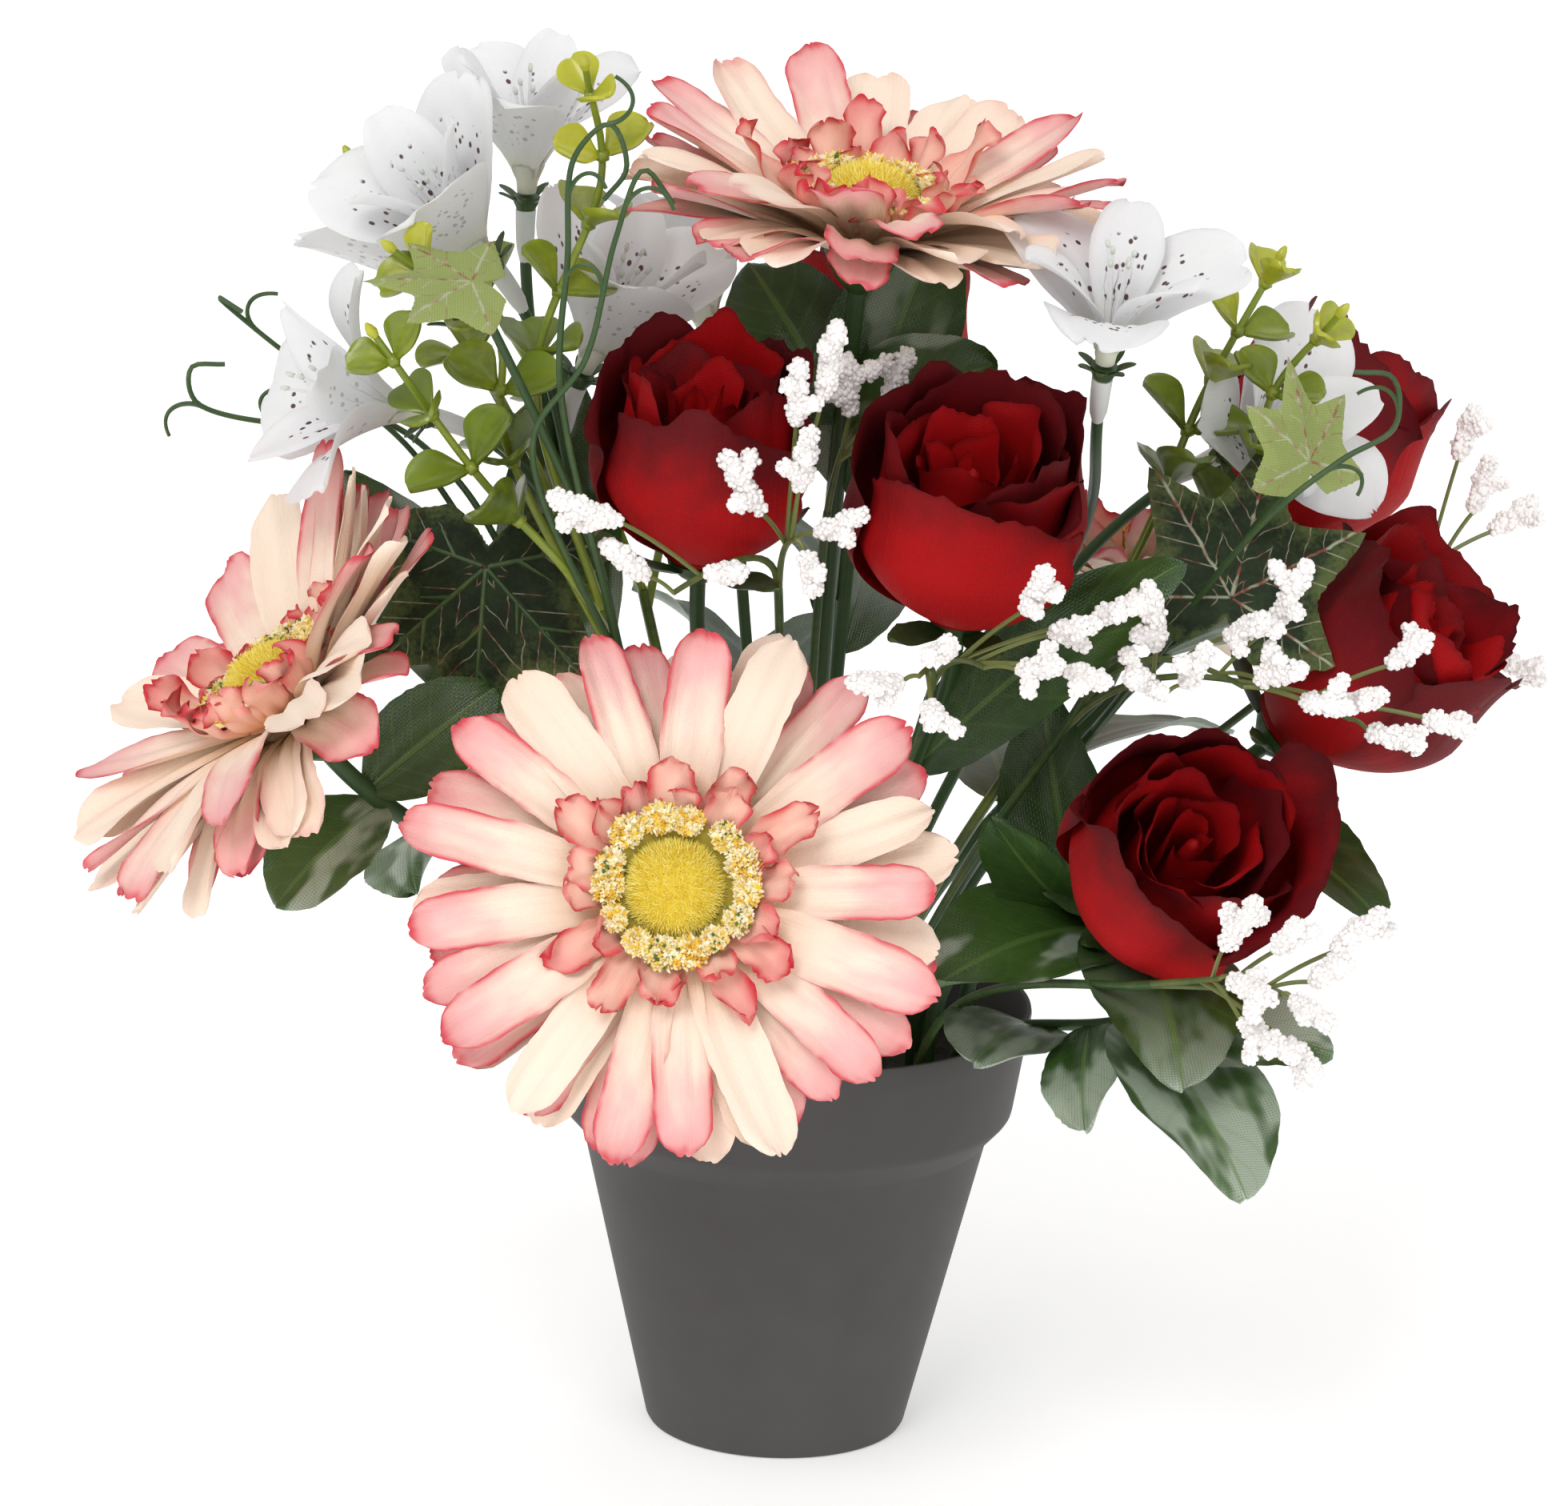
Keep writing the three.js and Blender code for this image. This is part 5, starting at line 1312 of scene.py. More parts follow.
@dataclass(frozen=True)
class IvyCloth(Cloth):
    """Mottled green cloth with printed veins, reddish beside and pale on their lines."""

    base: str = "#2a3a20"
    deep: str = "#1a2414"
    light: str = "#94a05e"
    red: str = "#8f4a42"
    line: str = "#b4b79c"

    def colour(self, tree: Tree) -> Value:
        """Green, lighter and blotched to the edge, with a net of veins.

        Args:
            tree: Tree of the material.

        Returns:
            The colour.
        """
        cloth, cloud = tree.cloth(), self.cloud(tree, 190.0)
        margin = tree.ease(tree.mark("along") + cloud * 0.35, 0.8, 1.35)
        pale = tree.math("ADD", margin * 0.3, tree.ease(tree.mark("tone"), 0.5, 1.0), clamp=True)
        green = tree.mix(pale, tree.mix(cloud, self.deep, self.base), self.light)
        lines = tree.effect(Effect.IVY, Cloth=cloth, Step=5.5)
        colour = tree.mix(tree.ease(tree.noise(cloth, 0.22), 0.4, 0.62), self.line, self.red)
        printed = tree.most(lines["Rib"], lines["Vein"] * 0.8) * 0.8
        return self.thread_shaded(tree, tree.mix(printed, green, colour), 0.7)


@dataclass(frozen=True)
class Plastic(Finish):
    """Moulded plastic between three colours by the piece's tone, slightly uneven.

    Attributes:
        light: Colour at the middle tone.
        dark: Colour at the lowest tone.
        pale: Colour at the highest tone.
        scale: Scale of the mottling a metre.
        grain: Scale of the mould's grain a metre.
    """

    light: str = "#3f6b2f"
    dark: str = "#23451f"
    pale: str = "#3f6b2f"
    scale: float = 120.0
    grain: float = 1500.0

    def colour(self, tree: Tree) -> Value:
        """Dark to light by tone, paler past the middle tone, and mottled.

        Args:
            tree: Tree of the material.

        Returns:
            The colour.
        """
        shifted = tree.mark("tone") + (self.cloud(tree, self.scale) - 0.5) * 0.22
        lower = tree.mix(tree.ease(shifted, 0.0, 0.5), self.dark, self.light)
        return tree.mix(tree.ease(shifted, 0.5, 1.0), lower, self.pale)

    def height(self, tree: Tree) -> Value:
        """Fine grain of the mould."""
        return tree.noise(tree.place(), self.grain, 2.0)


@dataclass(frozen=True)
class Crumbs(Finish):
    """Flock and foam crumbs whose colour steps with the tone."""

    steps: tuple[tuple[float, str], ...] = ((0.0, "#b8aa1c"), (1.0, "#e8d94a"))

    def colour(self, tree: Tree) -> Value:
        """A ramp over the tone.

        Args:
            tree: Tree of the material.

        Returns:
            The colour.
        """
        ramp = tree.node("ShaderNodeValToRGB")
        tree.feed(ramp.inputs[0], tree.mark("tone"))
        stops = ramp.color_ramp.elements
        while len(stops) < len(self.steps):
            stops.new(0.5)
        for stop, (place, colour) in zip(stops, self.steps):
            stop.position = place
            stop.color = paint(colour)
        return Value(tree, ramp.outputs[0])

    def height(self, tree: Tree) -> Value:
        """Fine fibres."""
        return tree.noise(tree.place(), 2500.0, 2.0)


@dataclass(frozen=True)
class PotPlastic(Finish):
    """Matte injection-moulded plastic with fine grain and faint scuffs."""

    base: str = "#454342"
    worn: str = "#525150"

    def colour(self, tree: Tree) -> Value:
        """Dark grey, faintly cloudy."""
        return tree.mix(self.cloud(tree, 18.0) * 0.35, self.base, self.worn)

    def height(self, tree: Tree) -> Value:
        """Fine spark-eroded grain."""
        return tree.noise(tree.place(), 2200.0, 3.0)


@dataclass(frozen=True)
class FillerFoam(Finish):
    """Dark crumbly set filler."""

    base: str = "#1c1a17"
    crumb: str = "#3a352d"

    def colour(self, tree: Tree) -> Value:
        """Dark brown to black crumbs."""
        return tree.mix(self.cloud(tree, 160.0), self.base, self.crumb)

    def height(self, tree: Tree) -> Value:
        """Crumbs."""
        return tree.noise(tree.place(), 420.0, 4.0)


PETAL = PetalCloth("gerbera_petal_cloth", roughness=0.8, specular=0.25, relief=0.7, depth=0.0005, threads=0.2)
RUFFLE = PetalCloth("gerbera_ruffle_cloth", roughness=0.8, specular=0.25, relief=0.6, depth=0.0005, threads=0.2,
                    base="#fbcab6", dye="#f4aaa0", rim="#cf2c3a", root="#f6bd98", edged=0.95, edge=0.36)
ROSE = RoseCloth("rose_cloth", roughness=0.65, specular=0.15, relief=0.7, depth=0.0004, threads=0.25,
                 creases=0.9, pitch=0.65)
TRUMPET = TrumpetCloth("alstroemeria_cloth", roughness=0.7, relief=0.4, depth=0.0003, threads=0.2, creases=1.0,
                       glow=0.5)
LEAF = LeafCloth("leaf_cloth", roughness=0.3, specular=0.6, relief=0.8, depth=0.00015, pitch=0.7)
IVY = IvyCloth("ivy_cloth", roughness=0.62, specular=0.2, relief=0.4, depth=0.0002, threads=0.4, creases=0.3,
               pitch=0.6)
STEM = Plastic("stem_plastic", roughness=0.42, relief=0.15, depth=0.0001,
               dark="#223b1d", light="#344f29", pale="#6c733c")
STUB = Plastic("stub_plastic", roughness=0.4, relief=0.1, depth=0.0001,
               dark="#cfd4c6", light="#dcdedb", pale="#e8e8e8")
BOX = Plastic("box_plastic", roughness=0.3, specular=0.6, relief=0.12, depth=0.0002,
              dark="#2a401a", light="#73851f", pale="#b8b830", scale=90.0)
BEADS = Plastic("bead_plastic", roughness=0.5, specular=0.3, relief=0.0, depth=0.0001,
                dark="#f4eeec", light="#f8f4f2", pale="#fdfbf9")
FLOCK = Crumbs("eye_flock", roughness=0.95, relief=0.4, depth=0.0002,
               steps=((0.0, "#d8bc34"), (0.5, "#fce65c"), (1.0, "#fff8a0")))
FLORETS = Crumbs("eye_florets", roughness=0.85, relief=0.4, depth=0.0002,
                 steps=((0.0, "#50702a"), (0.06, "#6c8436"), (0.09, "#e9ae35"), (0.34, "#f5d44e"),
                        (0.5, "#f7e6a8"), (1.0, "#fff8e0")))
POT = PotPlastic("pot_plastic", roughness=0.62, specular=0.35, relief=0.12, depth=0.0001)
FILLER = FillerFoam("set_filler", roughness=0.95, relief=0.9, depth=0.001)


# ---------------------------------------------------------------- stems

FILL_TOP = 92.0
HOLE_DEPTH = 15.0
GAP = 0.3
UP = np.array([0.0, 0.0, 1.0])
LEAF_CUT = Cut(Outline.OVATE, cup=0.16, rows=28, cols=13, thick=0.45, crown=0.0, crease=0.35, folds=4,
               wave=1.3, waves=2.2, teeth=0.5, twist=10, curl=2)
LEAF_GROWTH = 1.12

Leaf = tuple[float, Triple, float, Triple, float]


def stem_curve(hole: Triple, to: Triple, axis: Triple, rise: float, reach: float) -> Path:
    """The path of a stem: straight up out of its hole, and then over to its end along an axis.

    Args:
        hole: Place of the hole in plan.
        to: End of the stem.
        axis: Direction in which it arrives.
        rise: How far it keeps upright.
        reach: How far its end keeps to the axis.

    Returns:
        The path.
    """
    foot = np.array([*hole, FILL_TOP - HOLE_DEPTH + 1])
    mouth = np.array([*hole, FILL_TOP + 3])
    over = reach_curve(mouth, UP, rise, np.asarray(to, float), unit(np.asarray(axis, float)), reach)
    return Path(np.stack([foot, mouth])).followed_by(over)


def side_shoot(curve: Path, k: int, step: float) -> tuple[np.ndarray, np.ndarray]:
    """Place and direction of the k-th side shoot of a stem, below its end."""
    share = 0.99 - step * k
    return curve.at(share), curve.along(share)


def lathe(seat: Seat, profile: Sequence[tuple[float, float]], sides: int) -> np.ndarray:
    """Rings of a turned form from pairs of radius and height."""
    radius, height = np.array(profile, float).T[..., None]
    return seat.place(polar(radius, np.arange(sides) / sides * 2 * np.pi, height))


def towards(along: np.ndarray) -> np.ndarray:
    """Works out three directions for each copy of a form.

    Args:
        along: First direction of each.

    Returns:
        The first direction of each, and two square to it.
    """
    spare = np.where(np.abs(along[:, 2:]) < 0.9, UP, np.array([1.0, 0.0, 0.0]))
    second = unit(np.cross(along, spare))
    return np.stack([along, second, np.cross(along, second)], axis=1)


def draw_leaves(curve: Path, leaves: Sequence[Leaf], name: str, node: str, seed: float) -> None:
    """Makes the cloth leaves of a stem as a piece of their own.

    Args:
        curve: Path of the stem.
        leaves: Share of the stem's length, tip, width, facing and arch of each leaf.
        name: Name of the piece.
        node: Node of the stem that they grow on.
        seed: Draw of the first leaf.
    """
    skin = Skin()
    rows = [(curve.at(share), tip, facing, width * LEAF_GROWTH, arch)
            for share, tip, width, facing, arch in leaves]
    Blades.of(rows, seed).draw(skin, LEAF_CUT)
    skin.piece(name, [LEAF.material()], [node], "leaf_cloth")


@dataclass(frozen=True)
class Sprig:
    """What every slender stem has.

    Attributes:
        name: Name of the sprig.
        hole: Place of its hole in the filler, in plan.
        knot: Point where its shoots part.
        knot_axis: Direction of the stem at the knot.
    """

    name: str
    hole: tuple[float, float]
    knot: Triple
    knot_axis: Triple

    def curve(self, rise: float, reach: float) -> Path:
        """Path of the stem from its hole to its knot."""
        return stem_curve(self.hole, self.knot, self.knot_axis, rise, reach)


# ---------------------------------------------------------------- pot


@dataclass(frozen=True)
class Pot:
    """A tapered pot with a banded rim.

    Attributes:
        height: Height of the rim.
        rim: Radius of the rim.
        band: Radius of the band's lower edge.
        band_low: Height of that edge.
        neck: Radius under the band.
        neck_high: Height of the neck's end.
        foot: Radius of the foot.
        wall: Thickness of the wall.
        floor: Thickness of the floor.
        sides: Sides of its rings.
    """

    height: float = 109.0
    rim: float = 60.0
    band: float = 56.0
    band_low: float = 83.0
    neck: float = 50.2
    neck_high: float = 76.5
    foot: float = 32.0
    wall: float = 1.7
    floor: float = 3.0
    sides: int = 128

    def radius(self, z: float) -> float:
        """Radius of the outer face at a height."""
        heights = (0, self.neck_high, self.band_low, self.height)
        return float(np.interp(z, heights, (self.foot, self.neck, self.band, self.rim)))

    def draw(self) -> None:
        """Makes the pot's wall, with a worn edge at the foot, the band and the lip."""
        outer = [(self.foot - 1.2, 0.0), (self.foot - 0.3, 0.3), (self.radius(1.4), 1.4)]
        outer += [(self.radius(z), z) for z in np.linspace(12, self.neck_high - 0.6, 8)]
        outer += [(self.neck + 0.2, self.neck_high), (self.band - 0.8, self.band_low - 1.2),
                  (self.band - 0.15, self.band_low - 0.2), (self.radius(self.band_low + 1), self.band_low + 1)]
        outer += [(self.radius(z), z) for z in np.linspace(90, self.height - 1, 4)]
        lip = [(self.rim - 0.35, self.height), (self.rim - self.wall + 0.4, self.height),
               (self.rim - self.wall, self.height - 0.5)]
        inner = [(self.radius(z) - self.wall, z)
                 for z in (self.band_low + 1, self.band_low, self.neck_high, 40, self.floor + 1)]
        inner += [(self.foot - self.wall - 0.8, self.floor)]
        skin = Skin()
        skin.turned(Seat((0, 0, 0), UP), outer + lip + inner, self.sides, 0, self.floor, tone=0.5)
        skin.piece("pot_wall", [POT.material()], ["pot"], "pot_plastic", crease=35)


# ---------------------------------------------------------------- gerbera


@dataclass(frozen=True)
class FrillRow:
    """A row of ruffle petals; a pair is a middle or least value and its range by chance.

    Attributes:
        count: Petals.
        seed: Draw of the first petal.
        root: Radius of the roots.
        level: Height of the roots.
        turn: Turn, as a share of a petal's room.
        lift: Added lift in degrees.
        length: Share of the ruffle's length.
        width: Width.
        bend: Added bend in degrees.
        swing: Share of the ruffle's swing.
    """

    count: int
    seed: int
    root: float
    level: float
    turn: tuple[float, float]
    lift: tuple[float, float]
    length: tuple[float, float]
    width: tuple[float, float]
    bend: float = 0.0
    swing: float = 0.0


@dataclass(frozen=True)
class Gerbera:
    """A gerbera: petals in layers on a hub, a ruffle, an eye of florets and flock, and a leafy stem.

    Attributes:
        name: Name of the gerbera.
        heart: Middle of the hub's underside.
        axis: Direction that the bloom looks in.
        side: Direction of its first petal.
        radius: Radius of the bloom.
        petals: Petals in a layer.
        width: Width of a petal.
        lift: Slope of the petals at their roots, in degrees.
        bend: Turn of the petals from root to tip, in degrees.
        swing: How much less the petals bend on the first petal's side.
        ruffle_lift: Slope of the ruffle at its roots.
        hole: Place of the stem's hole in plan.
        rise: How far the stem keeps upright.
        reach: How far its end keeps to the axis.
        leaves: Leaves of the stem.
        hub: Radius of the hub.
        calyx: Radius and depth of the cup under the bloom.
        stem: Radius of the stem.
        layers: Height, share of the length, added lift and turn of each layer of petals.
        tilt: How much less the petals rise on the first petal's side.
        droop: How much more the near petals bend.
        cut: Cut of the petals.
        frill: Cut of the ruffle's petals.
        ruffle_bend: Turn of the ruffle's petals from root to tip.
        ruffle_length: Length of the ruffle's petals.
        ruffle_swing: How much longer they are on the first petal's side.
        frills: Rows of the ruffle.
        button: Half-width, height and level of the flocked button.
        hairs: Hairs of the flock.
        florets: Crumbs of foam.
        clumps: Clumps of crumbs.
    """

    name: str
    heart: Triple
    axis: Triple
    side: Triple
    radius: float
    petals: int
    width: float
    lift: float
    bend: float
    swing: float
    ruffle_lift: float
    hole: tuple[float, float]
    rise: float
    reach: float
    leaves: Sequence[Leaf]
    hub: float = 9.0
    calyx: tuple[float, float] = (9.0, 11.0)
    stem: float = 2.2
    layers: Sequence[tuple[float, float, float, float]] = (
        (3.4, 1.0, 3.0, 0.0), (1.2, 0.97, -5.0, 0.5), (0.4, 0.93, -9.0, 0.27))
    tilt: float = 0.0
    droop: float = 0.0
    cut: Cut = Cut(Outline.STRAP, cup=0.16, rows=20, cols=13, thick=0.4, crown=0.03, notch=0.02,
                   crease=0.55, folds=2.4, wave=1.2, waves=1.3, teeth=0.5, twist=22, curl=6)
    frill: Cut = Cut(Outline.STRAP, cup=0.22, rows=18, cols=11, thick=0.4, crown=0.08, notch=0.09,
                     crease=0.6, folds=2, wave=2.8, waves=1.7, teeth=0.8, twist=46, curl=5)
    ruffle_bend: float = 16.0
    ruffle_length: float = 23.0
    ruffle_swing: float = 0.0
    frills: Sequence[FrillRow] = (
        FrillRow(12, 80, 12.0, 6.7, (0.0, 0.3), (0.0, 18.0), (0.66, 0.6), (8.5, 3.5), swing=1.0),
        FrillRow(9, 60, 12.6, 7.2, (0.4, 0.5), (14.0, 14.0), (0.48, 0.36), (10.0, 0.0), bend=8.0))
    button: tuple[float, float, float] = (10.9, 7.2, 12.2)
    hairs: int = 2400
    florets: int = 1540
    clumps: int = 14

    def seat(self) -> Seat:
        """Placing of the bloom."""
        return Seat(self.heart, self.axis, self.side)

    def draw_petals(self, index: int) -> None:
        """Makes layers of petals round the hub, lifted and bent by direction and by chance.

        Petals bend down by the droop times how far they point to the front.

        Args:
            index: Number of the gerbera, which sets its draws.
        """
        seat, skin = self.seat(), Skin()
        for row, (level, reach, lift, phase) in enumerate(self.layers):
            k = np.arange(self.petals)
            seed = index * 100 + row * 40 + k + 1
            turn = (k + phase + 0.56 * stray(seed + 0.6)) / self.petals * 2 * np.pi
            near = self.droop * np.maximum(0, -seat.turn(spoke(turn, np.zeros_like(turn)))[:, 1])
            raised = self.lift + 8 * stray(seed) + lift - self.tilt * np.cos(turn) + 0.05 * near
            bend = self.bend - self.swing * np.cos(turn) + 6 * stray(seed + 0.3) + near
            length = (self.radius - self.hub) * reach * (0.9 + 0.13 * hashed(seed + 0.8))
            width = self.width * (0.88 + 0.24 * hashed(seed + 0.9))
            tone = np.mod(seed * GOLDEN_SHARE + 0.2 * hashed(seed + 0.45), 1)
            blades = bloom_blades(seat, turn, self.hub, level, length, raised, bend, width, tone, seed)
            blades.draw(skin, self.cut)
        hub = [(self.hub, 0), (self.hub, 3.6), (self.hub * 0.8, 5.2)]
        skin.turned(seat, hub, 24, 0, 5.3, tone=0.2)
        skin.piece(f"gerbera_{self.name}_petals", [PETAL.material()], [f"gerbera_petals_{self.name}"],
                   "gerbera_petal_cloth")

    def draw_ruffle(self, index: int) -> None:
        """Makes the ruffle: rows of irregular petals that curl up from a ring.

        Args:
            index: Number of the gerbera, which sets its draws.
        """
        seat, skin = self.seat(), Skin()
        for row in self.frills:
            k = np.arange(row.count)
            seed = index * 100 + row.seed + k
            turn = (k + row.turn[0] + row.turn[1] * stray(seed)) / row.count * 2 * np.pi
            lift = self.ruffle_lift + row.lift[0] + row.lift[1] * stray(seed + 0.5)
            length = (self.ruffle_length * (row.length[0] + row.length[1] * hashed(seed + 0.7))
                      + row.swing * self.ruffle_swing * np.cos(turn))
            width = row.width[0] + row.width[1] * hashed(seed + 0.4)
            bloom_blades(seat, turn, row.root, row.level, length, lift, self.ruffle_bend + row.bend, width,
                         hashed(seed + 0.2), seed).draw(skin, self.frill)
        skin.turned(seat, [(11, 5.6), (11.6, 6.6), (11, 7.8)], 24, 5.6, 7.8, tone=0.8)
        skin.piece(f"gerbera_{self.name}_ruffle", [RUFFLE.material()], [f"gerbera_ruffle_{self.name}"],
                   "gerbera_ruffle_cloth")

    def add_flock(self, skin: Skin, index: int) -> None:
        """Adds the button: a dome with hairs on it by the golden angle.

        A hair stands where a sphere's point, times the dome's half-width and height, lies, and along the
        same point over them, which is the dome's normal, with a small stray.

        Args:
            skin: Skin of the eye.
            index: Number of the gerbera, which sets its draws.
        """
        seat, (wide, tall, low) = self.seat(), self.button
        share = np.linspace(0, 1, 9)[:-1]
        dome = np.stack([wide * np.cos(share * np.pi / 2), low + tall * np.sin(share * np.pi / 2)], axis=-1)
        skin.turned(seat, dome, 40, low - 0.2, low + tall, 0, tone=0.2)
        k = np.arange(self.hairs)
        seed = index * 1000 + k * 0.77
        height = 1 - (k + 0.5) / self.hairs
        ball = polar(np.sqrt(1 - height**2), k * GOLDEN, height)
        along = unit(unit(ball / (wide, wide, tall)) + strays(seed) * 0.9)
        girth = np.full(self.hairs, 0.17)
        sizes = np.stack([1.2 + 1.2 * hashed(seed + 3), girth, girth], axis=-1)
        skin.scatter(Form.thorn(), seat.place(ball * (wide, wide, tall) + (0, 0, low)), sizes, 0,
                     towards(seat.turn(along)), tone=0.2 + 0.8 * hashed(seed + 4))

    def add_florets(self, skin: Skin, index: int) -> None:
        """Adds a ring of clumps of foam florets.

        Each clump is a low dome of florets that fill it by the golden angle and lean out from its middle.

        Args:
            skin: Skin of the eye.
            index: Number of the gerbera, which sets its draws.
        """
        seat = self.seat()
        k = np.arange(self.florets)
        seed = index * 2000 + k * 1.37
        clump, order = k % self.clumps, k // self.clumps
        own = index * 70 + clump * 1.9
        size = 2.9 + 1.3 * hashed(own)
        share = np.sqrt((order + 0.5) * self.clumps / self.florets)
        out, side = size * share * np.cos(order * GOLDEN), size * share * np.sin(order * GOLDEN)
        radius = 16.2 + 1.8 * stray(own + 0.3) + out
        angle = (clump + 0.6 * stray(own + 0.5)) / self.clumps * 2 * np.pi + 1.15 * side / 16.3
        top = 14.2 + 1.2 * hashed(own + 0.7) + 2.2 * np.sqrt(1 - 0.95 * share**2) + 1.2 * stray(seed)
        lean = np.stack([out * np.cos(angle) - side * np.sin(angle), out * np.sin(angle) + side * np.cos(angle),
                         size], axis=-1) / size[:, None]
        along = unit(lean + strays(seed, 2))
        sizes = np.stack([0.7 + 0.7 * hashed(seed + 5), 0.42 + 0.4 * hashed(seed + 6),
                          0.42 + 0.4 * hashed(seed + 7)], axis=-1)
        tone = np.mod(hashed(seed + 8) * 0.8 + 0.3 * hashed(own + 0.9) + 0.06, 1)
        skin.scatter(Form.crumb(), seat.place(polar(radius, angle, top)), sizes, 1, towards(seat.turn(along)),
                     tone=tone)

    def draw_eye(self, index: int) -> None:
        """Makes the eye: a flocked button in a ring of foam florets.

        Args:
            index: Number of the gerbera, which sets its draws.
        """
        skin = Skin()
        ring = [(10.5, 8.1), (16.4, 12.6), (16.6, 13.6), (14.8, 14.8), (12.6, 13.8), (11.9, 13.0)]
        skin.turned(self.seat(), ring, 40, 8.1, 12.8, 1, tone=0.07)
        self.add_flock(skin, index)
        self.add_florets(skin, index)
        skin.piece(f"gerbera_{self.name}_eye", [FLOCK.material(), FLORETS.material()],
                   [f"gerbera_eye_{self.name}"], "gerbera_eye_flock")

    def draw_stem(self, index: int) -> None:
        """Makes the stem with its cup and pointed sepals, and its leaves.

        Args:
            index: Number of the gerbera, which sets its draws.
        """
        seat, skin = self.seat(), Skin()
        radius, depth = self.calyx
        end = Seat(self.heart, self.axis).place([0, 0, 1 - depth])
        curve = stem_curve(self.hole, end, self.axis, self.rise, self.reach)
        skin.tube(curve.spread(48), self.stem, 12, tone=0.45)
        cup = [(self.stem * 1.05, -depth), (radius * 0.62, -depth * 0.7), (radius * 0.86, -depth * 0.4),
               (radius, -1.2), (radius * 0.97, -GAP)]
        skin.turned(seat, cup, 24, -depth - 1, -GAP, tone=0.6)
        k = np.arange(16)
        seed = index * 300 + k
        sepal = Cut(Outline.OVATE, cup=0.2, rows=8, cols=5, thick=0.5, crown=0)
        turn, length = (k + 0.3 * hashed(seed)) / len(k) * 2 * np.pi, 9.5 + 3 * hashed(seed + 1)
        bloom_blades(seat, turn, 4.5, -depth * 0.8, length, 58, -26, 3.6, 0.7, seed).draw(skin, sepal)
        node = f"gerbera_stem_{self.name}"
        skin.piece(f"gerbera_{self.name}_stem", [STEM.material()], [node], "gerbera_stem_green")
        draw_leaves(curve, self.leaves, f"gerbera_{self.name}_leaves", node, index * 17.0)

    def draw(self, index: int) -> None:
        """Makes the gerbera's pieces.

        Args:
            index: Number of the gerbera, which sets its draws.
        """
        self.draw_petals(index)
        self.draw_ruffle(index)
        self.draw_eye(index)
        self.draw_stem(index)


GERBERAS = [
    Gerbera("front", (-27, -88, 160), (-0.03, -0.9, 0.43), (1, 0, 0), 68, 17, 14, 12, 20, 6, 28, (-10, -40),
            24, 34, [(0.55, (-66, -36, 122), 24, (-0.2, -0.3, 0.9), 40)]),
    Gerbera("left", (-118, -50, 189), (-0.64, -0.09, 0.76), (0.75, 0.1, 0.65), 66, 17, 16, 23, 4, 2, 26,
            (-42, -4), 40, 38,
            [(0.86, (-122, -62, 146), 24, (-0.5, -0.7, 0.4), 36),
             (0.9, (-72, -40, 196), 22, (-0.1, -0.9, 0.4), 30),
             (0.78, (-92, -12, 136), 22, (-0.6, 0.5, 0.4), 36)],
            tilt=-16, droop=42, ruffle_bend=-46, ruffle_length=22),
    Gerbera("top", (11, -22, 302), (0.08, -0.13, 0.985), (0, 1, 0.2), 65, 17, 16, 29, 17, 19, 36, (4, -4),
            80, 70,
            [(0.84, (-16, 4, 292), 28, (-0.1, -0.75, 0.65), 44),
             (0.82, (44, -26, 276), 26, (0.1, -0.8, 0.6), 56),
             (0.76, (30, -2, 306), 29, (0, -0.9, 0.4), 30)],
            tilt=9, ruffle_bend=-30, ruffle_length=25, ruffle_swing=4),
    Gerbera("rear", (84, 89, 190), (0.2, 0.42, 0.88), (1, 0, 0), 57, 12, 14, 10, 14, 8, 30, (24, 32), 40, 34,
            [(0.7, (112, 112, 150), 24, (0.4, 0.5, 0.6), 40), (0.6, (48, 104, 148), 24, (-0.2, 0.7, 0.6), 40)]),
]


# ---------------------------------------------------------------- rose


@dataclass(frozen=True)
class RoseLayer:
    """A layer of rose petals: sizes in millimetres and angles in degrees.

    Attributes:
        count: Petals.
        radius: Radius where a petal is widest.
        height: Height of a petal.
        span: Angle that it goes round.
        curl: How far its rim turns out.
        taper: How far its upper part leans out.
        turn: Turn of the layer.
        turned: How far a corner turns back.
    """

    count: int
    radius: float
    height: float
    span: float
    curl: float
    taper: float
    turn: float
    turned: float


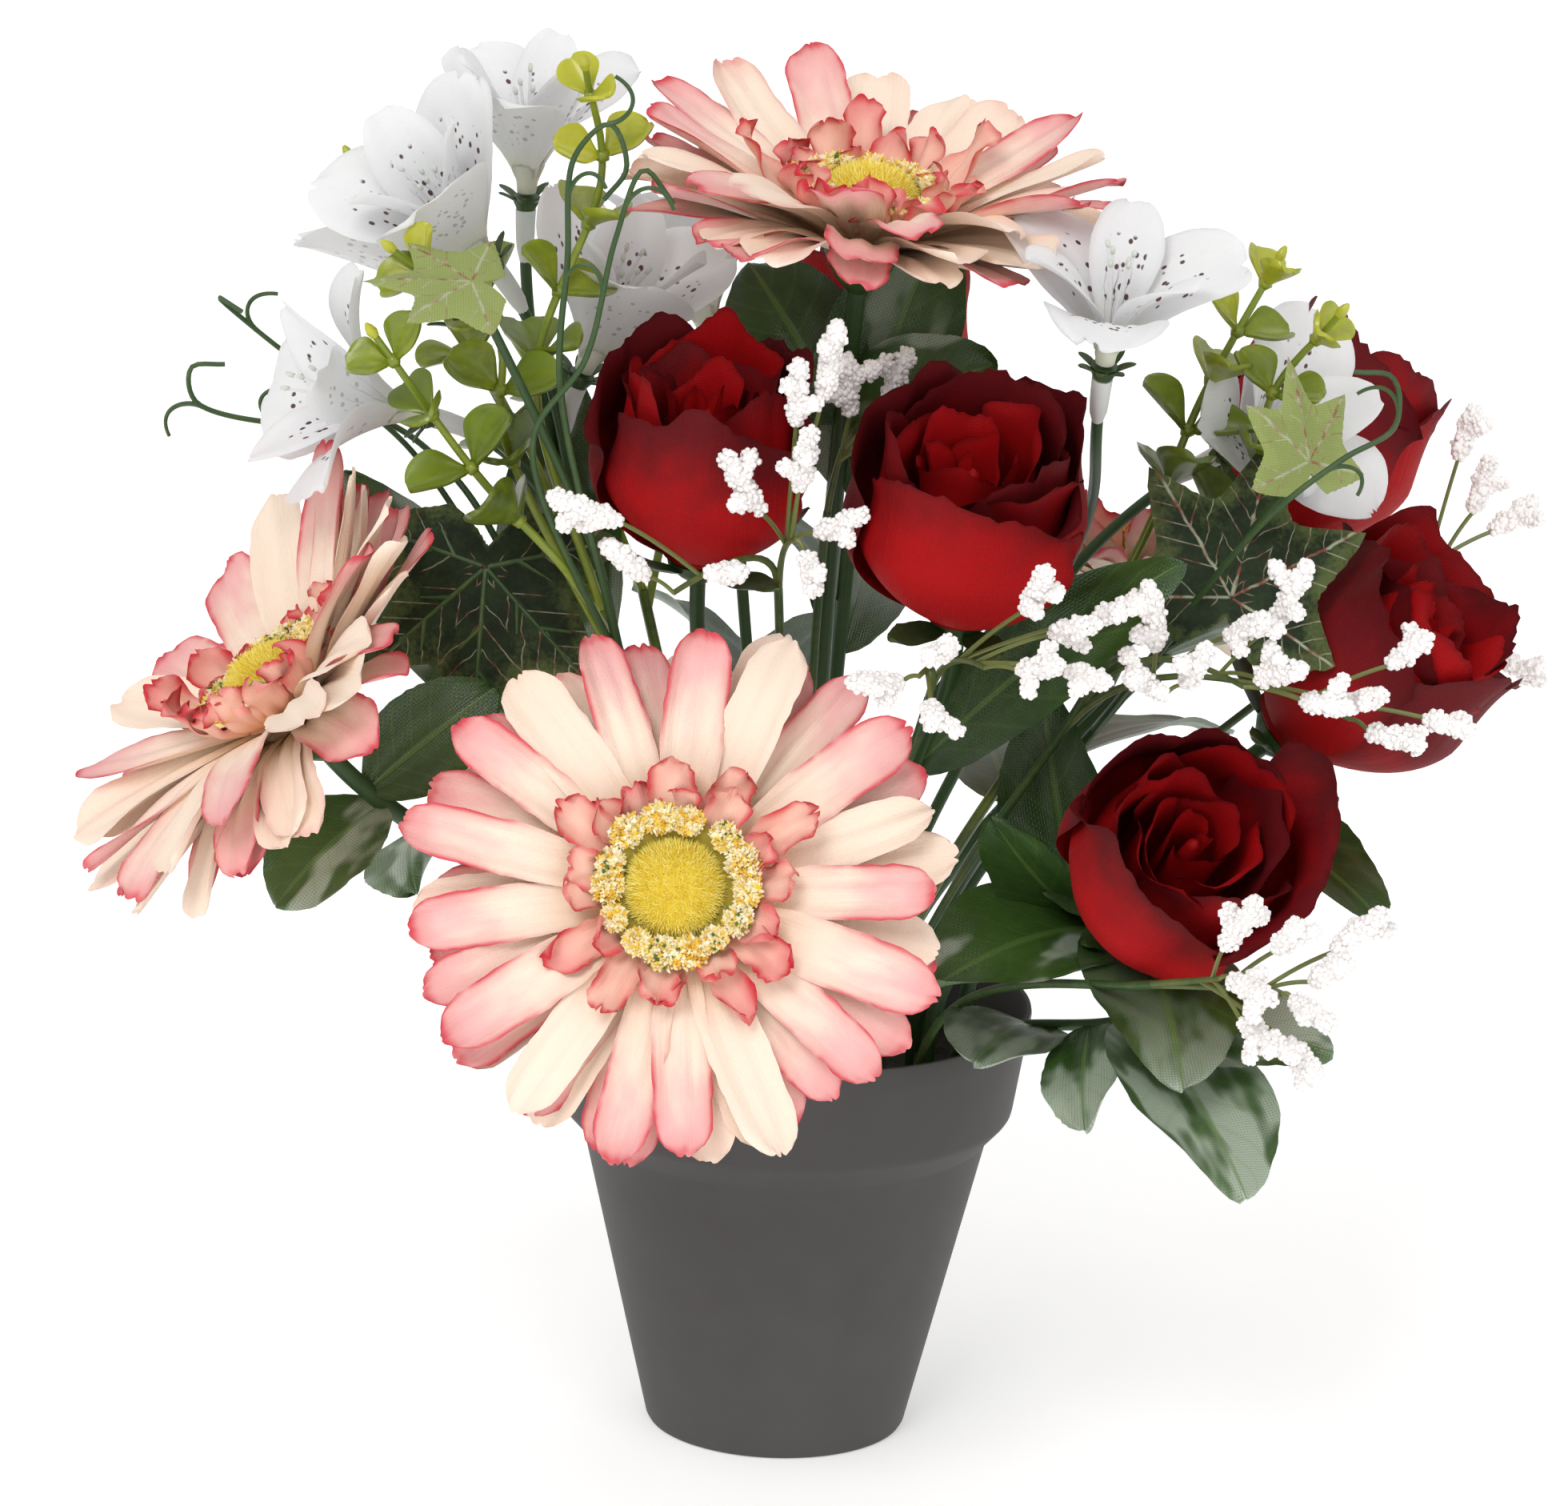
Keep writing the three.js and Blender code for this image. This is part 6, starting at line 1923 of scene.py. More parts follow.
@dataclass(frozen=True)
class Rose:
    """A rose half open: outer petals in layers, and petals furled round its middle.

    Attributes:
        name: Name of the rose.
        heart: Middle of the bloom's underside.
        axis: Direction that the bloom looks in.
        turn: Turn of the bloom in degrees.
        size: Scale of the bloom.
        hole: Place of the stem's hole in plan.
        leaves: Leaves of the stem.
        loose: Added curl of the first petal.
        layers: Layers of outer petals.
        wind: How far a petal winds out from side to side.
        furled: Furled petals.
        calyx: Radius and depth of the cup under the bloom.
        stem: Radius of the stem.
    """

    name: str
    heart: Triple
    axis: Triple
    turn: float
    size: float
    hole: tuple[float, float]
    leaves: Sequence[Leaf]
    loose: float = 0.0
    layers: Sequence[RoseLayer] = (
        RoseLayer(3, 25.5, 49, 132, 3.0, -4.5, 0, 6.0), RoseLayer(3, 20.6, 51, 126, 2.0, -3.5, 55, 2.2))
    wind: float = 1.7
    furled: int = 10
    calyx: tuple[float, float] = (8.0, 8.0)
    stem: float = 1.9

    def seat(self) -> Seat:
        """Placing of the bloom."""
        return Seat(self.heart, self.axis)

    def outer(self, layer: RoseLayer, turn: float, curl: float, seed: float) -> np.ndarray:
        """Middle surface of an outer petal, in the bloom's own placing.

        The radius swells as a sine up to 0.55 of the height and then leans by the taper and, with its
        cube, by the curl; it winds out from one side to the other. The rim falls away towards the sides
        as |u|^2.4, waves and folds grow towards it, and one of its corners turns back.

        Args:
            layer: Layer of the petal.
            turn: Angle of its middle in radians.
            curl: How far its rim turns out.
            seed: Draw of the petal.

        Returns:
            Points with axes row, column and coordinate.
        """
        u = np.linspace(-1, 1, 33)[None, :]
        v = np.linspace(0, 1, 26)[:, None] ** 0.85
        swell = sine_rise(v, 0.55) ** 0.8
        opened = np.maximum(0, v - 0.55) / 0.45
        phase = FULL_PHASE * hashed(seed)
        lean = layer.taper * opened + curl * opened**3 + self.wind * u
        waves = opened**1.3 * (0.9 * np.sin(2.7 * u + phase) + 0.6 * np.sin(6.3 * u + 2 * phase))
        corner = 0.85 * np.sign(stray(seed + 3)) + 0.2 * stray(seed + 4)
        turned = opened**2.5 * layer.turned * bell(u - corner, 0.22)
        folds = (0.5 * np.abs(np.sin(3.1 * u + 3 * phase)) * np.sin(np.pi * v)
                 + 0.3 * np.sin(11 * u + phase) * v**2)
        pinch = -1.2 * bell(u - 0.5 * stray(seed + 5), 0.09) * opened
        radius = layer.radius * (0.24 + 0.76 * swell) + lean + waves + turned + folds + pinch
        ragged = 1.5 * stray(seed + u * 7.7) * (v > 0.999)
        peak = (1 + 5 * hashed(seed + 6)) * bell(u - 1.1 * stray(seed + 2), 0.22) * opened**2
        height = layer.height * v * (1 - 0.2 * np.abs(u) ** 2.4 * v) + 1 + peak + ragged
        height = height - opened**2 * 1.8 * np.sin(3.9 * u + phase) ** 2 - 0.5 * turned
        return polar(radius, turn + np.radians(layer.span / 2) * u, height) * self.size

    def inner(self, k: int, seed: float) -> np.ndarray:
        """Middle surface of a furled petal, in the bloom's own placing.

        Petal k winds round the middle at a radius that grows with k. Its upper part leans in or out, folds
        press it, and its rim turns back out in a wave.

        Args:
            k: Number of the petal from the middle.
            seed: Draw of the petal.

        Returns:
            Points with axes row, column and coordinate.
        """
        u = np.linspace(-1, 1, 25)[None, :]
        v = np.linspace(0, 1, 18)[:, None] ** 0.85
        share = k / (self.furled - 1)
        reach = 2.4 + 15.2 * share**0.9 + 1.6 * stray(seed + 5)
        phase = FULL_PHASE * hashed(seed)
        opened = np.maximum(0, v - 0.5) / 0.5
        wind = (1.1 + 1.4 * share) * u
        lean = (0.08 - 0.26 * hashed(seed + 6)) * reach * opened + (0.6 + 2.2 * share) * opened**4
        waves = opened * (0.5 + 1.1 * share) * (np.sin(3.3 * u + phase) + 0.6 * np.sin(7.1 * u + 2 * phase))
        radius = np.maximum(reach * (0.4 + 0.6 * sine_rise(v, 0.5) ** 0.7) + lean + wind + waves, 0.5)
        top = 42 + 7 * share + 6 * stray(seed + 1)
        peak = 3.0 * bell(u - 0.8 * stray(seed + 2), 0.3) * opened
        ragged = 1.3 * stray(seed + u * 9.1) * (v > 0.999)
        height = 4 + (top - 4) * v * (1 - 0.14 * np.abs(u) ** 2.2 * v) + peak + ragged
        height = height - opened**2 * 1.6 * np.sin(3.7 * u + phase) ** 2
        span = np.radians(170 - 60 * share)
        return polar(radius, np.radians(self.turn) + k * GOLDEN + span / 2 * u, height) * self.size

    def shell(self, skin: Skin, middle: np.ndarray, tone: float) -> None:
        """Adds a petal's middle surface as a closed shell with its marks.

        The place in the flat cloth is the running length of the grid's lines, across and along.

        Args:
            skin: Skin that takes the shell.
            middle: Middle surface in the bloom's own placing.
            tone: Draw for the colour.
        """
        rows, cols, _ = middle.shape
        placed = self.seat().place(middle)
        run = np.cumsum(np.linalg.norm(np.diff(placed, axis=1, prepend=placed[:, :1]), axis=-1), axis=1)
        climb = np.cumsum(np.linalg.norm(np.diff(placed, axis=0, prepend=placed[:1]), axis=-1), axis=0)
        flat = np.stack([run - run[:, cols // 2:cols // 2 + 1], climb], axis=-1)
        along = np.broadcast_to(np.linspace(0, 1, rows)[:, None] ** 0.85, (rows, cols))
        across = np.broadcast_to(np.linspace(-1, 1, cols)[None], (rows, cols))
        skin.shells(placed[None], 0.35, 0, flat[None], along=along[None], across=across[None],
                    tone=np.array([tone]))

    def draw_bloom(self, index: int) -> None:
        """Makes the petals and the heel that holds them.

        Args:
            index: Number of the rose, which sets its draws.
        """
        skin = Skin()
        for row, layer in enumerate(self.layers):
            for k in range(layer.count):
                turn = math.radians(self.turn + layer.turn + 360 * k / layer.count)
                curl = layer.curl + (self.loose if row + k == 0 else 0)
                seed = index * 31.0 + row * 7 + k
                tone = float(hashed(seed + 0.4)) * (1.0 if row == 0 else 0.7)
                self.shell(skin, self.outer(layer, turn, curl, seed), tone)
        for k in range(self.furled):
            tone = 0.8 * float(hashed(index * 31.0 + k)) * k / self.furled
            self.shell(skin, self.inner(k, index * 31.0 + 20 + k), tone)
        heel = np.array([(7.5, 0), (9.6, 1.6), (9.2, 4.5), (5, 8), (2.4, 24), (1.6, 38)]) * self.size
        skin.turned(self.seat(), heel, 20, 0, 40 * self.size, tone=0.2)
        skin.piece(f"rose_{self.name}_petals", [ROSE.material()], [f"rose_bloom_{self.name}"],
                   "rose_petal_cloth", crease=70)

    def draw_stem(self, index: int) -> None:
        """Makes the stem with its cup and five sepals, and its leaves.

        Args:
            index: Number of the rose, which sets its draws.
        """
        skin, seat = Skin(), self.seat()
        radius, depth = self.calyx
        curve = stem_curve(self.hole, seat.place([0, 0, 1 - depth]), self.axis, 60, 44)
        skin.tube(curve.spread(48), self.stem, 12, tone=0.4)
        cup = [(self.stem * 1.05, -depth), (radius * 0.7, -depth * 0.6), (radius * 0.95, -2.4), (radius, -GAP)]
        skin.turned(seat, cup, 24, -depth - 1, -GAP, tone=0.5)
        k = np.arange(5)
        seed = index * 40.0 + k
        sepal = Cut(Outline.OVATE, cup=0.25, rows=16, cols=7, thick=0.5, crown=0, wave=0.6, teeth=0.3, twist=20)
        turn, length = (k + 0.5 * hashed(seed)) / len(k) * 2 * np.pi, 20 + 5 * hashed(seed + 1)
        lift, bend = 4 + 20 * hashed(seed + 2), -34 + 30 * hashed(seed + 3)
        bloom_blades(seat, turn, 5.5, -3.0, length, lift, bend, 8.5, 0.6, seed).draw(skin, sepal)
        node = f"rose_stem_{self.name}"
        skin.piece(f"rose_{self.name}_stem", [STEM.material()], [node], "rose_stem_green")
        draw_leaves(curve, self.leaves, f"rose_{self.name}_leaves", node, index * 23.0 + 5)

    def draw(self, index: int) -> None:
        """Makes the rose's pieces."""
        self.draw_bloom(index)
        self.draw_stem(index)


ROSES = [
    Rose("centre_left", (-25, -36, 230), (0.03, -0.33, 0.94), 20, 1.01, (-10, -16),
         [(0.72, (-16, -66, 196), 20, (0.2, -0.6, 0.75), 40)]),
    Rose("centre", (37, -48, 222), (0.03, -0.47, 0.88), 140, 1.09, (12, -20),
         [(0.7, (88, -70, 240), 24, (-0.2, -0.8, 0.5), 30), (0.62, (0, -66, 184), 18, (0, -0.6, 0.75), 36)]),
    Rose("right_low", (84, -52, 151), (0.22, -0.76, 0.61), -14, 1.06, (34, -20),
         [(0.93, (92, -104, 122), 34, (0.2, -0.75, 0.6), 44), (0.9, (34, -84, 140), 34, (-0.2, -0.6, 0.75), 40),
          (0.86, (46, -70, 178), 22, (-0.5, -0.7, 0.4), 30), (0.78, (58, -40, 200), 26, (-0.4, -0.8, 0.3), 26)],
         loose=6),
    Rose("right", (118, -8, 184), (0.66, -0.3, 0.68), 200, 1.1, (42, -4),
         [(0.8, (140, -60, 152), 26, (0.4, -0.6, 0.6), 36), (0.7, (126, 28, 138), 26, (0.5, 0.5, 0.7), 36)]),
    Rose("right_rear", (112, 44, 220), (0.5, 0.3, 0.81), 10, 1.04, (32, 16),
         [(0.8, (150, 38, 196), 24, (0.5, 0.4, 0.7), 36), (0.62, (66, 66, 206), 22, (-0.2, 0.7, 0.6), 30)]),
    Rose("rear", (12, 64, 230), (0.05, 0.45, 0.89), 90, 1.0, (6, 30),
         [(0.8, (-22, 96, 214), 26, (-0.2, 0.7, 0.6), 36), (0.72, (16, 108, 200), 24, (0.2, 0.7, 0.6), 36)]),
]


# ---------------------------------------------------------------- alstroemeria


@dataclass(frozen=True)
class TrumpetRow:
    """Three petals of an alstroemeria: sizes in millimetres and angles in degrees.

    Attributes:
        root: Radius of the roots.
        length: Length.
        width: Width.
        lift: Slope at the roots.
        bend: Turn from root to tip.
        tone: Least draw for the colour, and its range.
        cut: Cut of the petals.
    """

    root: float
    length: float
    width: float
    lift: float
    bend: float
    tone: tuple[float, float]
    cut: Cut


@dataclass(frozen=True)
class Trumpet:
    """An alstroemeria: three broad petals, three narrow ones and stamens on a short tube.

    Attributes:
        name: Name of the bloom.
        calyx: Point where the tube meets the calyx.
        axis: Direction that the bloom looks in.
        turn: Turn of its first petal in degrees.
        size: Scale of the bloom.
        flare: How far the petals open, as a share of their bend.
        tube: Radius at the foot, radius at the mouth and length of the tube.
        rows: The broad petals and the narrow ones.
        stamens: Stamens.
    """

    name: str
    calyx: Triple
    axis: Triple
    turn: float
    size: float
    flare: float
    tube: tuple[float, float, float] = (2.3, 4.2, 9.0)
    rows: Sequence[TrumpetRow] = (
        TrumpetRow(2.2, 42, 32, 72, 46, (0.1, 0.22), Cut(
            Outline.CLAW, cup=0.2, rows=22, cols=15, thick=0.4, crown=0.02, notch=0.05, crease=0.22, folds=5,
            wave=1.6, waves=1.2, teeth=0.3, twist=10, curl=3)),
        TrumpetRow(1.2, 40, 19, 80, 34, (0.4, 0.6), Cut(
            Outline.CLAW, cup=0.2, rows=20, cols=11, thick=0.4, crown=0.0, crease=0.2, folds=3, wave=1.1,
            waves=1.2, teeth=0.2, twist=14, curl=4)))
    stamens: int = 6

    def add_stamens(self, skin: Skin, seat: Seat, index: int) -> None:
        """Adds stamens that part as they rise, each a bent filament with an anther across its end.

        Args:
            skin: Skin of the bloom.
            seat: Placing of the bloom.
            index: Number of the bloom, which sets its draws.
        """
        for j in range(self.stamens):
            seed = index * 60.0 + j
            turn = np.radians(self.turn + 360 / self.stamens * j + 30)
            out = np.array([np.cos(turn), np.sin(turn), 0])
            tall = 34 * self.size * (0.82 + 0.22 * float(hashed(seed)))
            spread = 2.0 + 3.5 * float(hashed(seed + 1))
            bend = Path.bezier(out * 0.8 + UP * 6, out * 1.2 + UP * tall * 0.6, out * spread + UP * tall)
            skin.tube(seat.place(bend.spread(12)), np.linspace(0.5, 0.35, 12), 6, 1, tone=0.9)
            tip = seat.place(out * spread + UP * tall)
            skin.scatter(Form.bead(), tip[None], np.array([[1.3, 0.7, 0.7]]), 1,
                         towards(seat.turn(unit(out * 0.3 + UP))[None]), tone=np.array([0.15]))

    def draw(self, index: int) -> None:
        """Makes the bloom: petals by their lift and bend, a tube and the stamens.

        Args:
            index: Number of the bloom, which sets its draws.
        """
        seat, skin = Seat(self.calyx, self.axis), Skin()
        k = np.arange(3)
        for layer, row in enumerate(self.rows):
            seed = index * 50.0 + layer * 10 + k
            turn = np.radians(self.turn + layer * 60 + 120 * k)
            bloom_blades(seat, turn, row.root, 4, np.full(3, row.length * self.size), row.lift,
                         row.bend * self.flare, row.width * self.size, row.tone[0] + row.tone[1] * hashed(seed),
                         seed).draw(skin, row.cut)
        low, high, length = self.tube
        profile = [(low, GAP), (low + 0.3, 3), (high, length * 0.8), (high - 0.6, length)]
        skin.turned(seat, profile, 16, GAP, length + 0.5, tone=0.1)
        self.add_stamens(skin, seat, index)
        skin.piece(f"alstroemeria_{self.name}_petals", [TRUMPET.material(), STUB.material()],
                   [f"alstroemeria_bloom_{self.name}"], "alstroemeria_petal_cloth")


@dataclass(frozen=True)
class TrumpetStem(Sprig):
    """A stem with a twig and a toothed calyx for each of its blooms.

    Attributes:
        blooms: The blooms.
        stem: Radius of the stem.
        depth: Depth of a calyx.
        teeth: Teeth of a calyx.
        stub: Radii along the white stub under a bloom.
        stub_length: Length of the stub.
    """

    blooms: Sequence[Trumpet]
    stem: float = 1.5
    depth: float = 4.0
    teeth: int = 7
    stub: Sequence[float] = (1.4, 2.1, 2.3, 2.4, 2.5)
    stub_length: float = 13.0

    def draw(self, index: int) -> None:
        """Makes the stem, the twigs, the white stubs under the blooms and the toothed calyxes.

        Args:
            index: Number of the stem, which sets its draws.
        """
        curve = self.curve(44, 40)
        skin = Skin()
        skin.tube(curve.spread(44), self.stem, 10, tone=0.45)
        tooth = Cut(Outline.OVATE, cup=0.3, rows=8, cols=5, thick=0.6, crown=0)
        cup = [(2.2, -self.depth), (3.0, -self.depth * 0.6), (3.2, -0.6)]
        for k, bloom in enumerate(self.blooms):
            seat = Seat(bloom.calyx, bloom.axis)
            foot = seat.place([0, 0, -self.depth])
            start, along = side_shoot(curve, k, 0.055)
            span = float(np.linalg.norm(foot - start))
            twig = reach_curve(start, along, span * 0.35, foot, unit(np.array(bloom.axis, float)), span * 0.35)
            skin.tube(twig.spread(24), self.stem * 0.95, 10, tone=0.5)
            stub = twig.spread(len(self.stub), 1 - min(0.5, self.stub_length / span), 1)
            skin.tube(stub, np.array(self.stub), 12, 1, tone=0.5)
            skin.turned(seat, cup, 16, -self.depth, -GAP, tone=0.6)
            j = np.arange(self.teeth)
            seed = index * 70.0 + k * 9 + j
            turn, length = j / self.teeth * 2 * np.pi, 6.2 + 1.5 * hashed(seed)
            bloom_blades(seat, turn, 1.6, -2.6, length, 40, 20, 2.6, 0.6, seed).draw(skin, tooth)
        skin.piece(f"alstroemeria_{self.name}_stem", [STEM.material(), STUB.material()],
                   [f"alstroemeria_stem_{self.name}"], "alstroemeria_stem_green")


TRUMPETS = {
    "left": [
        Trumpet("left_upper", (-70, 10, 306), (0.02, -0.1, 0.99), 10, 0.88, 1.1),
        Trumpet("left_front", (-78, -12, 294), (-0.55, -0.4, 0.74), 50, 1.0, 0.8),
        Trumpet("left_outer", (-93, -18, 257), (-0.9, -0.33, 0.27), 40, 0.96, 1.5),
        Trumpet("left_behind", (-88, 36, 270), (-0.5, 0.2, 0.84), 80, 0.95, 1.0),
        Trumpet("left_inner", (-55, 4, 264), (0.35, -0.2, 0.9), 35, 1.0, 0.9),
    ],
    "right": [
        Trumpet("right_upper", (68, -58, 284), (0.08, -0.34, 0.94), 20, 0.92, 1.7),
        Trumpet("right_outer", (102, 14, 248), (0.55, -0.68, 0.48), 80, 0.92, 1.45),
    ],
    "rear": [Trumpet("rear", (-26, 58, 262), (-0.2, 0.3, 0.93), 25, 1.0, 1.1)],
}

TRUMPET_STEMS = [
    TrumpetStem("left", (-20, -6), (-52, 4, 214), (-0.35, 0.05, 0.93), TRUMPETS["left"]),
    TrumpetStem("right", (18, -4), (62, 4, 216), (0.4, 0.05, 0.9), TRUMPETS["right"]),
    TrumpetStem("rear", (-6, 18), (-16, 40, 210), (-0.1, 0.25, 0.96), TRUMPETS["rear"]),
]


# ---------------------------------------------------------------- box sprigs


@dataclass(frozen=True)
class Shoot:
    """A shoot of a box sprig: its path, its pairs of leaves and the turn of the first pair."""

    path: Sequence[Triple]
    pairs: int
    turn: float


@dataclass(frozen=True)
class BoxSpray(Sprig):
    """A box sprig: shoots from a knot, each with pairs of spoon leaves, each pair a quarter turn on.

    Attributes:
        shoots: The shoots.
        stem: Radius of the stem.
        length: Length of a leaf.
        width: Width of a leaf.
        lean: Slope of the leaves at their roots, in degrees.
        bend: Turn of the leaves from root to tip, in degrees.
        open: How far the leaves turn to the front.
        low: Height at which the leaves are darkest.
        span: Height over that at which they are lightest.
        cut: Cut of the leaves.
    """

    shoots: Sequence[Shoot]
    stem: float = 1.4
    length: float = 15.5
    width: float = 15.0
    lean: float = 36.0
    bend: float = 24.0
    open: float = 0.6
    low: float = 215.0
    span: float = 120.0
    cut: Cut = Cut(Outline.SPOON, cup=0.5, rows=16, cols=11, thick=1.3, crown=0.0, wave=0.5, waves=0.7, twist=8,
                   curl=1)

    def add_shoot(self, skin: Skin, root: np.ndarray, shoot: Shoot, index: int) -> None:
        """Adds a shoot: its rod, its leaves and the bud at its end.

        Args:
            skin: Skin of the sprig.
            root: Where the shoot leaves the stem.
            shoot: The shoot.
            index: Number of the shoot, which sets its draws.
        """
        curve = Path.through([root, *shoot.path])
        skin.tube(curve.spread(36), np.linspace(self.stem * 0.85, self.stem * 0.6, 36), 10, tone=0.55)
        for pair in range(shoot.pairs):
            share = 0.38 + 0.62 * (pair + 0.55) / shoot.pairs
            seat = Seat(curve.at(share), curve.along(share), (0.3, 1, 0.2))
            young = 1 - 0.36 * pair / shoot.pairs
            hand = np.arange(2)
            seed = index * 50.0 + pair * 2 + hand
            turn = np.radians(shoot.turn + pair * 90 + hand * 180 + 20 * stray(seed))
            length = self.length * young * (0.9 + 0.2 * hashed(seed + 0.4))
            lean = self.lean + (8 if pair == shoot.pairs - 1 else 0)
            height = (seat.heart[2] - self.low) / self.span
            tone = np.clip(0.15 + 0.6 * height + 0.3 * pair / shoot.pairs + 0.25 * stray(seed + 3), 0, 1)
            leaves = bloom_blades(seat, turn, self.stem * 0.7, 0, length, lean, self.bend, self.width * young,
                                  tone, seed)
            leaves.facing = leaves.facing + np.array([0, -self.open, 0])
            leaves.draw(skin, self.cut)
            skin.scatter(Form.bead(), seat.heart[None], np.array([[2.0]]), tone=np.array([0.6]))
        end, ahead = curve.at(1.0), curve.along(1.0)
        bud = end + ahead * np.array([[0.0], [1.5], [3.0], [4.0]])
        skin.tube(bud, np.array([1.0, 1.4, 1.0, 0.4]), 8, tone=0.9)

    def draw(self, index: int) -> None:
        """Makes the sprig.

        Args:
            index: Number of the sprig, which sets its draws.
        """
        skin = Skin()
        curve = self.curve(44, 36)
        skin.tube(curve.spread(44), self.stem, 10, tone=0.25)
        for k, shoot in enumerate(self.shoots):
            root = curve.at(1.0 if k == 0 else 0.96 - 0.06 * (k - 1))
            self.add_shoot(skin, root, shoot, index * 10 + k)
        skin.piece(f"box_{self.name}_sprig", [BOX.material()], [f"box_spray_{self.name}"], "box_leaf_plastic")


BOX_SPRAYS = [
    BoxSpray("left", (-22, -24), (-48, -32, 214), (-0.25, -0.1, 0.96), [
        Shoot([(-65, -31, 270), (-51, -25, 317), (-55, -37, 345)], 5, 45),
        Shoot([(-57, -57, 231), (-76, -55, 250), (-101, -66, 286)], 4, 25),
        Shoot([(-72, -40, 258), (-74, -45, 283), (-98, -50, 303)], 4, 9),
        Shoot([(-67, -2, 245), (-92, 6, 281), (-112, 8, 313)], 4, 70)]),
    BoxSpray("right", (22, -18), (66, -34, 206), (0.4, -0.1, 0.9), [
        Shoot([(82, -22, 237), (93, -14, 266), (110, -10, 300)], 5, 25),
        Shoot([(105, -19, 246), (110, -19, 270), (124, -24, 290)], 4, 80)]),
    BoxSpray("rear", (-22, 22), (-40, 44, 200), (-0.25, 0.25, 0.93), [
        Shoot([(-56, 58, 232), (-72, 66, 254), (-90, 72, 280)], 2, 30),
        Shoot([(-34, 70, 226), (-36, 88, 244), (-42, 104, 264)], 2, 0)]),
]


# ---------------------------------------------------------------- ivy


@dataclass(frozen=True)
class IvyLeaf:
    """A lobed leaf.

    Attributes:
        centre: Its middle, where the stalk meets it.
        tip: Point of its first lobe.
        facing: Direction that it faces.
        size: Length of the first lobe.
        pale: Draw for its colour, from dark to light.
        ribbed: Whether the ribs are on its face and not on its back.
        lobes: Angle in degrees and share of the size of each point and notch.
        thick: Thickness.
        rings: Rings of the grid from the middle to the rim.
        full: Size at which a rib has its full girth.
    """

    centre: Triple
    tip: Triple
    facing: Triple
    size: float
    pale: float
    ribbed: bool = False
    lobes: Sequence[tuple[float, float]] = ((0, 1), (24, 0.58), (48, 0.88), (76, 0.5), (106, 0.72), (146, 0.4),
                                            (180, 0.12))
    thick: float = 0.7
    rings: int = 11
    full: float = 46.0

    def reach(self, turn: np.ndarray) -> np.ndarray:
        """Outline: from a notch to a point of a lobe the reach grows as the 1.8th power of the angle.

        Args:
            turn: Angles round the middle, in radians.

        Returns:
            Distances of the rim from the middle.
        """
        degrees, shares = np.array(self.lobes, float).T
        angle = np.degrees(np.abs(turn))
        k = np.clip(np.searchsorted(degrees, angle, side="right") - 1, 0, len(degrees) - 2)
        part = (angle - degrees[k]) / (degrees[k + 1] - degrees[k])
        low, high = np.minimum(shares[k], shares[k + 1]), np.maximum(shares[k], shares[k + 1])
        rising = shares[k + 1] > shares[k]
        return self.size * (low + (high - low) * np.where(rising, part, 1 - part) ** 1.8)

    def height(self, turn: np.ndarray, reach: np.ndarray) -> np.ndarray:
        """Height over the middle: it droops with the square of the reach and dips between the ribs."""
        dip = -0.06 * reach * (1 - self.rib(turn)) * smooth(0, self.size * 0.4, reach)
        return -0.0035 * reach**2 + dip + 0.05 * reach * np.sin(3 * turn + self.size)

    @staticmethod
    def rib(turn: np.ndarray) -> np.ndarray:
        """Nearness to a rib, from 0 between two to 1 on one."""
        return bell(np.min(np.abs(np.abs(turn)[..., None] - np.radians(IVY_RIBS)), axis=-1), 0.16)

    def add(self, skin: Skin) -> None:
        """Adds the leaf as one skin round its rim, with a raised rod on each rib and its side veins.

        The rings grow from the middle to the rim on the back and shrink again on the face, and small teeth
        stand on the rim.

        Args:
            skin: Skin of the sprig.
        """
        middle = np.array(self.centre, float)
        seat = Seat(middle, self.facing, np.array(self.tip, float) - middle)
        turn = np.linspace(-np.pi, np.pi, 145)[:-1]
        grow = np.concatenate([np.linspace(0.08, 1, self.rings), np.linspace(1, 0.08, self.rings)[1:]])[:, None]
        side = np.sign(np.arange(len(grow)) - (self.rings - 1.0))[:, None]
        reach = grow * self.reach(turn)
        reach = reach + self.size * 0.03 * (np.abs(np.mod(turn * 12, 1) - 0.4) - 0.3) * (grow > 0.99)
        places = polar(reach, turn, self.height(turn[None], reach) + side * self.thick / 2)
        low, high = seat.place([0, 0, -self.thick / 2]), seat.place([0, 0, self.thick / 2])
        ends = np.zeros((1, 2))
        skin.rings(seat.place(places), low, high, tone=self.pale,
                   flat=np.concatenate([ends, places[..., :2].reshape(-1, 2), ends]),
                   along=np.concatenate([[0.0], (grow + 0 * turn).reshape(-1), [0.0]]))
        face = self.thick / 2 if self.ribbed else -self.thick / 2
        for degrees, share in zip((0, 46, -46, 106, -106), (0.9, 0.7, 0.7, 0.5, 0.5)):
            angle = math.radians(degrees)
            ahead = np.array([np.cos(angle), np.sin(angle)])
            self.add_rod(skin, seat, np.linspace(0.02, share, 9)[:, None] * self.size * ahead, face)
            for part, off in ((0.35, -0.75), (0.6, 0.75)):
                run = np.linspace(0, 0.16, 5)[:, None] * self.size
                aside = np.array([np.cos(angle + off), np.sin(angle + off)])
                self.add_rod(skin, seat, ahead * part * share * self.size + run * aside, face)

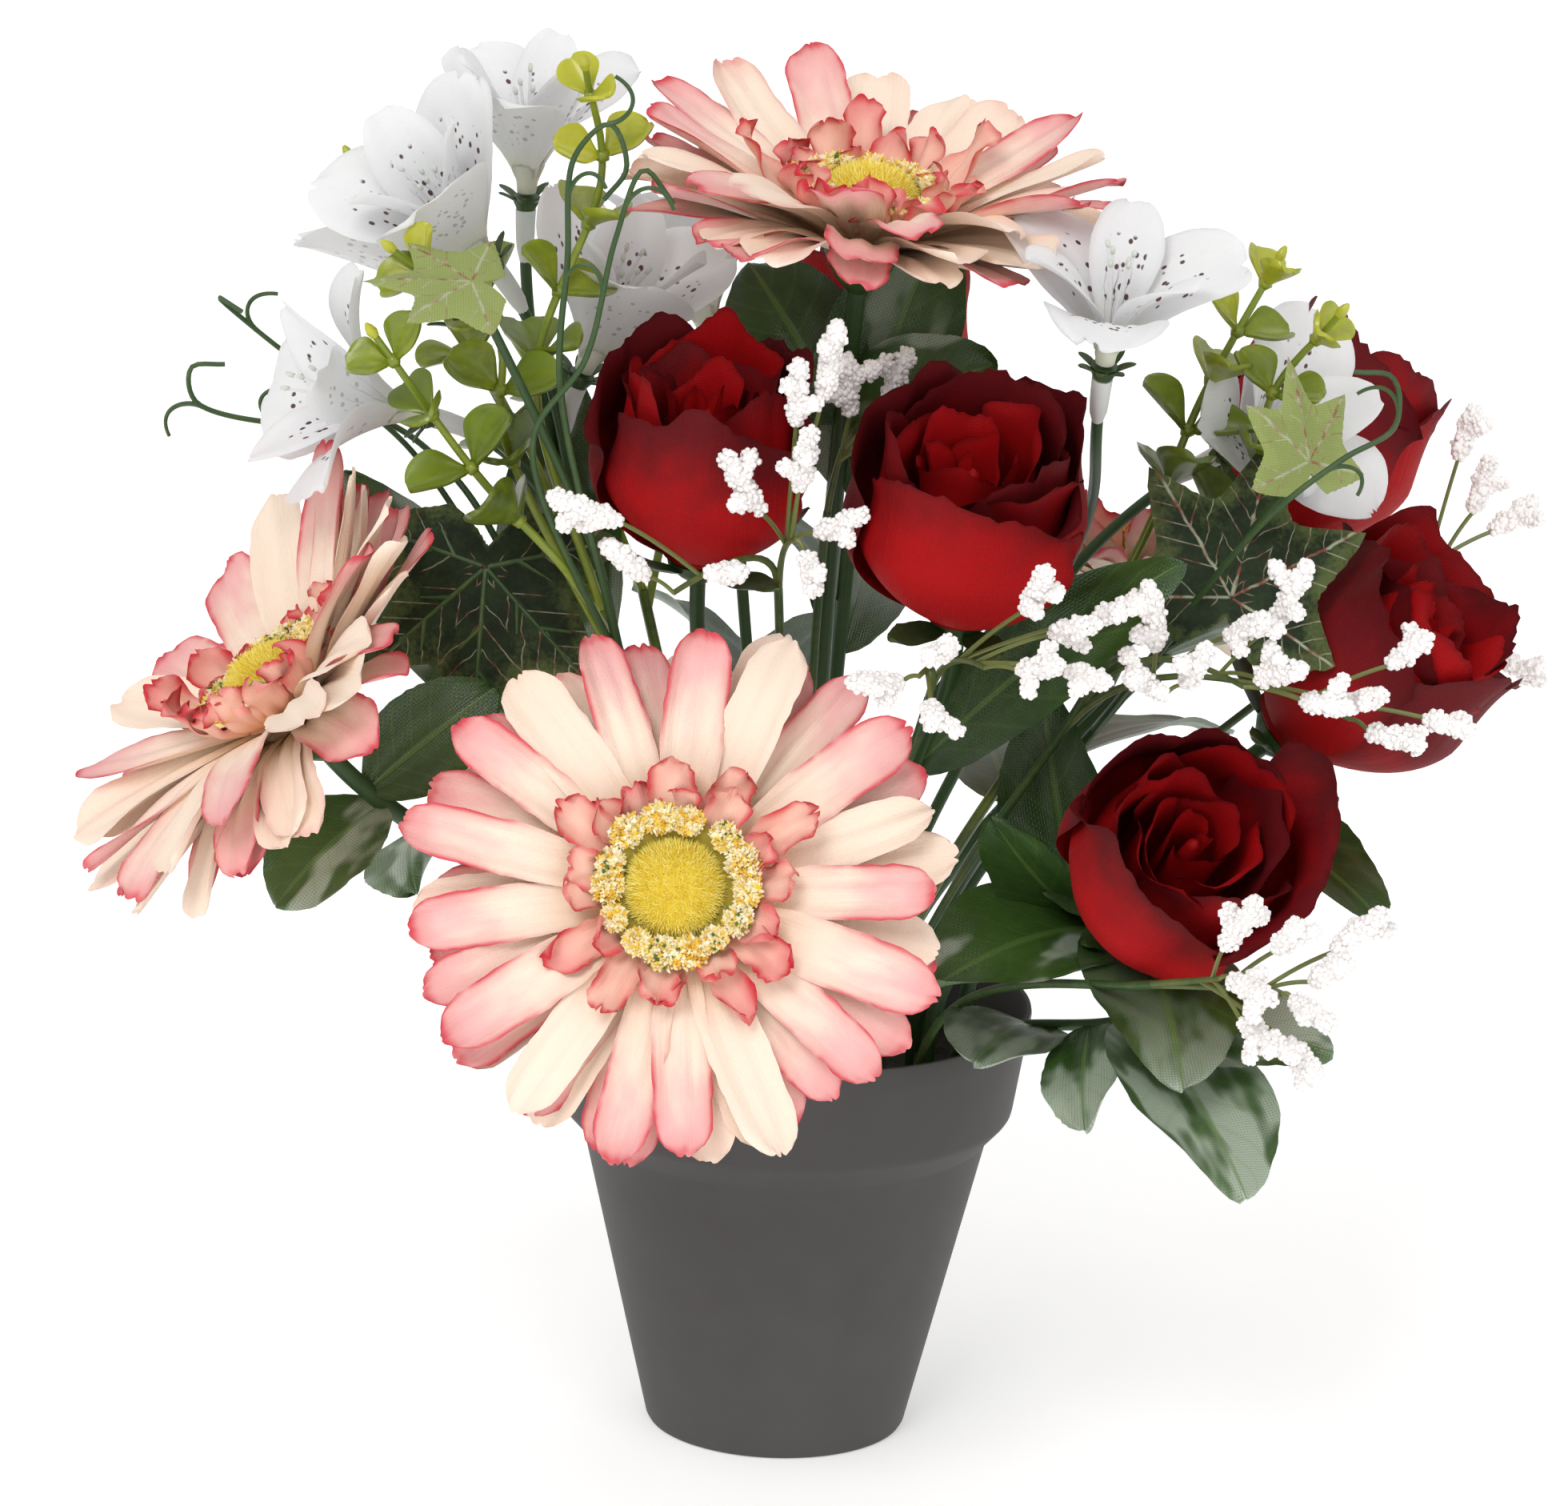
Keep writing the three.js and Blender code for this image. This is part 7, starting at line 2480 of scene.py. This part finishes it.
    def add_rod(self, skin: Skin, seat: Seat, plan: np.ndarray, face: float) -> None:
        """Adds a thin raised rod over a run of places in the leaf's plan.

        Args:
            skin: Skin of the sprig.
            seat: Placing of the leaf.
            plan: The places.
            face: Height of the rod over the leaf's middle surface.
        """
        reach, turn = np.linalg.norm(plan, axis=1), np.arctan2(plan[:, 1], plan[:, 0])
        height = self.height(turn, reach) + face
        skin.tube(seat.place(np.concatenate([plan, height[:, None]], axis=1)),
                  np.linspace(0.75, 0.3, len(plan)) * self.size / self.full, 6, 1, tone=0.6)


@dataclass(frozen=True)
class IvySpray(Sprig):
    """A trailing sprig: a stem with twigs to lobed leaves, and curly tendrils.

    Attributes:
        leaves: The leaves.
        tendrils: Points of each tendril.
        stem: Radius of the stem.
    """

    leaves: Sequence[IvyLeaf]
    tendrils: Sequence[Sequence[Triple]]
    stem: float = 1.2

    def add_tendril(self, skin: Skin, curl: Path, hand: int) -> None:
        """Adds a tendril with two hooked side tips.

        Args:
            skin: Skin of the sprig.
            curl: Path of the tendril.
            hand: Side of its first hook, 1 or -1.
        """
        skin.tube(curl.spread(90), np.linspace(self.stem * 0.8, self.stem * 0.5, 90), 8, 1, tone=0.55)
        for share, side, far in ((0.72, hand, 9), (0.86, -hand, 11)):
            root, ahead = curl.at(share), curl.along(share)
            aside = unit(np.cross(ahead, [0.2, 1.0, 0.1])) * side
            bend = Path.bezier(root, root + ahead * 5, root + ahead * 10 + aside * 6,
                               root + ahead * 3 + aside * far)
            skin.tube(bend.spread(20), np.linspace(self.stem * 0.55, self.stem * 0.4, 20), 6, 1, tone=0.55)

    def draw(self, index: int) -> None:
        """Makes the sprig.

        Args:
            index: Number of the sprig; not used.
        """
        skin = Skin()
        curve = self.curve(44, 36)
        skin.tube(curve.spread(44), self.stem, 8, 1, tone=0.4)
        for k, leaf in enumerate(self.leaves):
            start, along = side_shoot(curve, k, 0.08)
            back = unit(np.array(leaf.facing, float)) * -0.96
            twig = Path.bezier(start, start + along * 16, np.array(leaf.centre, float) + back)
            skin.tube(twig.spread(20), self.stem * 0.9, 8, 1, tone=0.5)
            leaf.add(skin)
        for k, points in enumerate(self.tendrils):
            start, _ = side_shoot(curve, k + len(self.leaves), 0.08)
            self.add_tendril(skin, Path.through([start, *points]), 1 if k % 2 else -1)
        skin.piece(f"ivy_{self.name}_sprig", [IVY.material(), STEM.material()], [f"ivy_spray_{self.name}"],
                   "ivy_leaf_cloth")


IVY_SPRAYS = [
    IvySpray("upper_left", (-24, -34), (-47, -52, 226), (-0.2, -0.15, 0.97),
             [IvyLeaf((-79, -68, 300), (-110, -70, 300), (0.1, -0.42, 0.9), 25, 0.95)],
             [[(-58, -66, 276), (-57, -68, 306), (-56, -67, 330), (-48, -68, 338), (-44, -68, 328),
               (-49, -66, 320)],
              [(-64, -66, 262), (-52, -72, 284), (-46, -72, 312), (-40, -70, 328), (-33, -68, 320)]]),
    IvySpray("left", (-36, -16), (-60, -24, 206), (-0.3, -0.05, 0.95),
             [IvyLeaf((-76, -26, 222), (-76, -22, 178), (-0.1, -0.93, 0.35), 46, 0.1, True)],
             [[(-84, -6, 238), (-105, 6, 250), (-121, 5, 248), (-148, 0, 254), (-149, -2, 263),
               (-141, -2, 264)],
              [(-96, 0, 244), (-117, 8, 258), (-130, 5, 268), (-143, 0, 280), (-137, -2, 277)]]),
    IvySpray("right", (30, -8), (84, -22, 204), (0.5, -0.2, 0.85),
             [IvyLeaf((101, -46, 226), (112, -52, 266), (0.1, -0.93, 0.35), 42, 0.1),
              IvyLeaf((117, -52, 261), (113, -46, 289), (0.6, -0.74, 0.3), 25, 0.9)],
             [[(108, -62, 250), (124, -62, 264), (136, -60, 272), (135, -58, 283), (126, -58, 284)]]),
]


# ---------------------------------------------------------------- gypsophila


@dataclass(frozen=True)
class Veil(Sprig):
    """Gypsophila: forks from a knot, and twigs from each fork to clusters of beads.

    Attributes:
        forks: Ends of the forks.
        clusters: Fork, middle and length of each cluster.
        stem: Radius of the stem.
        radius: Radius of a cluster.
        waist: How much less its girth is at its narrow places.
        bead: Radius of a bead.
        dense: Beads for each square millimetre of a cluster's length times its radius.
        lump: Distance of the narrow places.
    """

    forks: Sequence[Triple]
    clusters: Sequence[tuple[int, float, float, float, float]]
    stem: float = 1.1
    radius: float = 2.35
    waist: float = 0.26
    bead: float = 0.78
    dense: float = 3.3
    lump: float = 5.5

    def add_rod(self, skin: Skin, start: np.ndarray, along: np.ndarray, length: float, radius: float,
                seed: float) -> None:
        """Adds a lumpy rod of beads on a core.

        The rod is bent, with round ends, and its girth is less by the waist times a squared sine. Beads
        cover it by the golden angle, with a stray along, around and outwards.

        Args:
            skin: Skin of the spray.
            start: Start of the rod.
            along: Direction of the rod.
            length: Length.
            radius: Radius.
            seed: Draw of the rod.
        """
        turns = towards(along[None])[0]

        def line(share: np.ndarray) -> np.ndarray:
            """Middle line."""
            bow = (share - share**2)[:, None] * turns[1] * 6 * stray(seed + 4)
            return start + along * length * share[:, None] + bow

        def girth(share: np.ndarray) -> np.ndarray:
            """Radius with round ends and narrow places."""
            wave = np.sin(np.pi * share * length / self.lump + FULL_PHASE * hashed(seed + 3))
            return radius * round_ends(share) * (1 - self.waist * wave**2)

        count = int(length * radius * self.dense)
        k = np.arange(count)
        share = np.clip((k + 0.5 + 6 * stray(seed + k * 0.53)) / count, 0.01, 0.99)
        angle = k * GOLDEN + 1.1 * stray(seed + k * 0.91)
        out = turns[1] * np.cos(angle)[:, None] + turns[2] * np.sin(angle)[:, None]
        far = girth(share) * (0.86 + 0.3 * hashed(seed + k * 0.31))
        sizes = self.bead * (0.82 + 0.36 * hashed(seed + k * 0.77))
        skin.scatter(Form.bead(), line(share) + out * far[:, None], sizes, 1,
                     tone=0.3 + 0.7 * hashed(seed + k * 1.3))
        core = np.linspace(0.04, 0.96, 9)
        skin.tube(line(core), girth(core) * 0.95, 10, 1, tone=0.8)

    def add_cluster(self, skin: Skin, root: np.ndarray, middle: Triple, length: float, seed: float) -> None:
        """Adds a twig and its cluster: a rod with a short rod aslant, or two on longer ones.

        Args:
            skin: Skin of the spray.
            root: Start of the twig.
            middle: Middle of the cluster.
            length: Length of the cluster.
            seed: Draw of the cluster.
        """
        middle = np.array(middle, float)
        sway = np.array([stray(seed), stray(seed + 1), hashed(seed + 2) - 0.3])
        along = unit(unit(middle - root) + sway * 0.5)
        start = middle - along * length / 2
        self.add_rod(skin, start, along, length * 1.24, self.radius, seed)
        turns = towards(along[None])[0]
        for k, share in enumerate((0.3, 0.66) if length > 12.5 else (0.55,)):
            angle = FULL_PHASE * hashed(seed + 7 + k)
            out = turns[1] * math.cos(angle) + turns[2] * math.sin(angle)
            self.add_rod(skin, start + along * length * share, unit(out + along * 0.6),
                         6 + 3 * float(hashed(seed + 8 + k)), self.radius * 0.8, seed + 11 + k)
        twig = Path.bezier(root, (root + start) / 2 + UP * 1.5, start)
        skin.tube(twig.spread(8), self.stem * 0.5, 6, tone=0.95)

    def draw(self, index: int) -> None:
        """Makes the spray: on each fork the cluster most nearly ahead ends it, and the rest leave its side.

        Args:
            index: Number of the spray, which sets its draws.
        """
        skin = Skin()
        curve = self.curve(40, 30)
        skin.tube(curve.spread(40), self.stem, 8, tone=0.6)
        for fork, values in enumerate(self.forks):
            end = np.array(values, float)
            share = 1.0 if fork == 0 else 0.95 - 0.07 * (fork - 1)
            root, along = curve.at(share), curve.along(share)
            path = Path.bezier(root, root + along * np.linalg.norm(end - root) * 0.5, end)
            own = [(k, row) for k, row in enumerate(self.clusters) if row[0] == fork]
            ahead = path.along(1.0)
            own.sort(key=lambda pair: -float(unit(np.array(pair[1][1:4], float) - end) @ ahead))
            levels = [0.86, 0.64] if len(own) > 3 else [0.8]
            skin.tube(path.spread(16), np.linspace(self.stem * 0.85, self.stem * 0.6, 16), 8, tone=0.75)
            for order, (k, (_, *middle, length)) in enumerate(own):
                level = levels[min(len(levels) - 1, max(0, order - 1) // 2)]
                start = path.at(1.0 if order == 0 else level)
                self.add_cluster(skin, start, middle, length, index * 60.0 + k * 3)
        skin.piece(f"gypsophila_{self.name}_spray", [STEM.material(), BEADS.material()],
                   [f"gypsophila_spray_{self.name}"], "gypsophila_bead")


VEILS = [
    Veil("centre", (-2, -28), (-6, -52, 226), (-0.05, -0.5, 0.85), [(-30, -84, 232), (-2, -86, 246)], [
        (0, -49, -94, 253, 15), (0, -40, -90, 240, 12), (0, -17, -95, 240, 12), (1, 4, -82, 286, 15),
        (1, -14, -83, 257, 15), (1, -3, -85, 279, 13), (1, -1, -87, 264, 14), (1, 7, -87, 250, 12),
        (1, 1, -90, 240, 9)]),
    Veil("front", (8, -37), (30, -66, 204), (0.1, -0.6, 0.75), [(42, -104, 222), (27, -106, 220)], [
        (0, 52, -113, 242, 15), (0, 60, -114, 234, 13), (0, 71, -110, 238, 12), (0, 53, -118, 226, 14),
        (0, 64, -116, 224, 12), (1, 32, -113, 228, 8), (1, 18, -113, 220, 13), (1, 30, -115, 214, 9)]),
    Veil("right", (22, -34), (68, -52, 204), (0.35, -0.35, 0.86), [
        (84, -92, 214), (102, -90, 216), (128, -78, 206)], [
        (0, 80, -96, 232, 16), (0, 78, -99, 219, 13), (0, 90, -99, 222, 12), (1, 111, -90, 237, 15),
        (1, 101, -95, 231, 14), (1, 109, -97, 221, 13), (1, 120, -95, 214, 10), (2, 140, -77, 222, 10),
        (2, 130, -87, 213, 9), (2, 137, -86, 204, 12), (2, 150, -79, 206, 10)]),
    Veil("low", (31, -36), (84, -98, 146), (0.5, -0.7, 0.3), [(98, -124, 156), (112, -128, 154)], [
        (0, 101, -130, 170, 14), (0, 104, -134, 157, 14), (0, 108, -135, 146, 14), (0, 116, -133, 141, 11),
        (1, 112, -131, 168, 10), (1, 128, -126, 168, 13), (1, 122, -130, 160, 10), (1, 118, -133, 152, 11)]),
    Veil("right_rear", (42, 10), (128, 24, 196), (0.7, 0.1, 0.7), [(158, 42, 216)], [
        (0, 163, 54, 244, 12), (0, 167, 49, 232, 12), (0, 174, 41, 227, 12), (0, 177, 30, 192, 11)]),
    Veil("middle", (2, -14), (5, -32, 240), (0.1, -0.2, 0.97), [(8, -34, 256)], [
        (0, 9, -38, 271, 13), (0, 18, -42, 262, 11), (0, 20, -33, 273, 11)]),
]


# ---------------------------------------------------------------- leaf sprays


@dataclass(frozen=True)
class LeafSpray(Sprig):
    """A short stem with cloth leaves alone.

    Attributes:
        leaves: The leaves.
        stem: Radius of the stem.
    """

    leaves: Sequence[Leaf]
    stem: float = 1.4

    def draw(self, index: int) -> None:
        """Makes the stem and its leaves.

        Args:
            index: Number of the spray, which sets its draws.
        """
        node = f"leaf_spray_{self.name}"
        curve = self.curve(26, 26)
        skin = Skin()
        skin.tube(curve.spread(40), self.stem, 8, tone=0.4)
        skin.piece(f"leaves_{self.name}_stem", [STEM.material()], [node], "leaf_cloth")
        draw_leaves(curve, self.leaves, f"leaves_{self.name}_cloth", node, index * 29.0 + 3)


LEAF_SPRAYS = [
    LeafSpray("right", (39, -26), (84, -64, 128), (0.6, -0.6, 0.5), [
        (0.95, (107, -113, 99), 34, (0.4, -0.8, 0.4), 34), (0.8, (70, -92, 108), 18, (-0.3, -0.9, 0.3), 20),
        (0.6, (44, -72, 116), 26, (-0.2, -0.6, 0.75), 36), (0.9, (128, -84, 126), 24, (0.6, -0.6, 0.5), 30)]),
    LeafSpray("left", (-34, 10), (-70, 18, 176), (-0.5, 0.2, 0.85), [
        (0.98, (-112, 2, 238), 26, (-0.3, -0.8, 0.5), 30), (0.85, (-60, 14, 264), 28, (0.1, -0.9, 0.4), 24),
        (0.9, (-118, 48, 190), 26, (-0.5, 0.5, 0.7), 40),
        (0.7, (-84, 60, 138), 26, (-0.4, 0.6, 0.6), 40)]),
    LeafSpray("rear", (-8, 38), (-12, 72, 170), (-0.1, 0.5, 0.85), [
        (0.95, (-44, 104, 186), 26, (-0.3, 0.6, 0.7), 40), (0.9, (12, 112, 178), 26, (0.2, 0.7, 0.7), 40),
        (0.6, (-30, 100, 128), 26, (-0.3, 0.8, 0.5), 40)]),
]


# ---------------------------------------------------------------- studio


@dataclass(frozen=True)
class Light:
    """A broad far light: the direction that it comes from, its angle in degrees and its power."""

    name: str
    source: Triple
    angle: float
    power: float

    def draw(self) -> None:
        """Makes the light."""
        lamp = bpy.data.lights.new(self.name, "SUN")
        lamp.angle = math.radians(self.angle)
        lamp.energy = self.power
        thing = bpy.data.objects.new(self.name, lamp)
        thing.location = Vector(self.source)
        thing.rotation_euler = (-Vector(self.source)).to_track_quat("-Z", "Y").to_euler()
        bpy.context.scene.collection.objects.link(thing)


@dataclass(frozen=True)
class Studio:
    """The camera, the light and the pale floor.

    Attributes:
        eye: Place of the camera.
        target: Point that it looks at.
        roll: Turn about its line of sight, in degrees.
        focal: Focal length as a share of the image's width.
        sensor: Width of the sensor in millimetres.
        world: Strength of the light from all sides.
        lights: The lights.
        floor_reach: Half the floor's side, in metres.
        floor_grey: Its colour on each channel.
        floor_rough: Its roughness.
        floor_glow: Its own light.
    """

    eye: Triple = (0.0, -1700.0, 640.0)
    target: Triple = (-3.4, 0.0, 171.5)
    roll: float = 2.0
    focal: float = 9030 / IMAGE_SIZE[0]
    sensor: float = 36.0
    world: float = 0.59
    lights: Sequence[Light] = (
        Light("key", (-0.6, -1.5, 1.4), 26, 1.16),
        Light("fill", (0.9, -1.6, 0.6), 50, 0.5),
        Light("rear", (0.3, 0.9, 1.6), 50, 0.36),
    )
    floor_reach: float = 6.0
    floor_grey: float = 0.97
    floor_rough: float = 0.9
    floor_glow: float = 0.32

    def draw_camera(self) -> None:
        """Makes the camera, rolled about its line of sight."""
        lens = bpy.data.cameras.new("camera")
        lens.sensor_width = self.sensor
        lens.sensor_fit = "HORIZONTAL"
        lens.lens = self.focal * self.sensor
        lens.clip_start = 0.05
        ahead = unit(np.array(self.target) - np.array(self.eye))
        right = unit(np.cross(ahead, UP))
        up = np.cross(right, ahead)
        roll = math.radians(self.roll)
        x = right * math.cos(roll) + up * math.sin(roll)
        y = up * math.cos(roll) - right * math.sin(roll)
        thing = bpy.data.objects.new("camera", lens)
        place = Matrix(np.stack([x, y, -ahead], axis=1).tolist()).to_4x4()
        place.translation = Vector(self.eye) * MM
        thing.matrix_world = place
        bpy.context.scene.collection.objects.link(thing)
        bpy.context.scene.camera = thing

    def draw_floor(self) -> None:
        """Makes the floor under the pot."""
        mesh = bpy.data.meshes.new("floor")
        reach = self.floor_reach
        mesh.from_pydata([(-reach, -reach, 0), (reach, -reach, 0), (reach, reach, 0), (-reach, reach, 0)],
                         [], [(0, 1, 2, 3)])
        made = bpy.data.materials.new("floor")
        made.use_nodes = True
        surface = made.node_tree.nodes["Principled BSDF"].inputs
        surface["Base Color"].default_value = (*(self.floor_grey,) * 3, 1)
        surface["Roughness"].default_value = self.floor_rough
        surface["Emission Color"].default_value = (1, 1, 1, 1)
        surface["Emission Strength"].default_value = self.floor_glow
        mesh.materials.append(made)
        thing = bpy.data.objects.new("floor", mesh)
        bpy.context.scene.collection.objects.link(thing)

    def draw(self) -> None:
        """Makes the studio."""
        self.draw_camera()
        self.draw_floor()
        for light in self.lights:
            light.draw()
        world = bpy.data.worlds.new("studio")
        bpy.context.scene.world = world
        world.use_nodes = True
        background = world.node_tree.nodes["Background"]
        background.inputs["Color"].default_value = (1, 1, 1, 1)
        tree = Tree(world.node_tree)
        seen = tree.result("ShaderNodeLightPath", {}, "Is Camera Ray")
        tree.feed(background.inputs["Strength"], seen * (1.0 - self.world) + self.world)
        settings = bpy.context.scene.view_settings
        settings.view_transform = "Standard"
        settings.look = "None"


# ---------------------------------------------------------------- the whole


def dress_filler() -> None:
    """Gives the filler, which keeps its own mesh, its material."""
    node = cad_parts["filler"]
    node.data.materials.clear()
    node.data.materials.append(FILLER.material())


def main() -> None:
    """Makes every piece and the studio, and notes the sizes."""
    logging.basicConfig(level=logging.INFO, format="%(name)s %(message)s")
    dress_filler()
    Pot().draw()
    blooms = [bloom for row in TRUMPETS.values() for bloom in row]
    for parts, first in ((GERBERAS, 1), (ROSES, 1), (blooms, 0), (TRUMPET_STEMS, 0), (BOX_SPRAYS, 0),
                         (IVY_SPRAYS, 0), (VEILS, 0), (LEAF_SPRAYS, 0)):
        for index, part in enumerate(parts, first):
            part.draw(index)
    Studio().draw()


if __name__ == "__main__":
    main()
